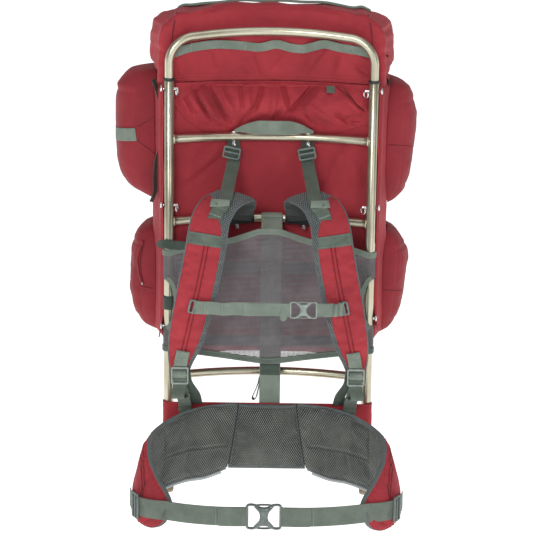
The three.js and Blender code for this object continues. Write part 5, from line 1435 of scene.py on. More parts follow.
def webbing_part(points, wide, half_width, thickness=WEB, samples=None, closed=False, sides=20):
    """A flat section along a smooth path; returns the solid and its map along and across the tape."""
    points = np.asarray(points, float)
    samples = samples or 12 * len(points)
    path = smooth_path(points, samples, closed)
    wide = np.asarray(wide, float)
    if wide.ndim == 2:
        wide = smooth_path(wide, samples, closed)
    half = np.broadcast_to(half_width, len(points)) if np.ndim(half_width) else half_width
    if np.ndim(half_width):
        half = np.interp(np.linspace(0, 1, samples), np.linspace(0, 1, len(points)), half_width)
    section = pad_section(sides, 5.0)
    part = sweep(path, wide, half, thickness / 2, section, closed)
    step = np.linalg.norm(np.diff(path, axis=0), axis=1)
    reach = np.concatenate([[0], np.cumsum(step)])
    along = np.repeat(reach, sides)
    across = (np.broadcast_to(half, samples)[:, None] * section[None, :, 0]).ravel()
    flat = np.stack([along, across], -1)
    extra = len(part[0]) - len(flat)
    if extra:
        flat = np.concatenate([flat, [[0, 0], [reach[-1], 0]][:extra]])
    return part, flat


def add_webbing(name, points, wide, half_width, material, slot, replaces=(), **settings):
    """One tape as a finished piece."""
    part, flat = webbing_part(points, wide, half_width, **settings)
    return finish_piece(name, part, material, replaces, flat)


def add_tapes(name, tapes, material, replaces=()):
    """Several tapes as one piece."""
    parts, maps = zip(*tapes)
    return finish_piece(name, join_parts(*parts), material, replaces, np.concatenate(maps))


def bar_tack(centre, wide, normal, half, rows=3, gap=1.1):
    """A dense block of stitches across a tape: short rows side by side."""
    made = []
    along = unit(np.cross(vec(*normal), vec(*wide)))
    for k in range(rows):
        middle = vec(*centre) + along * (k - (rows - 1) / 2) * gap
        line = np.stack([middle - unit(vec(*wide)) * half, middle, middle + unit(vec(*wide)) * half])
        made.append(stitch_row(line, normal, 1.7, 1.9, 0.45))
    return join_parts(*made)


# %% [markdown]
# The daisy chain is a tape tacked down at four places across the lid. Between the
# tacks it stands off the cloth and waves up and down, which makes loops for gear.

# %% Daisy chain and crest tape
CHAIN_PLACES = np.array([
    (-186, 857, -3), (-172, 864, -1), (-150, 870, 0), (
        -112, 875, 3.2
    ), (-80, 874, 2.6), (-50, 871, 0), (-22, 869, 3.6), (8, 875, 3.0),
    (34, 869, 2.4), (57, 867, 0), (78, 873, 4.4), (98, 878, 4.0), (
        124, 873, 2.0
    ), (149, 870, 0), (170, 867, -1), (187, 861, -4),
])


def chain_point(x, z, stand):
    """A place in front of the lid's back wall."""
    return vec(x, BACK_OFFSET + bar_y(x) - 1.6 - stand, z)


chain = [chain_point(*row) for row in CHAIN_PLACES]
add_webbing(
    "daisy_chain_tape", chain, Z_AXIS, [6.5] + [8.2] * 14 + [6.5], webbing_green, "webbing", ["daisy_chain"],
    samples=180
)
for x, z in ((-150, 871), (-50, 871), (57, 867), (149, 870)):
    pale_threads.append(bar_tack(chain_point(x, z, 1.0), Z_AXIS, (0, -1, 0), 8.5))

CREST = [
    (-178, 931), (-168, 936), (-150, 939.5), (-120, 944), (-80, 948), (-40, 950.8), (0, 951.2), (40, 950.6),
    (84, 948), (124, 943.5), (152, 939), (169, 935), (185, 930)
]
lid_top = lid_outer.reshape(-1, 3)
lid_top = lid_top[(np.abs(lid_top[:, 1] - 100) < 12) & (lid_top[:, 2] > 860)]
lid_top = lid_top[np.argsort(lid_top[:, 0])]
crest_floor = [float(np.interp(x, lid_top[:, 0], lid_top[:, 2])) for x, z in CREST]
crest = [vec(x, 100, min(max(z, under + 1.6), under + 4)) for (x, z), under in zip(CREST, crest_floor)]
print("crest tape", [[round(float(v)) for v in p] for p in crest], "over", len(lid_top), "points of the lid")
tape, flat = webbing_part(crest, Y_AXIS, 10.0, 3.2, samples=120)
tape = (tape[0] + vec(0, 0, 0.8) * np.sin(tape[0][:, :1] / 13), tape[1], tape[2])
finish_piece("crest_tape_shown", tape, webbing_green, ["crest_tape"], flat)

add_webbing("pocket_tab_tape", tab_line, Z_AXIS, TAB_HALF_WIDTH, webbing_green, "webbing", samples=80)

# %% [markdown]
# The haul handle is a short stiff tape over the middle of the upper bar. Its ends
# are gathered under the heads of the pins, so it narrows there and stands up in
# the middle.

# %% Haul handle
HANDLE = [
    (-68, 32, 712), (-60, 30, 715), (-44, 24, 719), (-22, 16, 722.5), (6, 12, 723), (34, 15, 722.5),
    (54, 22, 719.5), (70, 29, 715), (80, 33, 711)
]
HANDLE_HALF = [2.6, 4.6, 9, 13.2, 13.4, 13.2, 9.4, 4.6, 2.6]
add_webbing(
    "haul_handle_tape", [vec(*p) for p in HANDLE], Z_AXIS, HANDLE_HALF, webbing_green, "dark_webbing",
    ["haul_handle"], thickness=3.0, samples=140
)

# %% [markdown]
# A dark compression strap runs down each side of the bag between the pocket and
# the frame. Its free tail hangs below the upper pocket on the left. Red strips of
# doubled cloth carry the pins beside the tubes, and small red tabs carry the low
# ones.

# %% Side straps, pin strips and corner tabs
def beside_bag(side, y, z, stand=2.4):
    """A place just outside the side of the bag."""
    return vec(side * (float(bag_side(np.array(y), np.array(z))) + stand), y, z)


side_straps = []
for side, places in (
    (-1, [(74, 806), (76, 770), (78, 730), (76, 690), (66, 650), (44, 622), (36, 600)]),
    (1, [(76, 806), (78, 760), (78, 700), (78, 640), (76, 600)])
):
    line = [beside_bag(side, y, z, 3.0 if k < len(places) - 1 else 6.0) for k, (y, z) in enumerate(places)]
    if side < 0:
        line = [
            vec(*p)
            for p in (
                (-222, 42, 807), (-214, 41, 785), (-208, 42, 762), (-206, 45, 720), (-208, 45, 680),
                (-216, 42, 652), (-219, 41, 620), (-219, 39, 592), (-226, 36, 572)
            )
        ]
    side_straps.append(webbing_part(line, Y_AXIS if side > 0 else (0.5, 0.86, 0), 7.0, samples=90))
add_tapes("side_compression_straps", side_straps, webbing_dark)

STRIP_FOOT, STRIP_HEAD = 506.0, 806.0
for side_name, side in (("left", -1), ("right", 1)):
    z = np.linspace(STRIP_FOOT, STRIP_HEAD, 60)
    wave = 0.5 * np.sin(z / 17 + side)
    line = np.stack([side * (HALF_SPACING + 10.9) + wave * side, 4.1 + 0 * z, z], -1)
    strip = sweep(line, Y_AXIS, 8.0, 1.0 + 0.25 * np.sin(z / 9), pad_section(16, 4.0))
    finish_piece(f"edge_strip_{side_name}_cloth", strip, red_cloth, [f"edge_strip_{side_name}"])
    for off in (-6.2, 6.2):
        red_threads.append(stitch_row(line + vec(side * 1.2, off, 0), (side, 0, 0), 3.6, 2.5, 0.4))

for side, height in ((-1, 337), (1, 358)):
    x = side * (HALF_SPACING + 11.5)
    rows = np.linspace(0, 1, 14)
    middle = np.stack([x + side * (1 + 6 * rows), 14 - 8 * np.sin(rows * 3), height + 14 - 34 * rows], -1)
    tab = sweep(middle, Y_AXIS, 12 - 3 * rows, 1.3, pad_section(16, 4.0))
    finish_piece(f"corner_tab_{'left' if side < 0 else 'right'}", tab, red_cloth)

# %% [markdown]
# ## The stretched back panel
# A net is laced between the side tubes and keeps the bars off the wearer's back.
# It wraps round both tubes, its upper edge arches up and its lower edge down, and
# it has a half round cut-out at each side where a pin goes through. The net is one
# sheet whose columns end at the cut-outs.

# %% Net panel
NET_FRONT = WRAP_RADIUS + 1.4
WRAP_END = HALF_SPACING + NET_FRONT * np.radians(110)


def wrapped(s, z, radius):
    """A place on the sheet: flat between the tubes, then round a tube by the length that is left."""
    over = np.abs(s) - HALF_SPACING
    angle = np.clip(over, 0, None) / radius
    x = np.sign(s) * (np.minimum(np.abs(s), HALF_SPACING) + radius * np.sin(angle))
    y = -radius * np.cos(angle)
    return np.stack([x, y, z], -1)


NET_TOP = np.array([(0, 534), (0.1, 533.5), (0.14, 531), (0.37, 516), (0.8, 501), (1, 489), (1.15, 488)])


def net_edges(s):
    """Heights of the lower and the upper edge: arches that die out at the tubes."""
    share = np.clip(np.abs(s) / HALF_SPACING, 0, 0.998)
    return 290 - 24 * (1 - np.sqrt(share**2 + 0.003)) ** 1.2, np.interp(share, NET_TOP[:, 0], NET_TOP[:, 1])


def net_side(z, side):
    """Where the sheet ends at a height: round the tube, or at the edge of the cut-out."""
    t = np.clip(1 - ((z - 388 - 3 * side) / 50) ** 2, 0, 1)
    inside = np.minimum(WRAP_END, HALF_SPACING + 10 - 21 * np.sqrt(t))
    return WRAP_END + (inside - WRAP_END) * rounded_step(t, 0.13, 0.26)


def net_sheet(radius, rows=130, columns=230):
    """Columns spread between the two sides and rows between the two edges, settled in a few rounds."""
    u, v = np.meshgrid(np.linspace(0, 1, columns), np.linspace(0, 1, rows))
    s, z = (2 * u - 1) * WRAP_END, 290 + 188 * v
    for _ in range(6):
        s = -net_side(z, -1) * (1 - u) + net_side(z, 1) * u
        low, high = net_edges(s)
        z = low + (high - low) * v
    return wrapped(s, z, radius), np.stack([s, z], -1)


front, flat_place_of_net = net_sheet(NET_FRONT)
back, _ = net_sheet(WRAP_RADIUS + 0.3)
net_map = np.concatenate([flat_place_of_net.reshape(-1, 2)] * 2)
net_panel = finish_piece("mesh_panel_net", slab(front, back), back_net, ["mesh_panel"], net_map)

# %% [markdown]
# All edges of the net are bound with tape, which is folded over the edge and sewn.
# Two bands cross behind the net, and a wide strap runs down the middle behind it.

# %% Edge tapes and cross bands
def tape_on_net(s, z, half, stand=0.9, thickness=1.5, samples=120):
    """A tape that lies on the net along given places across and up."""
    s, z = np.asarray(s, float), np.asarray(z, float)
    path = wrapped(s, z, NET_FRONT + stand)
    direction = unit(np.gradient(np.stack([s, z], -1), axis=0))
    wide_flat = np.stack([-direction[:, 1], direction[:, 0]], -1)
    angle = np.clip(np.abs(s) - HALF_SPACING, 0, None) / NET_FRONT
    wide = np.stack(
        [wide_flat[:, 0] * np.cos(angle), wide_flat[:, 0] * np.sin(angle) * np.sign(s), wide_flat[:, 1]], -1
    )
    return webbing_part(path, wide, half, thickness, samples=samples)


s = np.linspace(-WRAP_END + 1, WRAP_END - 1, 41)
low, high = net_edges(s)
upper_tape = tape_on_net(s, high - 5.2, 6.0)
lower_tape = tape_on_net(s, low + 5.2, 6.0)
turn = np.linspace(np.pi / 2 - 0.25, -np.pi / 2 + 0.25, 21)
cutouts = []
for side in (-1, 1):
    reach = HALF_SPACING + 10 - 24.5 * np.cos(turn)
    cutouts.append(tape_on_net(side * reach, 388 + 3 * side + 52 * np.sin(turn), 4.6))
edge_tapes = add_tapes("net_edge_tapes", [upper_tape, *cutouts], webbing_green)
foot_tape = add_tapes("net_lower_tape", [lower_tape], webbing_mid)
for place in (high - 1.2, high - 9.0):
    pale_threads.append(stitch_row(wrapped(s, place, NET_FRONT + 1.8), (0, -1, 0), 3.2, 2.2, 0.35))
for place in (low + 1.2, low + 9.0):
    pale_threads.append(stitch_row(wrapped(s, place, NET_FRONT + 1.8), (0, -1, 0), 3.2, 2.2, 0.35))

bands = []
for height in (458, 313):
    line = [vec(x, -8.4, height) for x in np.linspace(-180, 180, 7)]
    bands.append(webbing_part(line, Z_AXIS, 11.0, 1.0, samples=60))
add_tapes("cross_bands_behind_net", bands, webbing_mid)

# %% [markdown]
# The dark sleeve on the left tube protects the tape where the low pin passes, and
# a loose tail of the strap that tightens the net lies across the left tube.

# %% Tube sleeve, tension tail and middle straps
sleeve = open_tube(-HALF_SPACING, 372, 398, 11.6, 9.9, 40)
finish_piece("tube_sleeve_left", sleeve, webbing_dark)

tail = [
    vec(-214, -2, 499), vec(-208, -7, 500), vec(-199, -12.6, 502), vec(-188, -14.4, 501), vec(-170, -14.2, 500),
    vec(-150, -13.6, 499)
]
add_webbing(
    "tension_tail_tape", tail, Z_AXIS, [1.5, 7.5, 9.0, 8.6, 8.8, 6.0], webbing_dark, "dark_webbing",
    ["tension_tail_left"], samples=70
)


def onto_bar(points, x, z):
    """Moves a loop drawn round the X axis to a place on a bowed bar, turned along the bar."""
    angle = np.arctan(-2 * BAR_BOW * x / HALF_SPACING**2)
    c, s_ = np.cos(angle), np.sin(angle)
    points = np.asarray(points, float)
    moved = np.stack([points[:, 0] * c - points[:, 1] * s_, points[:, 0] * s_ + points[:, 1] * c, points[:, 2]], -1)
    return moved + vec(x, float(bar_y(x)), z)


def bar_loop_points(rows):
    """Shares of the loop's radius, as points round a bar."""
    r = BAR_RADIUS + 0.96 + WEB / 2
    return np.array([(0, back * r, up * r) for back, up in rows])


turn = np.linspace(0, 2 * np.pi, 24, endpoint=False)
loop_rows = np.stack([np.cos(turn), np.sin(turn)], -1)
loop = webbing_part(
    onto_bar(bar_loop_points(loop_rows), 4, BAR_HEIGHTS["middle"]), X_AXIS, 20.0, 1.7, samples=64, closed=True
)
add_tapes("bar_loop_middle_tape", [loop], webbing_green, ["bar_loop_middle"])

CENTRE = [
    (BAR_BOW - 6, 553.5), (BAR_BOW - 15, 550), (26, 544), (6, 536), (-6, 524), (-8.6, 500), (-8.7, 430),
    (-8.7, 350), (-8.7, 268)
]
# The upper centre strap takes the brighter webbing copy, which is painted light.
add_webbing(
    "centre_strap_tape", [vec(4, y, z) for y, z in CENTRE], X_AXIS, 20.0, strap_webbing_painted_light, "webbing",
    ["centre_strap"], samples=160
)
CENTRE_LOW = [(-10.6, 272), (-9.6, 250), (-8.8, 225), (-8.7, 190), (-8.7, 152)]
add_webbing(
    "centre_strap_lower_tape", [vec(4, y, z) for y, z in CENTRE_LOW], X_AXIS, 20.0, webbing_green, "webbing",
    ["centre_strap"], samples=80
)

keeper = [
    vec(4, y, z) for y,
    z in [
        (-11.2, 266), (-11.6, 256), (-11.0, 246), (10, 234), (38, 225), (50.5, 231), (51, 243), (38, 253), (12, 264)
    ]
]
add_tapes(
    "lower_bar_keeper", [webbing_part(keeper, X_AXIS, 18.5, 1.5, samples=110, closed=True)], webbing_dark,
)

HANGING = [
    (-16, 238), (-17.5, 228), (-22, 214), (-27, 202), (-29, 195), (-26, 191.5), (-21.5, 196), (-18.5, 210),
    (-15.5, 226)
]
hanging = [vec(x, -4 + 0.12 * (238 - z), z) for x, z in HANGING]
add_tapes(
    "hanging_loop_tape", [webbing_part(hanging, (0.2, 0.95, 0.0), 5.5, 1.5, samples=110, closed=True)],
    webbing_dark, ["hanging_loop"]
)

# %% [markdown]
# ## Padded pieces
# A pad is foam in a sewn cover. It is full in the middle and pulled in where the
# cover is stitched. So a coarse skin is held along its edges and its quilting
# lines and blown up a little by Blender's cloth solver, and the movement that this
# gives is carried over to the fine surface, where the seams are added.

# %% Swelling a skin
def curve_at(points, t, closed=False):
    """The same curve through rows of points, read at any place counted in rows."""
    p = np.asarray(points, float)
    n = len(p)
    t = np.asarray(t, float)
    i = np.floor(t).astype(int) if closed else np.clip(np.floor(t).astype(int), 0, n - 2)
    f = (t - i).reshape(-1, *([1] * (p.ndim - 1)))
    return spline(p, i, f, closed)


def swollen(part, held, pressure=4.0, cap=5.0, frames=20, slack=0.0):
    """How far each point of a closed skin moves when it is blown up while some of its points are held."""
    points = part[0]
    mesh = build_mesh("skin_to_swell", part)
    skin = bpy.data.objects.new("skin_to_swell", mesh)
    bpy.context.scene.collection.objects.link(skin)
    group = skin.vertex_groups.new(name="held")
    for weight in np.unique(held[held > 0]):
        group.add(np.flatnonzero(held == weight).tolist(), float(weight), "REPLACE")
    cloth = skin.modifiers.new("swell", "CLOTH").settings
    cloth.quality = 5
    cloth.mass = 0.3
    cloth.tension_stiffness = cloth.compression_stiffness = 25
    cloth.shear_stiffness = 12
    cloth.bending_stiffness = 1.5
    cloth.use_pressure = True
    cloth.uniform_pressure_force = pressure
    cloth.shrink_min = -slack
    cloth.vertex_group_mass = "held"
    cloth.effector_weights.gravity = 0
    cache = skin.modifiers["swell"].point_cache
    cache.frame_start, cache.frame_end = 1, frames
    scene = bpy.context.scene
    for frame in range(1, frames + 1):
        scene.frame_set(frame)
    after = skin.evaluated_get(bpy.context.evaluated_depsgraph_get()).to_mesh()
    moved = np.zeros(len(after.vertices) * 3)
    after.vertices.foreach_get("co", moved)
    moved = moved.reshape(-1, 3) * 1000 - SHIFT - points
    scene.frame_set(1)
    bpy.data.objects.remove(skin)
    bpy.data.meshes.remove(mesh)
    length = np.linalg.norm(moved, axis=1, keepdims=True)
    return moved * np.minimum(1, cap / np.maximum(length, 1e-9))


def pad_ring(front, back, power=2.6):
    """Shares across and through a pad: over its front from one edge to the other and round its back."""
    a = np.sin(np.pi / 2 * np.linspace(1, -1, front))
    c = np.sin(np.pi / 2 * np.linspace(-1, 1, back + 2)[1:-1])
    across = np.concatenate([a, c])
    face = np.concatenate([np.ones(front), -np.ones(back)])
    through = face * np.clip(1 - np.abs(across) ** power, 0, 1) ** (1 / power)
    return across, through


def ring_places(front, back, fine_front, fine_back):
    """The places of a fine ring's points, counted in points of the coarse ring."""
    over = np.linspace(0, front - 1, fine_front)
    under = front - 1 + np.linspace(0, 1, fine_back + 2)[1:-1] * (back + 1)
    return np.concatenate([over, under])


# %% [markdown]
# ## Shoulder straps
# Each strap is an S shaped pad. It starts behind the middle bar, arches over the
# shoulder and runs down the chest to a ladder lock. Its outside is red cloth with
# a welt down the middle; the side towards the body is spacer mesh, which also
# wraps over the inner edge and covers the arch.

# %% Strap surface
STRAP_ROWS = np.array([
    (0.36, -0.165, -0.195, 0.7, 0.5), (0.355, 0, -0.118, 0.84, 0.8), (0.372, 0.24, -0.036, 0.98, 1),
    (
        0.455, 0.5, -0.02, 0.98, 1
    ), (0.56, 0.74, -0.04, 0.92, 1), (0.645, 0.89, -0.1, 0.95, 1), (0.68, 0.97, -0.17, 0.98, 1),
    (0.71, 1, -0.27, 1, 1), (0.77, 1, -0.42, 1, 1), (0.85, 0.93, -0.6, 0.97, 1), (0.93, 0.82, -0.78, 0.86, 0.95),
    (0.985, 0.72, -0.9, 0.62, 0.8), (1, 0.66, -1, 0.36, 0.5),
])
STRAP_HALF_WIDTH, STRAP_HALF_DEPTH = 36.0, 6.5
STRAP_ROLL = np.array([(0, 0.05), (1, 0.25), (2, 0.3), (3, 0.1), (4, 0.02), (5, 0), (6, 0)])


def strap_centre(side, t):
    """The strap's middle line: out, reach and height of the table, as millimetres."""
    row = curve_at(STRAP_ROWS, t)
    return np.stack([side * row[:, 0] * 166, -row[:, 1] * 124, 612 + row[:, 2] * 350], -1)


def strap_frame(side, t):
    """Centre, direction to the outer edge, direction away from the body and the two half sizes."""
    t = np.atleast_1d(np.asarray(t, float))
    row = curve_at(STRAP_ROWS, t)
    step = np.clip(t + 0.02, 0, 12), np.clip(t - 0.02, 0, 12)
    along = unit(strap_centre(side, step[0]) - strap_centre(side, step[1]))
    across = unit(X_AXIS - along * along[:, :1])
    through = np.cross(along, across)
    roll = np.interp(t, STRAP_ROLL[:, 0], STRAP_ROLL[:, 1])[:, None] * side
    across, through = across * np.cos(roll) + through * np.sin(roll), through * np.cos(roll) - across * np.sin(roll)
    return strap_centre(side, t), across * side, through, row[:, 3] * STRAP_HALF_WIDTH, row[:, 4] * STRAP_HALF_DEPTH


def station_at(side, z):
    """The station on the front run of the strap at a height."""
    t = np.linspace(4, 12, 400)
    return float(np.interp(-z, -strap_centre(side, t)[:, 2], t))


def red_from(t):
    """Where the red cloth starts, as a share across: a narrow border below, everything above the crest is mesh."""
    return np.interp(
        t, [0, 3.3, 3.7, 4.2, 4.8, 5.4, 6.2, 9, 12], [1.2, 1.2, 0.75, 0.05, -0.35, -0.6, -0.74, -0.8, -0.72]
    )


# %% Strap pads
COARSE_FRONT, COARSE_BACK, FINE_FRONT, FINE_BACK = 19, 9, 100, 26
coarse_t = np.linspace(0, 12, 84)
coarse_a, coarse_b = pad_ring(COARSE_FRONT, COARSE_BACK)


def strap_rings(side, t, a, b, narrow=0.0):
    """Rings of the plain pad: shares across and through at each station."""
    centre, outer, through, half, depth = strap_frame(side, t)
    wide = outer[:, None] * (a[None, :, None] * (half - narrow)[:, None, None])
    return centre[:, None] + wide + through[:, None] * (b[None, :, None] * (depth - narrow)[:, None, None])


skin = loft(strap_rings(-1, coarse_t, coarse_a, coarse_b, 0.8))
edge = (np.abs(coarse_a) > 0.97).astype(float)
welt = np.where((np.abs(coarse_a) < 0.12) & (coarse_b > 0), 1.0, 0.0)
hold = np.maximum(edge[None], welt[None] * ((coarse_t > 6.6) & (coarse_t < 11.2))[:, None])
hold[:2] = hold[-2:] = 1.0
strap_push = swollen(skin, np.concatenate([hold.ravel(), [1, 1]]), pressure=5.0, cap=3.5, slack=0.02)
strap_push = strap_push[:-2].reshape(len(coarse_t), -1, 3)
print("straps swollen by", round(float(np.abs(strap_push).max()), 2), "mm")

fine_t = np.linspace(0, 12, 330)
fine_a, fine_b = pad_ring(FINE_FRONT, FINE_BACK)
places = ring_places(COARSE_FRONT, COARSE_BACK, FINE_FRONT, FINE_BACK)
push_rows = curve_at(strap_push, fine_t / 12 * (len(coarse_t) - 1))
push_fine = np.swapaxes(curve_at(np.swapaxes(push_rows, 0, 1), places, closed=True), 0, 1)


def strap_detail(t, a, points, seed):
    """What the cover adds to the pad: the welt between its two grooves, the seam of the mesh, dents and puckers."""
    across = a[None] * np.interp(t, np.arange(13), STRAP_ROWS[:, 3])[:, None] * STRAP_HALF_WIDTH
    run = (rounded_step(t, 6.6, 0.2) * (1 - rounded_step(t, 10.9, 0.5)))[:, None]
    groove = -2.2 * np.exp(-(((np.abs(across) - 3.6) / 1.3) ** 2)) + 1.3 * np.exp(-((across / 2.2) ** 2))
    border = -1.0 * np.exp(-(((a[None] - red_from(t)[:, None]) * STRAP_HALF_WIDTH / 1.3) ** 2))
    pucker = 0.45 * np.sin(points[..., 2] / 3.3) * np.exp(-(((1 - np.abs(a[None])) / 0.16) ** 2))
    dents = 1.0 * soft_noise(points, 34, seed) + 0.35 * soft_noise(points, 12, seed + 1)
    return groove * run + border + pucker + dents


strap_pads = {}
for side_name, side in (("left", -1), ("right", 1)):
    rings = strap_rings(side, fine_t, fine_a, fine_b)
    _, outer, through, half, depth = strap_frame(side, fine_t)
    rings = rings + push_fine * vec(-side, 1, 1)
    front = np.clip(fine_b * 3, 0, 1)[None]
    ends = np.clip(np.minimum(fine_t / 0.4, (12 - fine_t) / 0.4), 0, 1)[:, None]
    extra = strap_detail(fine_t, fine_a, rings, 60 if side < 0 else 70) * front * ends
    rings = rings + through[:, None] * extra[..., None]
    part = loft(rings)
    reach = np.concatenate([[0], np.cumsum(np.linalg.norm(np.diff(strap_centre(side, fine_t), axis=0), axis=1))])
    turn = np.concatenate([[0], np.cumsum(np.linalg.norm(np.diff(rings[150], axis=0), axis=1))])
    flat = np.stack(np.broadcast_arrays(turn[None], reach[:, None]), -1).reshape(-1, 2)
    flat = np.concatenate([flat, [[0, 0], [0, reach[-1]]]])
    red_share = ((fine_a[None] > red_from(fine_t)[:, None]) & (fine_b[None] > -0.35)).astype(float).ravel()
    red_share = np.concatenate([red_share, [0, 1]])
    pad = finish_piece(
        f"shoulder_strap_{side_name}_pad", part, [
            red_cloth, strap_lining, lining_shade
        ], [f"shoulder_strap_{side_name}"], flat
    )
    shade = ((fine_t[:, None] < 2.6) & (fine_b[None] < 0.2)).astype(float).ravel()
    shade = np.concatenate([shade, [1, 0]])
    kinds = [np.where(red_share[f].mean(1) > 0.5, 0, 1 + (shade[f].mean(1) > 0.5)) for f in part[1:]]
    pad.data.polygons.foreach_set("material_index", np.concatenate(kinds).astype(np.int32))
    strap_pads[side] = rings

# %% [markdown]
# A folded tape binds each strap where the mesh meets the red cloth, and a thin one
# runs round the outer edge. A tape with a bare field crosses each strap below the
# crest.

# %% Strap piping and bare bands
def on_pad(side, t, a, stand):
    """Places on the finished pad, read between its fine points."""
    row = curve_at(strap_pads[side], np.ravel(t) / 12 * (len(fine_t) - 1))
    order = np.argsort(fine_a[:FINE_FRONT])
    where = np.interp(np.ravel(a), fine_a[:FINE_FRONT][order], np.arange(FINE_FRONT)[order])
    low = np.clip(where.astype(int), 0, FINE_FRONT - 2)
    share = (where - low)[:, None]
    index = np.arange(len(where))
    place = row[index, low] * (1 - share) + row[index, low + 1] * share
    through = strap_frame(side, np.ravel(t))[2]
    return (place + through * stand).reshape(*np.shape(t), 3)


def one_on_pad(side, t, a, stand):
    """A single place on the finished pad."""
    return on_pad(side, np.array([t]), np.array([a]), stand)[0]


for side_name, side in (("left", -1), ("right", 1)):
    t = np.linspace(3.2, 11.95, 150)
    outer_edge = on_pad(side, t, np.full(150, 1.0), 0.0)
    outward = strap_frame(side, t)[1]
    piping = sweep(outer_edge + outward * 0.5, strap_frame(side, t)[2], 2.4, 1.5, pad_section(14, 3.0))
    finish_piece(f"strap_piping_{side_name}", piping, grey_binding)
    t = np.linspace(3.72, 11.9, 150)
    border = on_pad(side, t, red_from(t) - 0.02, 0.15)
    bound = sweep(border, strap_frame(side, t)[1], 0.9, 0.8, pad_section(12, 2.6))
    inner = on_pad(side, np.linspace(1.2, 11.9, 150), np.full(150, -1.0), 0.0)
    inner_t = np.linspace(1.2, 11.9, 150)
    inner_piping = sweep(
        inner - strap_frame(side, inner_t)[1] * 0.4, strap_frame(side, inner_t)[2], 1.5, 1.0, pad_section(12, 3.0)
    )
    finish_piece(f"strap_inner_piping_{side_name}", join_parts(bound, inner_piping), grey_binding)
    high, low = station_at(side, 550), station_at(side, 529)
    t, a = np.meshgrid(np.linspace(high, low, 22), np.linspace(-0.74, 1.0, 70), indexing="ij")
    band_front = on_pad(side, t, a, 1.5)
    band_back = on_pad(side, t, a, 0.3)
    flat = np.stack([a * STRAP_HALF_WIDTH, (t - high) / (low - high) * 21 - 10.5], -1).reshape(-1, 2)
    finish_piece(
        f"bare_band_{side_name}", slab(band_front, band_back), webbing_mid, (),
        np.concatenate([flat, flat])
    )
    for share in (0.09, 0.91):
        line_t = np.full(60, high + (low - high) * share)
        pale_threads.append(
            stitch_row(
                on_pad(side, line_t, np.linspace(-0.84, 0.96, 60), 1.6), strap_frame(side, line_t)[2], 2.6, 1.9,
                0.32
            )
        )
    grooves = []
    for off in (-3.6, 3.6):
        line_t = np.linspace(6.75, 10.85, 120)
        half = strap_frame(side, line_t)[3]
        grooves.append(
            sweep(
                on_pad(side, line_t, off / half, 0.15), strap_frame(side, line_t)[1], 0.75, 0.6,
                pad_section(10, 2.6)
            )
        )
    finish_piece(f"strap_welt_grooves_{side_name}", join_parts(*grooves), shade_cloth)
    for off in (-6.4, 6.4):
        line_t = np.linspace(6.8, 10.85, 120)
        half = strap_frame(side, line_t)[3]
        red_threads.append(
            stitch_row(on_pad(side, line_t, off / half, 0.25), strap_frame(side, line_t)[2], 3.4, 2.3, 0.35)
        )

# %% [markdown]
# The lifters pull the crest of each strap back towards the frame. Each one hangs
# from its pin under the upper bar by a short lug, threads a ladder lock, runs down
# to the crest and is sewn there under a square of stitches. Its free end is folded
# over so that it can't slip out of the lock, and sticks out sideways.

# %% Lifters
lifter_bars = {}
for side_name, side in (("left", -1), ("right", 1)):
    x = side * 70.0
    lug = webbing_part(
        [vec(x, 38, 693), vec(x, 35, 687), vec(x - 1, 30, 681), vec(x - 2.5, 25.8, 675), vec(x - 3, 25.4, 663)],
        X_AXIS, [10.5, 12, 12.8, 13.4, 13.4], 3.0, samples=40
    )
    foot_station = station_at(side, 578) - 0.02
    over = one_on_pad(side, 4.0, -0.3, 3.2)
    low_end = [one_on_pad(side, k, -0.2, s) for k, s in ((4.5, 3.4), (5.0, 2.4), (foot_station, 1.7))]
    start = vec(x, 31.5, 684)
    under = vec(x, 27.6, 657)
    middle = (under + over) / 2 + vec(0, 0, -1.5)
    run = webbing_part([start, under, middle, over, *low_end], X_AXIS, 12.4, 1.6, samples=120)
    add_tapes(f"lifter_lug_{side_name}", [lug], webbing_dark)
    add_tapes(f"lifter_webbing_{side_name}_tape", [run], webbing_mid, [f"lifter_webbing_{side_name}"])
    middle_t = one_on_pad(side, 4.15, -0.12, 5.5)
    flap_points = [
        middle_t + vec(-side * 1, 1.5, 5.5), middle_t + vec(0, -1.8, 1.5), middle_t + vec(side * 0.5, -4.2, -3),
        middle_t + vec(side * 0.5, -4.6, -6)
    ]
    tilt = unit(vec(1, 0.05, 0.42 if side < 0 else -0.4))
    fold = webbing_part(flap_points, tilt, 18.0, 3.2, samples=40)
    add_tapes(f"lifter_folded_end_{side_name}", [fold], webbing_green)
    tack = one_on_pad(side, foot_station, -0.2, 2.6)
    direction = strap_frame(side, np.array([foot_station]))
    pale_threads.append(bar_tack(tack + vec(0, 0, 2.5), direction[1][0], direction[2][0], 11, 3))
    line = on_pad(side, np.full(20, foot_station + 0.12), np.linspace(-0.52, 0.14, 20), 0.6)
    red_threads.append(stitch_row(line, direction[2][0], 2.0, 1.8, 0.5))
    lifter_bars[side] = vec(x - (3.5 if side < 0 else 1.5), 22.2, 672)

# %% [markdown]
# Where the straps start they are tied round the middle bar by sleeves, drawn in
# near-black cloth that paints the shade under the strap arches, and the pins of
# that bar show between the sleeves and the net.

# %% Bar sleeves
for side_name, side in (("left", -1), ("right", 1)):
    x = side * np.linspace(30, 86, 30)
    path = np.stack([x, bar_y(x), np.full(30, BAR_HEIGHTS["middle"])], -1)
    swell = np.linspace(9.8, 14.5, 30) + 0.5 * np.sin(x / 4.0)
    sleeve = tube(path, swell, 36)
    # The near-black sleeve cloth is painted shade under the strap arch.
    finish_piece(f"strap_root_sleeve_{side_name}", sleeve, sleeve_painted_shade)

# %% [markdown]
# ## Buckles
# Plastic buckles are drawn as flat outlines with windows and given rounded edges.
# A closed outline is filled between an outer and an inner loop, so that a frame
# round a window is one closed ring of plastic, and bars and teeth are rods.

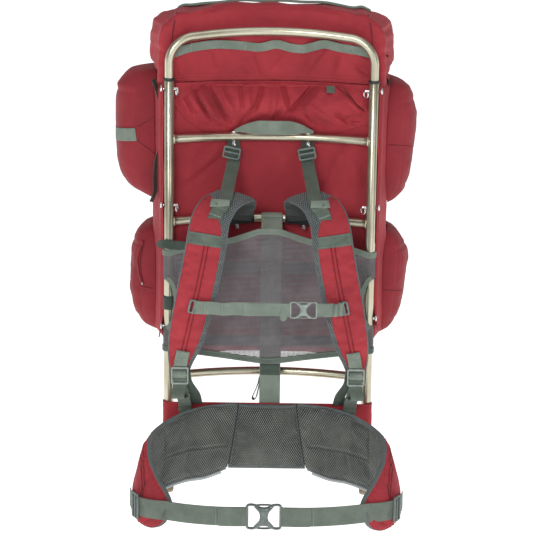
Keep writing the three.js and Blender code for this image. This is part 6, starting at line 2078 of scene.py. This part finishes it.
# %% Outlines and frames
def rounded_outline(half_width, half_height, radius, count=48):
    """A rectangle with round corners as a loop of points, evenly spread by angle."""
    a = np.linspace(0, 2 * np.pi, count, endpoint=False) + 0.01
    c, s = np.cos(a), np.sin(a)
    corner_x, corner_y = half_width - radius, half_height - radius
    return np.stack([np.sign(c) * corner_x + radius * c, np.sign(s) * corner_y + radius * s], -1)


def placed(points, centre, x_axis, normal):
    """Flat points with a height, set down at a centre with the given directions."""
    x_axis = unit(vec(*x_axis))
    normal = unit(vec(*normal))
    y_axis = unit(np.cross(normal, x_axis))
    x_axis = np.cross(y_axis, normal)
    return vec(*centre) + points[..., :1] * x_axis + points[..., 1:2] * y_axis + points[..., 2:3] * normal


def raised(loop, height):
    """A flat loop lifted to one height or to a height for each point."""
    return np.concatenate([loop, np.broadcast_to(np.asarray(height, float), len(loop))[:, None]], -1)


def frame_ring(outer, inner, thickness, bevel=0.5):
    """A closed ring of plastic between two loops, its edges cut back by a small bevel."""
    h = thickness / 2
    mid = (outer + inner) / 2
    out_in = outer + (mid - outer) * min(0.45, bevel / 2)
    in_out = inner + (mid - inner) * min(0.45, bevel / 2)
    rings = [
        raised(outer, -h + bevel), raised(outer, h - bevel), raised(out_in, h), raised(in_out, h),
        raised(inner, h - bevel), raised(inner, -h + bevel), raised(in_out, -h), raised(out_in, -h)
    ]
    return rings


def ring_solid(outer, inner, thickness, centre, x_axis, normal, bevel=0.5):
    """The ring above as a closed solid in place."""
    rings = placed(np.asarray(frame_ring(outer, inner, thickness, bevel)), centre, x_axis, normal)
    return loft(rings, closed=True)


def plate_solid(loop, thickness, centre, x_axis, normal, bevel=0.5, crown=0.0):
    """A plate with bevelled edges: loops that shrink towards both faces, closed by fans."""
    h = thickness / 2
    middle = loop.mean(0)
    half = np.abs(loop - middle).max()
    small, cut = (middle + (loop - middle) * share for share in (0.4, 1 - bevel / half))
    rings = [
        raised(small, -h - crown), raised(cut, -h), raised(loop, -h + bevel), raised(loop, h - bevel),
        raised(cut, h), raised(small, h + crown)
    ]
    return loft(placed(np.asarray(rings), centre, x_axis, normal))


def local_rod(start, end, radius, centre, x_axis, normal, sides=14):
    """A rod between two places given in the buckle's own directions."""
    a, b = placed(np.array([start, end], float), centre, x_axis, normal)
    return rod(a, b, radius, sides, min(0.5, radius * 0.5))


def ladder_lock(width, height, centre, x_axis, normal, toothed=True):
    """An outer frame, a middle bar, a toothed lip at one end and two thumb tabs."""
    outer = rounded_outline(width / 2, height / 2, 3.2)
    inner = rounded_outline(width / 2 - 3.2, height / 2 - 3.4, 1.6)
    parts = [ring_solid(outer, inner, 4.0, centre, x_axis, normal, 0.9)]
    parts.append(local_rod((-width / 2 + 2, 0.6, 0.4), (width / 2 - 2, 0.6, 0.4), 2.1, centre, x_axis, normal))
    parts.append(
        local_rod(
            (-width / 2 + 2.5, height / 2 - 1.8, 0.5), (width / 2 - 2.5, height / 2 - 1.8, 0.5), 2.2, centre,
            x_axis, normal
        )
    )
    if toothed:
        for k in np.linspace(-0.36, 0.36, 7):
            parts.append(
                local_rod(
                    (k * width, -height / 2 + 3.6, 0.6), (k * width, -height / 2 + 1.0, 2.4), 0.9, centre, x_axis,
                    normal, 8
                )
            )
    parts.append(
        local_rod(
            (-width / 2 + 2.5, -height / 2 + 1.6, 0.8), (width / 2 - 2.5, -height / 2 + 1.6, 0.8), 2.0, centre,
            x_axis, normal
        )
    )
    return join_parts(*parts)


# %% Ladder locks
LOCK_LOOP = ((4.0, 9), (0.2, 8.6), (-3.2, 5), (-3.4, -1), (-0.4, -4.4), (3.8, -4))
for side_name, side in (("left", -1), ("right", 1)):
    lock = ladder_lock(33, 23, lifter_bars[side], (1, 0, 0.2 * side), (0, -1, 0))
    finish_piece(f"lifter_lock_{side_name}", lock, grey_plastic, [f"lifter_buckle_{side_name}"])
    station = station_at(side, 270)
    centre, _, through, _, depth = strap_frame(side, np.array([station]))
    lock_at = centre[0] + through[0] * (depth[0] + 6.4)
    lower = ladder_lock(33, 34, lock_at, X_AXIS, (0, -1, 0.0))
    finish_piece(f"strap_lock_{side_name}", lower, pale_plastic, [f"strap_buckle_{side_name}"])

    tab_t = station_at(side, 322)
    tab_line = [
        one_on_pad(side, k, 0.0, s) for k,
        s in ((tab_t, 1.0), (station_at(side, 306), 1.6), (station_at(side, 292), 3.2))
    ]
    tab_line += [
        lock_at + vec(0, 1.2, 19), lock_at + vec(0, 3.6, 12), lock_at + vec(0, 3.6, 7), lock_at + vec(0, 0.4, 4.6)
    ]
    tab = webbing_part(tab_line, X_AXIS, 12.6, 1.8, samples=70)
    under = webbing_part([lock_at + vec(0, y, z) for y, z in LOCK_LOOP], X_AXIS, 12.6, 1.6, samples=70)
    add_tapes(f"strap_foot_tab_{side_name}", [tab, under], webbing_green)
    normal = strap_frame(side, np.array([tab_t]))[2][0]
    pale_threads.append(bar_tack(tab_line[0] + normal * 1.1 + vec(0, 0, -2.5), X_AXIS, normal, 11, 2))
    pale_threads.append(bar_tack(tab_line[1] + normal * 1.2, X_AXIS, normal, 11, 1))

    slot = lock_at + vec(0, 0, -14)
    leaving = vec(side * 157, -15.1, 178)
    rise = [
        vec(side * 157, -13.1, 142), vec(side * 157, -13.1, 164), leaving, leaving + (slot - leaving) * 0.24,
        leaving + (slot - leaving) * 0.62
    ]
    over = [
        slot + vec(0, 5.6, -6), slot + vec(0, 5.0, 2), slot + vec(0, 2.8, 7.0), slot + vec(0, -0.2, 8.0),
        slot + vec(0, -0.6, 3.6), slot + vec(0, 2.6, -1.4)
    ]
    hang = [
        slot + vec(side, 1.4, -9), slot + vec(side * 3, -2.8, -30), vec(side * 160, -25, 204),
        vec(side * 159, -18, 172)
    ]
    front_tape = webbing_part(rise + over + hang, X_AXIS, 12.4, 1.6, samples=240)
    add_tapes(
        f"anchor_webbing_{side_name}_tape", [front_tape], webbing_mid, [f"anchor_webbing_{side_name}"]
    )
    rear_line = [lock_at + vec(-side * 9, 6.5, 8), lock_at + vec(-side * 12, 12, -14)]
    rear_line += [vec(side * 140, -40, 216), vec(side * 136, -14, 186)]
    rear = webbing_part(rear_line, vec(0.97, 0.1, 0.2 * side), 11.0, 1.4, samples=70)
    add_tapes(f"anchor_rear_tape_{side_name}", [rear], webbing_dark)

# %% [markdown]
# The sternum strap slides up and down on each shoulder strap and closes across the
# chest with a small release buckle. Its ends are folded twice and tacked.

# %% Sternum strap
STERNUM_AT = vec(64, -148, 415)
for side_name, side in (("left", -1), ("right", 1)):
    station = station_at(side, 414)
    centre, outer, through, _, depth = strap_frame(side, np.array([station]))
    down = unit(strap_centre(side, np.array([station + 0.1])) - strap_centre(side, np.array([station - 0.1])))[0]
    slider_at = centre[0] + through[0] * (depth[0] + 2.9)
    slider = ladder_lock(28, 19, slider_at, down, through[0], toothed=True)
    finish_piece(
        f"sternum_slider_{side_name}_lock", slider, grey_plastic, [f"sternum_slider_{side_name}"]
    )
    near = slider_at + vec(0, -5.2, 0)
    end = STERNUM_AT + vec(side * 25.5, 0, 0)
    waves = [
        (0.03, 1.2, 0.2), (0.1, -1.2, 0), (0.2, 1.5, -0.6), (0.3, -2.6, -1.2), (0.42, 0.6, -0.6), (0.52, -1.6, 0.2),
        (0.66, -3.4, 0.4), (0.82, -2.4, 0.8), (1, 0, 0)
    ]
    line = [near + vec(-side * 1, 3.6, 0)] + [
        near + (end - near) * share + vec(0, push, lift) for share, push, lift in waves
    ]
    top_line = [
        near + (end - near) * share + vec(0, push - 2.3, lift + 0.3) for share, push,
        lift in (waves[5:] if side < 0 else waves[4:])
    ]
    tape = webbing_part(line, Z_AXIS, 12.4, 1.5, samples=160)
    second = webbing_part(top_line, Z_AXIS, 12.6, 1.5, samples=80)
    add_tapes(
        f"sternum_webbing_{side_name}_tape", [tape, second], webbing_green,
        [f"sternum_webbing_{side_name}"]
    )
    for share in (0.12, 0.3, 0.56):
        pale_threads.append(bar_tack(near + (end - near) * share + vec(0, -4.4, 0), Z_AXIS, (0, -1, 0), 10.5, 2))


HOURGLASS = np.array([
    (7.4, 0), (8.0, 6), (10.2, 12), (
        14.2, 17.2
    ), (18.6, 21.4), (17.2, 23), (13, 21.6), (9, 18.9), (4.5, 17.4), (0, 16.9),
])


def hourglass(length, height):
    """The waisted middle of the buckle: one quarter of the outline, mirrored twice and smoothed."""
    q = HOURGLASS * vec(length / 66, height / 47)
    loop = np.concatenate([q, q[-2::-1] * vec(-1, 1), q[1:] * vec(-1, -1), q[-2:0:-1] * vec(1, -1)])
    return smooth_path(loop, 120, closed=True)


def bent_rod(places, radius, thickness, centre, x_axis, normal, sides=14):
    """A flat sided rod along places given in the buckle's own directions."""
    line = placed(np.asarray(places, float), centre, x_axis, normal)
    return sweep(smooth_path(line, 12 * len(line)), normal, thickness, radius, pad_section(sides, 3.0))


def release_half(side, length, height, thickness, centre, x_axis, normal):
    """One end: an upright bar that holds the webbing and two arms that curve in to the middle."""
    u, v, h = side * length / 2, height / 47, thickness
    k = length / 66
    bar = [(u - side * 2.4 * k, -21.5 * v, 0), (u - side * 2.4 * k, 0, 0), (u - side * 2.4 * k, 21.5 * v, 0)]
    parts = [bent_rod(bar, 2.3 * k, h * 0.3, centre, x_axis, normal)]
    for up in (-1, 1):
        arm = [
            (u - side * 2.0 * k, up * 18 * v, 0), (u - side * 3.4 * k, up * 22.0 * v, 0),
            (u - side * 9 * k, up * 23.2 * v, 0), (side * 17 * k, up * 22.4 * v, 0),
            (side * 10 * k, up * 19.5 * v, 0)
        ]
        parts.append(bent_rod(arm, 1.7 * k, h * 0.34, centre, x_axis, normal))
    return parts


def release_socket(length, height, thickness, centre, x_axis, normal):
    """The half with the waisted body, a crowned middle, a raised rim and one webbing bar."""
    parts = release_half(-1, length, height, thickness, centre, x_axis, normal)
    body = hourglass(length, height)
    parts.append(plate_solid(body, thickness * 0.8, centre, x_axis, normal, 1.2, 0.5))
    k, v = length / 66, height / 47
    for side in (-1, 1):
        rim = [
            (side * 16.4 * k, 20.2 * v, thickness * 0.42), (side * 10.6 * k, 14 * v, thickness * 0.43),
            (side * 6.9 * k, 5 * v, thickness * 0.44)
        ]
        rim += [(x, -y, z) for x, y, z in rim[::-1]]
        parts.append(bent_rod(rim, 0.7 * k, 0.7, centre, x_axis, normal, 10))
    return join_parts(*parts)


def release_tongue(length, height, thickness, centre, x_axis, normal):
    """The half with the prongs: its bar and arms, and the two prong backs that bridge the top and bottom of the body."""
    parts = release_half(1, length, height, thickness, centre, x_axis, normal)
    k, v = length / 66, height / 47
    for up in (-1, 1):
        bridge = [
            (14.5 * k, up * 21.8 * v, 0), (8 * k, up * 22.9 * v, 0), (0, up * 23.2 * v, 0),
            (-8 * k, up * 22.9 * v, 0), (-14.5 * k, up * 21.8 * v, 0)
        ]
        parts.append(bent_rod(bridge, 1.1 * k, thickness * 0.3, centre, x_axis, normal, 12))
    return join_parts(*parts)


socket = release_socket(52, 30, 9, STERNUM_AT, X_AXIS, (0, -1, 0))
tongue = release_tongue(52, 30, 9, STERNUM_AT, X_AXIS, (0, -1, 0))
tail = [
    STERNUM_AT + vec(-34, -1.2, 6), STERNUM_AT + vec(-35, -3.2, -4), STERNUM_AT + vec(-37, -3.4, -16),
    STERNUM_AT + vec(-38, -2.6, -21)
]
add_tapes(
    "sternum_loose_end", [webbing_part(tail, (0.92, 0, -0.38), [7, 8, 6, 2.0], 1.5, samples=40)], webbing_green,
)
finish_piece("sternum_socket", socket, pale_plastic, ["sternum_buckle_socket"])
finish_piece("sternum_tongue", tongue, pale_plastic, ["sternum_buckle_tongue"])

HIP_AT = vec(-4, -245, 47)
socket = release_socket(66, 47, 13, HIP_AT, X_AXIS, (0, -1, 0))
tongue = release_tongue(66, 47, 13, HIP_AT, X_AXIS, (0, -1, 0))
finish_piece("hip_socket", socket, grey_plastic, ["hip_buckle_socket"])
finish_piece("hip_tongue", tongue, grey_plastic, ["hip_buckle_tongue"])

# %% [markdown]
# ## Hip belt
# The belt carries the load. A broad red band laced round both tubes holds it to
# the frame. On it sits the lumbar pad, and from the pad two thick wings curve
# forward round the hips. Their inner side is spacer mesh, quilted by channels, and
# their outer side is red cloth.

# %% Back band
BAND_FOOT, BAND_TOP = 62.0, 188.0
s, z = np.meshgrid(np.linspace(-WRAP_END, WRAP_END, 230), np.linspace(BAND_FOOT, BAND_TOP, 64))
hem = np.exp(-(((z - BAND_TOP + 7) / 1.2) ** 2)) + np.exp(-(((z - BAND_FOOT - 7) / 1.2) ** 2))
place = np.stack([s, 0 * s, z], -1)
relief = 0.5 * soft_noise(place, 30, 81) + 0.3 * soft_noise(place, 9, 82) - 0.6 * hem
pulled = 0.35 * np.sin(z / 6) * np.exp(-(((np.abs(s) - 172) / 12) ** 2))
front = wrapped(s, z, WRAP_RADIUS + 1.9 + np.minimum(relief + pulled, 0.3))
back = wrapped(s, z, WRAP_RADIUS + 0.3)
flat = np.stack([s, z], -1).reshape(-1, 2)
band = finish_piece(
    "back_band_cloth", slab(front, back), red_cloth, ["back_band"], np.concatenate([flat, flat])
)
band_line = np.linspace(-WRAP_END + 2, WRAP_END - 2, 200)
for height in (BAND_TOP - 3, BAND_TOP - 7, BAND_FOOT + 3, BAND_FOOT + 7):
    red_threads.append(
        stitch_row(wrapped(band_line, np.full(200, height), WRAP_RADIUS + 2.0), (0, -1, 0), 3.4, 2.4, 0.4)
    )

# %% [markdown]
# The lumbar pad is wider below than above. A flat binding frames it, and the knit
# inside swells between the binding as the foam presses it out.

# %% Lumbar pad
LUMBAR_HALF, LUMBAR_FLARE, LUMBAR_DEPTH = 66.0, 10.0, 17.5
LUMBAR_FOOT, LUMBAR_TOP = 56.0, 186.0


def lumbar_face(a, v):
    """Front of the pad at shares across and up: a flat rim, then a round shoulder, then a low crown."""
    half = LUMBAR_HALF + LUMBAR_FLARE * (1 - 2 * v)
    w = 2 * v - 1
    shoulder = np.clip(1 - np.abs(a) ** 16, 0, 1) ** 0.4 * np.clip(1 - np.abs(w) ** 18, 0, 1) ** 0.4
    crown = np.clip(1 - np.abs(a) ** 3.5, 0, 1) * np.clip(1 - np.abs(w) ** 3.5, 0, 1)
    x = a * half * (1 - 0.015 * np.abs(w) ** 8)
    z = LUMBAR_FOOT + v * (LUMBAR_TOP - LUMBAR_FOOT) + 3.0 * np.abs(a) ** 10 * rounded_step(v, 0.9, 0.2)
    y = LUMBAR_BACK_Y - LUMBAR_DEPTH * (0.3 * shoulder + 0.18 + 0.42 * crown)
    return np.stack([x, y, z], -1)


def lumbar_back(a, v):
    """The flat back, drawn in a little so that the rim is round."""
    place = lumbar_face(a, v)
    place[..., 1] = LUMBAR_BACK_Y
    return place


LUMBAR_COARSE, LUMBAR_ROWS, LUMBAR_COLUMNS = 28, 190, 200
spread = np.sin(np.pi / 2 * np.linspace(-1, 1, LUMBAR_COARSE))
a, v = np.meshgrid(spread, (1 + spread) / 2)
near, far = lumbar_face(a, v), lumbar_back(a, v)
rim = np.maximum(np.abs(a), np.abs(2 * v - 1)) > 0.9
hold = np.concatenate([rim.ravel(), np.ones(a.size)]).astype(float)
push = swollen(
    slab(near, far), hold, pressure=5.0, cap=5.0, slack=0.02
)[: a.size].reshape(LUMBAR_COARSE, LUMBAR_COARSE, 3)
rows_at = np.linspace(0, LUMBAR_COARSE - 1, LUMBAR_ROWS)
columns_at = np.linspace(0, LUMBAR_COARSE - 1, LUMBAR_COLUMNS)
fine_push = np.swapaxes(curve_at(np.swapaxes(curve_at(push, rows_at), 0, 1), columns_at), 0, 1)
fine_a = np.sin(np.pi / 2 * np.linspace(-1, 1, LUMBAR_COLUMNS))
fine_v = (1 + np.sin(np.pi / 2 * np.linspace(-1, 1, LUMBAR_ROWS))) / 2
a, v = np.meshgrid(fine_a, fine_v)
face = lumbar_face(a, v) + fine_push * vec(0.3, 1, 0.3)
inside = np.minimum(1 - np.abs(a), 1 - np.abs(2 * v - 1))
groove = np.exp(-(((inside - 0.075) / 0.018) ** 2))
dents = 0.9 * soft_noise(face, 26, 91) + 0.3 * soft_noise(face, 9, 92)
face[..., 1] += (1.5 * groove + dents * np.clip(inside * 6, 0, 1))
flat = np.stack([face[..., 0], face[..., 2]], -1).reshape(-1, 2)
part = slab(face, lumbar_back(a, v))
lumbar = finish_piece(
    "lumbar_pad_cushion", part, [spacer, grey_binding], ["lumbar_pad"], np.concatenate([flat, flat])
)
border = np.concatenate([(inside < 0.075).ravel(), np.ones(a.size, bool)]).astype(float)
lumbar.data.polygons.foreach_set("material_index", (border[part[1]].mean(1) > 0.5).astype(np.int32))

# %% [markdown]
# A wing is lofted along its curve round the hip. Its quilting is a long channel
# that runs from the lumbar pad to the bend and a short upright one at the bend.
# Both are held while the skin is blown up, so the foam rises between them.

# %% Wing surface
WING_ROWS = np.array([
    (0, 0, 1, 0.93, 0.62, 1), (0.27, 0.0275, 0.93, 1, 0.88, 0.3), (0.52, 0.085, 0.87, 0.945, 0.96, 0),
    (0.77, 0.207, 0.775, 0.915, 1, 0), (0.945, 0.373, 0.695, 0.9, 0.96, 0), (1, 0.541, 0.58, 0.79, 0.88, 0),
    (0.94, 0.7, 0.44, 0.7, 0.8, 0), (0.81, 0.825, 0.335, 0.55, 0.68, 0), (0.66, 0.91, 0.31, 0.34, 0.48, 0),
])
WING_ROOT, WING_SPAN, WING_REACH, WING_LEVEL = 66.8, 180.2, 208.0, 124.0
WING_HALF_HEIGHT, WING_HALF_DEPTH = 70.0, 12.5
WING_LEAN = np.array([(0, 0), (2, 0), (3, 7), (4, 19), (5, 27), (6, 28), (7, 22), (8, 8)])


def wing_centre(side, t):
    """Middle line of a wing: shares outwards, forwards and up as millimetres."""
    row = curve_at(WING_ROWS, t)
    x = side * (WING_ROOT + row[:, 0] * WING_SPAN)
    y = LUMBAR_BACK_Y - row[:, 4] * WING_HALF_DEPTH - row[:, 1] * WING_REACH
    return np.stack([x, y, row[:, 2] * WING_LEVEL], -1)


def wing_frame(side, t):
    """Centre, the vector up to the upper edge, the vector out to the outer face."""
    t = np.atleast_1d(np.asarray(t, float))
    row = curve_at(WING_ROWS, t)
    along = wing_centre(side, np.clip(t + 0.03, 0, 8)) - wing_centre(side, np.clip(t - 0.03, 0, 8))
    along[:, 2] = 0
    along = unit(along)
    outward = np.stack([-side * along[:, 1], side * along[:, 0], 0 * t], -1)
    up = np.stack([-side * row[:, 5] * LUMBAR_FLARE, 0 * t, row[:, 3] * WING_HALF_HEIGHT], -1)
    return wing_centre(side, t), up, outward, row[:, 4] * WING_HALF_DEPTH


def wing_rings(side, t, a, b, narrow=0.0):
    """Rings of the plain wing; the tip is rounded off by drawing its last rings in."""
    centre, up, outward, depth = wing_frame(side, t)
    tip = np.sqrt(np.clip(1 - (np.clip(t - 7.2, 0, 1) / 0.86) ** 2.4, 0.02, 1))[:, None, None]
    height = np.linalg.norm(up, axis=1, keepdims=True)
    up = up * (1 - narrow / height)
    lean = np.interp(t, WING_LEAN[:, 0], WING_LEAN[:, 1])[:, None] * np.clip((a[None] + 1) / 2, 0, 1) ** 1.4
    centre = centre[:, None] - X_AXIS * (side * lean)[..., None]
    return centre + up[:, None] * a[None, :, None] * tip + outward[:, None] * (
        b[None, :, None] * (depth - narrow)[:, None, None]
    )


def channel_depth(t, a):
    """How deep the quilting is at a station and a share up, for the inner face."""
    along_middle = -0.2 + 0.2 * np.clip((t - 0.3) / 2.7, 0, 1)
    run = rounded_step(t, 0.35, 0.3) * (1 - rounded_step(t, 2.95, 0.12))
    long_one = np.exp(-(((a - along_middle) / 0.045) ** 2)) * run
    upright = np.exp(-(((t - 2.98) / 0.05) ** 2)) * rounded_step(a, -0.06, 0.1) * (1 - rounded_step(a, 0.86, 0.1))
    return np.maximum(long_one, upright)


WING_FRONT, WING_BACK, WING_FINE_FRONT, WING_FINE_BACK = 21, 23, 84, 130
WING_STATIONS, WING_FINE_STATIONS = 74, 330
WING_END = len(WING_ROWS) - 1
wing_t = np.linspace(0, WING_END, WING_STATIONS)
wing_a, wing_b = pad_ring(WING_FRONT, WING_BACK, 2.8)
skin = loft(wing_rings(-1, wing_t, wing_a, wing_b, 1.0))
edge = np.where(np.abs(wing_a) > 0.98, 1.0, 0.0)[None] * np.ones((WING_STATIONS, 1))
quilt = (channel_depth(wing_t[:, None], wing_a[None]) > 0.45) & (wing_b < 0)[None]
hold = np.maximum(edge, quilt.astype(float))
hold[:2] = hold[-3:] = 1.0
wing_push = swollen(skin, np.concatenate([hold.ravel(), [1, 1]]), pressure=5.0, cap=5.0, slack=0.025)
wing_push = wing_push[:-2].reshape(WING_STATIONS, -1, 3)
print("wings swollen by", round(float(np.abs(wing_push).max()), 2), "mm")

# %% Wings
wing_fine_t = np.linspace(0, WING_END, WING_FINE_STATIONS)
wing_fine_a, wing_fine_b = pad_ring(WING_FINE_FRONT, WING_FINE_BACK, 2.8)
places = ring_places(WING_FRONT, WING_BACK, WING_FINE_FRONT, WING_FINE_BACK)
wing_push_fine = np.swapaxes(
    curve_at(
        np.swapaxes(curve_at(wing_push, wing_fine_t / WING_END * (WING_STATIONS - 1)), 0, 1), places, closed=True
    ),
    0, 1
)
wing_pads = {}
for side_name, side in (("left", -1), ("right", 1)):
    rings = wing_rings(side, wing_fine_t, wing_fine_a, wing_fine_b) + wing_push_fine * vec(-side, 1, 1)
    _, up, outward, depth = wing_frame(side, wing_fine_t)
    t, a = wing_fine_t[:, None], wing_fine_a[None]
    inner = np.clip(-wing_fine_b * 3, 0, 1)[None]
    outer = np.clip(wing_fine_b * 3, 0, 1)[None]
    ends = np.clip(np.minimum(t / 0.25, (8 - t) / 0.5), 0, 1)
    quilt = -3.4 * channel_depth(t, a) + 1.6 * np.exp(-(((t - 0.5) / 0.3) ** 2)) * (1 - np.abs(a) ** 4)
    dents = 1.0 * soft_noise(rings, 30, 101 + side) + 0.4 * soft_noise(rings, 11, 103 + side)
    radial = 0.9 * np.sin(t * 26) * np.exp(-(((1 - np.abs(a)) / 0.2) ** 2)) * np.clip(t / 3, 0, 1)
    seam = -1.2 * np.exp(-(((np.abs(a) - 0.9) * 70 / 1.6) ** 2))
    inward_push = (quilt + dents + seam * 0.6) * inner
    outward_push = (dents * 1.4 + radial + seam) * outer
    rings = rings + outward[:, None] * ((outward_push - inward_push) * ends)[..., None]
    wing_pads[side] = rings
    part = loft(rings)
    reach = np.concatenate(
        [[0], np.cumsum(np.linalg.norm(np.diff(wing_centre(side, wing_fine_t), axis=0), axis=1))]
    )
    flat = np.stack(np.broadcast_arrays(reach[:, None], wing_fine_a[None] * WING_HALF_HEIGHT), -1).reshape(-1, 2)
    flat = np.concatenate([flat, [[0, 0], [reach[-1], 0]]])
    wing = finish_piece(
        f"hip_wing_{side_name}_pad", part, [red_cloth, spacer, grey_binding],
        [f"hip_wing_{side_name}"], flat
    )
    mesh_side = (wing_fine_b < 0)[None] & np.ones((WING_FINE_STATIONS, 1), bool)
    rim_side = mesh_side & ((np.abs(wing_fine_a) > 0.965)[None] | (wing_fine_t[:, None] > 4.6))
    mesh_side = np.concatenate([mesh_side.astype(float).ravel(), [1, 0]])
    rim_side = np.concatenate([rim_side.astype(float).ravel(), [0, 0]])
    kinds = [np.where(rim_side[f].mean(1) > 0.5, 2, (mesh_side[f].mean(1) > 0.5).astype(int)) for f in part[1:]]
    wing.data.polygons.foreach_set("material_index", np.concatenate(kinds).astype(np.int32))

# %% [markdown]
# Binding tape runs round the edge where the mesh meets the red cloth, and a pale
# piping shows under the lower edge. The red side carries a curved pocket seam.

# %% Wing binding and pocket seams
def on_wing(side, t, a, stand, outer=True):
    """Places on the finished wing's outer or inner face, off it by a stand."""
    t, a = np.broadcast_arrays(np.asarray(t, float), np.asarray(a, float))
    row = curve_at(wing_pads[side], t.ravel() / WING_END * (WING_FINE_STATIONS - 1))
    columns = np.arange(WING_FINE_FRONT) if outer else np.concatenate(
        [[WING_FINE_FRONT - 1], np.arange(WING_FINE_FRONT, len(wing_fine_a)), [0]]
    )
    key = wing_fine_a[columns]
    order = np.argsort(key)
    where = np.interp(a.ravel(), key[order], np.arange(len(columns)))
    low = np.clip(where.astype(int), 0, len(columns) - 2)
    share = (where - low)[:, None]
    index = np.arange(len(where))
    first, second = columns[order][low], columns[order][low + 1]
    place = row[index, first] * (1 - share) + row[index, second] * share
    outward = wing_frame(side, t.ravel())[2]
    return (place + outward * (stand if outer else -stand)).reshape(*t.shape, 3)


for side_name, side in (("left", -1), ("right", 1)):
    t = np.linspace(0.1, 7.9, 260)
    upper = on_wing(side, t, 1.0, 0)
    lower = on_wing(side, t[::-1], -1.0, 0)
    round_edge = np.concatenate([upper, on_wing(side, np.full(9, 7.95), np.linspace(0.8, -0.8, 9), 0), lower])
    round_edge = smooth_path(round_edge[::3], 420)
    outward = unit(
        np.stack(
            [tangents(round_edge)[:, 1] * 0 + side * 1.0, -0.4 + 0 * round_edge[:, 0], 0 * round_edge[:, 0]], -1
        )
    )
    binding = sweep(round_edge, outward, 4.2, 1.9, pad_section(14, 3.0))
    finish_piece(f"wing_binding_{side_name}", binding, grey_binding)
    t = np.linspace(0.35, 3.6, 90)
    under = on_wing(side, t, -1.0, 0) + vec(0, -3.5, -3.6)
    finish_piece(f"wing_pale_piping_{side_name}", tube(under, 3.3, 16), pale_binding)
    seams = []
    for table in (
        ((6.25, -0.55), (6.2, 0.0), (5.9, 0.45), (5.45, 0.74), (4.9, 0.84), (4.3, 0.86)),
        ((6.2, -0.3), (6.0, 0.12), (5.6, 0.5), (5.1, 0.66), (4.5, 0.7))
    ):
        ta = smooth_path(np.array(table), 90)
        line = on_wing(side, ta[:, 0], ta[:, 1], 0.3)
        seams.append(sweep(line, wing_frame(side, ta[:, 0])[2], 0.8, 1.0, pad_section(10, 2.6)))
        inside_line = on_wing(side, ta[:, 0] - 0.05, ta[:, 1] - 0.07, 0.3)
        red_threads.append(stitch_row(inside_line, wing_frame(side, ta[:, 0])[2], 3.4, 2.4, 0.4))
    finish_piece(f"wing_pocket_seam_{side_name}", join_parts(*seams), shade_cloth)
    for off in (0.075, -0.075):
        t = np.linspace(0.5, 2.85, 110)
        a = -0.2 + 0.2 * np.clip((t - 0.3) / 2.7, 0, 1) + off
        pale_threads.append(
            stitch_row(on_wing(side, t, a, 0.2, outer=False), -wing_frame(side, t)[2], 3.4, 2.2, 0.3)
        )

# %% [markdown]
# The belt webbing is sewn under the wings' tips, threads the side locks and meets
# in the middle at the big release buckle. Beside the buckle it is folded back on
# itself and tacked by a double row.

# %% Belt webbing and side locks
def off_wing(side, t, distance, z):
    """A place at a distance from the finished outer face at a height."""
    centre, up, outward, _ = wing_frame(side, np.array([t]))
    share = np.clip((z - centre[0, 2]) / up[0, 2], -0.95, 0.95)
    place = on_wing(side, np.array([t]), np.array([share]), 0.0)[0] + outward[0] * distance
    place[2] = z
    return place


def belt_point(tip, end, share, forward=0.0):
    """A place on the free belt: a share of the way from a wing's tip to the buckle, on an arc that stands forward."""
    return tip + (end - tip) * share + vec(0, -BELT_ARC * 4 * share * (1 - share) - forward, 0)


BELT_ARC = 9
for side_name, side in (("left", -1), ("right", 1)):
    tip = off_wing(side, 7.9, 1.6, 44)
    end = HIP_AT + vec(side * 31.5, 0, 0)
    free = [belt_point(tip, end, share) for share in (0.24, 0.48, 0.72)]
    main = [
        off_wing(side, 5.0, 1.4, 41), off_wing(side, 5.5, 1.6, 40), off_wing(side, 6.0, 3.2, 39),
        off_wing(side, 6.5, 1.8, 39.5), off_wing(side, 7.0, 1.6, 41), off_wing(side, 7.5, 1.6, 43), tip, *free, end
    ]
    tape = webbing_part(main, Z_AXIS, 18.8, 1.6, samples=240)
    fold = [belt_point(tip, end, share, 2.0) for share in (0.66, 0.8)] + [end + vec(side * 2, -1.9, 0)]
    second = webbing_part(fold, Z_AXIS, 18.9, 1.6, samples=50)
    wrap_end = [
        end + vec(side * 3, 1.8, 0), end + vec(side * 0.5, 1.2, 0), end + vec(-side * 1.2, 0, 0),
        end + vec(side * 0.5, -1.6, 0), end + vec(side * 3, -2.2, 0)
    ]
    add_tapes(
        f"hip_webbing_{side_name}_tape", [tape, second, webbing_part(wrap_end, Z_AXIS, 18.7, 1.4, samples=40)],
        webbing_belt, [f"hip_webbing_{side_name}"]
    )
    _, _, outward, _ = wing_frame(side, np.array([6.0]))
    side_lock = ladder_lock(50, 23, off_wing(side, 6.0, 5.6, 39), Z_AXIS, outward[0], toothed=False)
    finish_piece(f"side_lock_{side_name}", side_lock, grey_plastic, [f"side_buckle_{side_name}"])
    for share in (0.62, 0.66):
        pale_threads.append(bar_tack(belt_point(tip, end, share, 3.1), Z_AXIS, (0, -1, 0), 17.5, 1))

# %% [markdown]
# ## The bare tag and the threads
# A plain tag is sewn under the seam of the lid. Last, all threads of one colour
# become one piece.

# %% Tag and threads
tag_line = flap_front(np.full(5, 0.6), np.linspace(0.95, 0.84, 5)) + vec(0, -4.6, 0)
add_tapes("plain_lid_tag", [webbing_part(tag_line, X_AXIS, 7.6, 1.3, samples=24)], webbing_mid)
finish_piece("stitches_red", join_parts(*red_threads), red_thread)
finish_piece("stitches_pale", join_parts(*pale_threads), pale_thread)
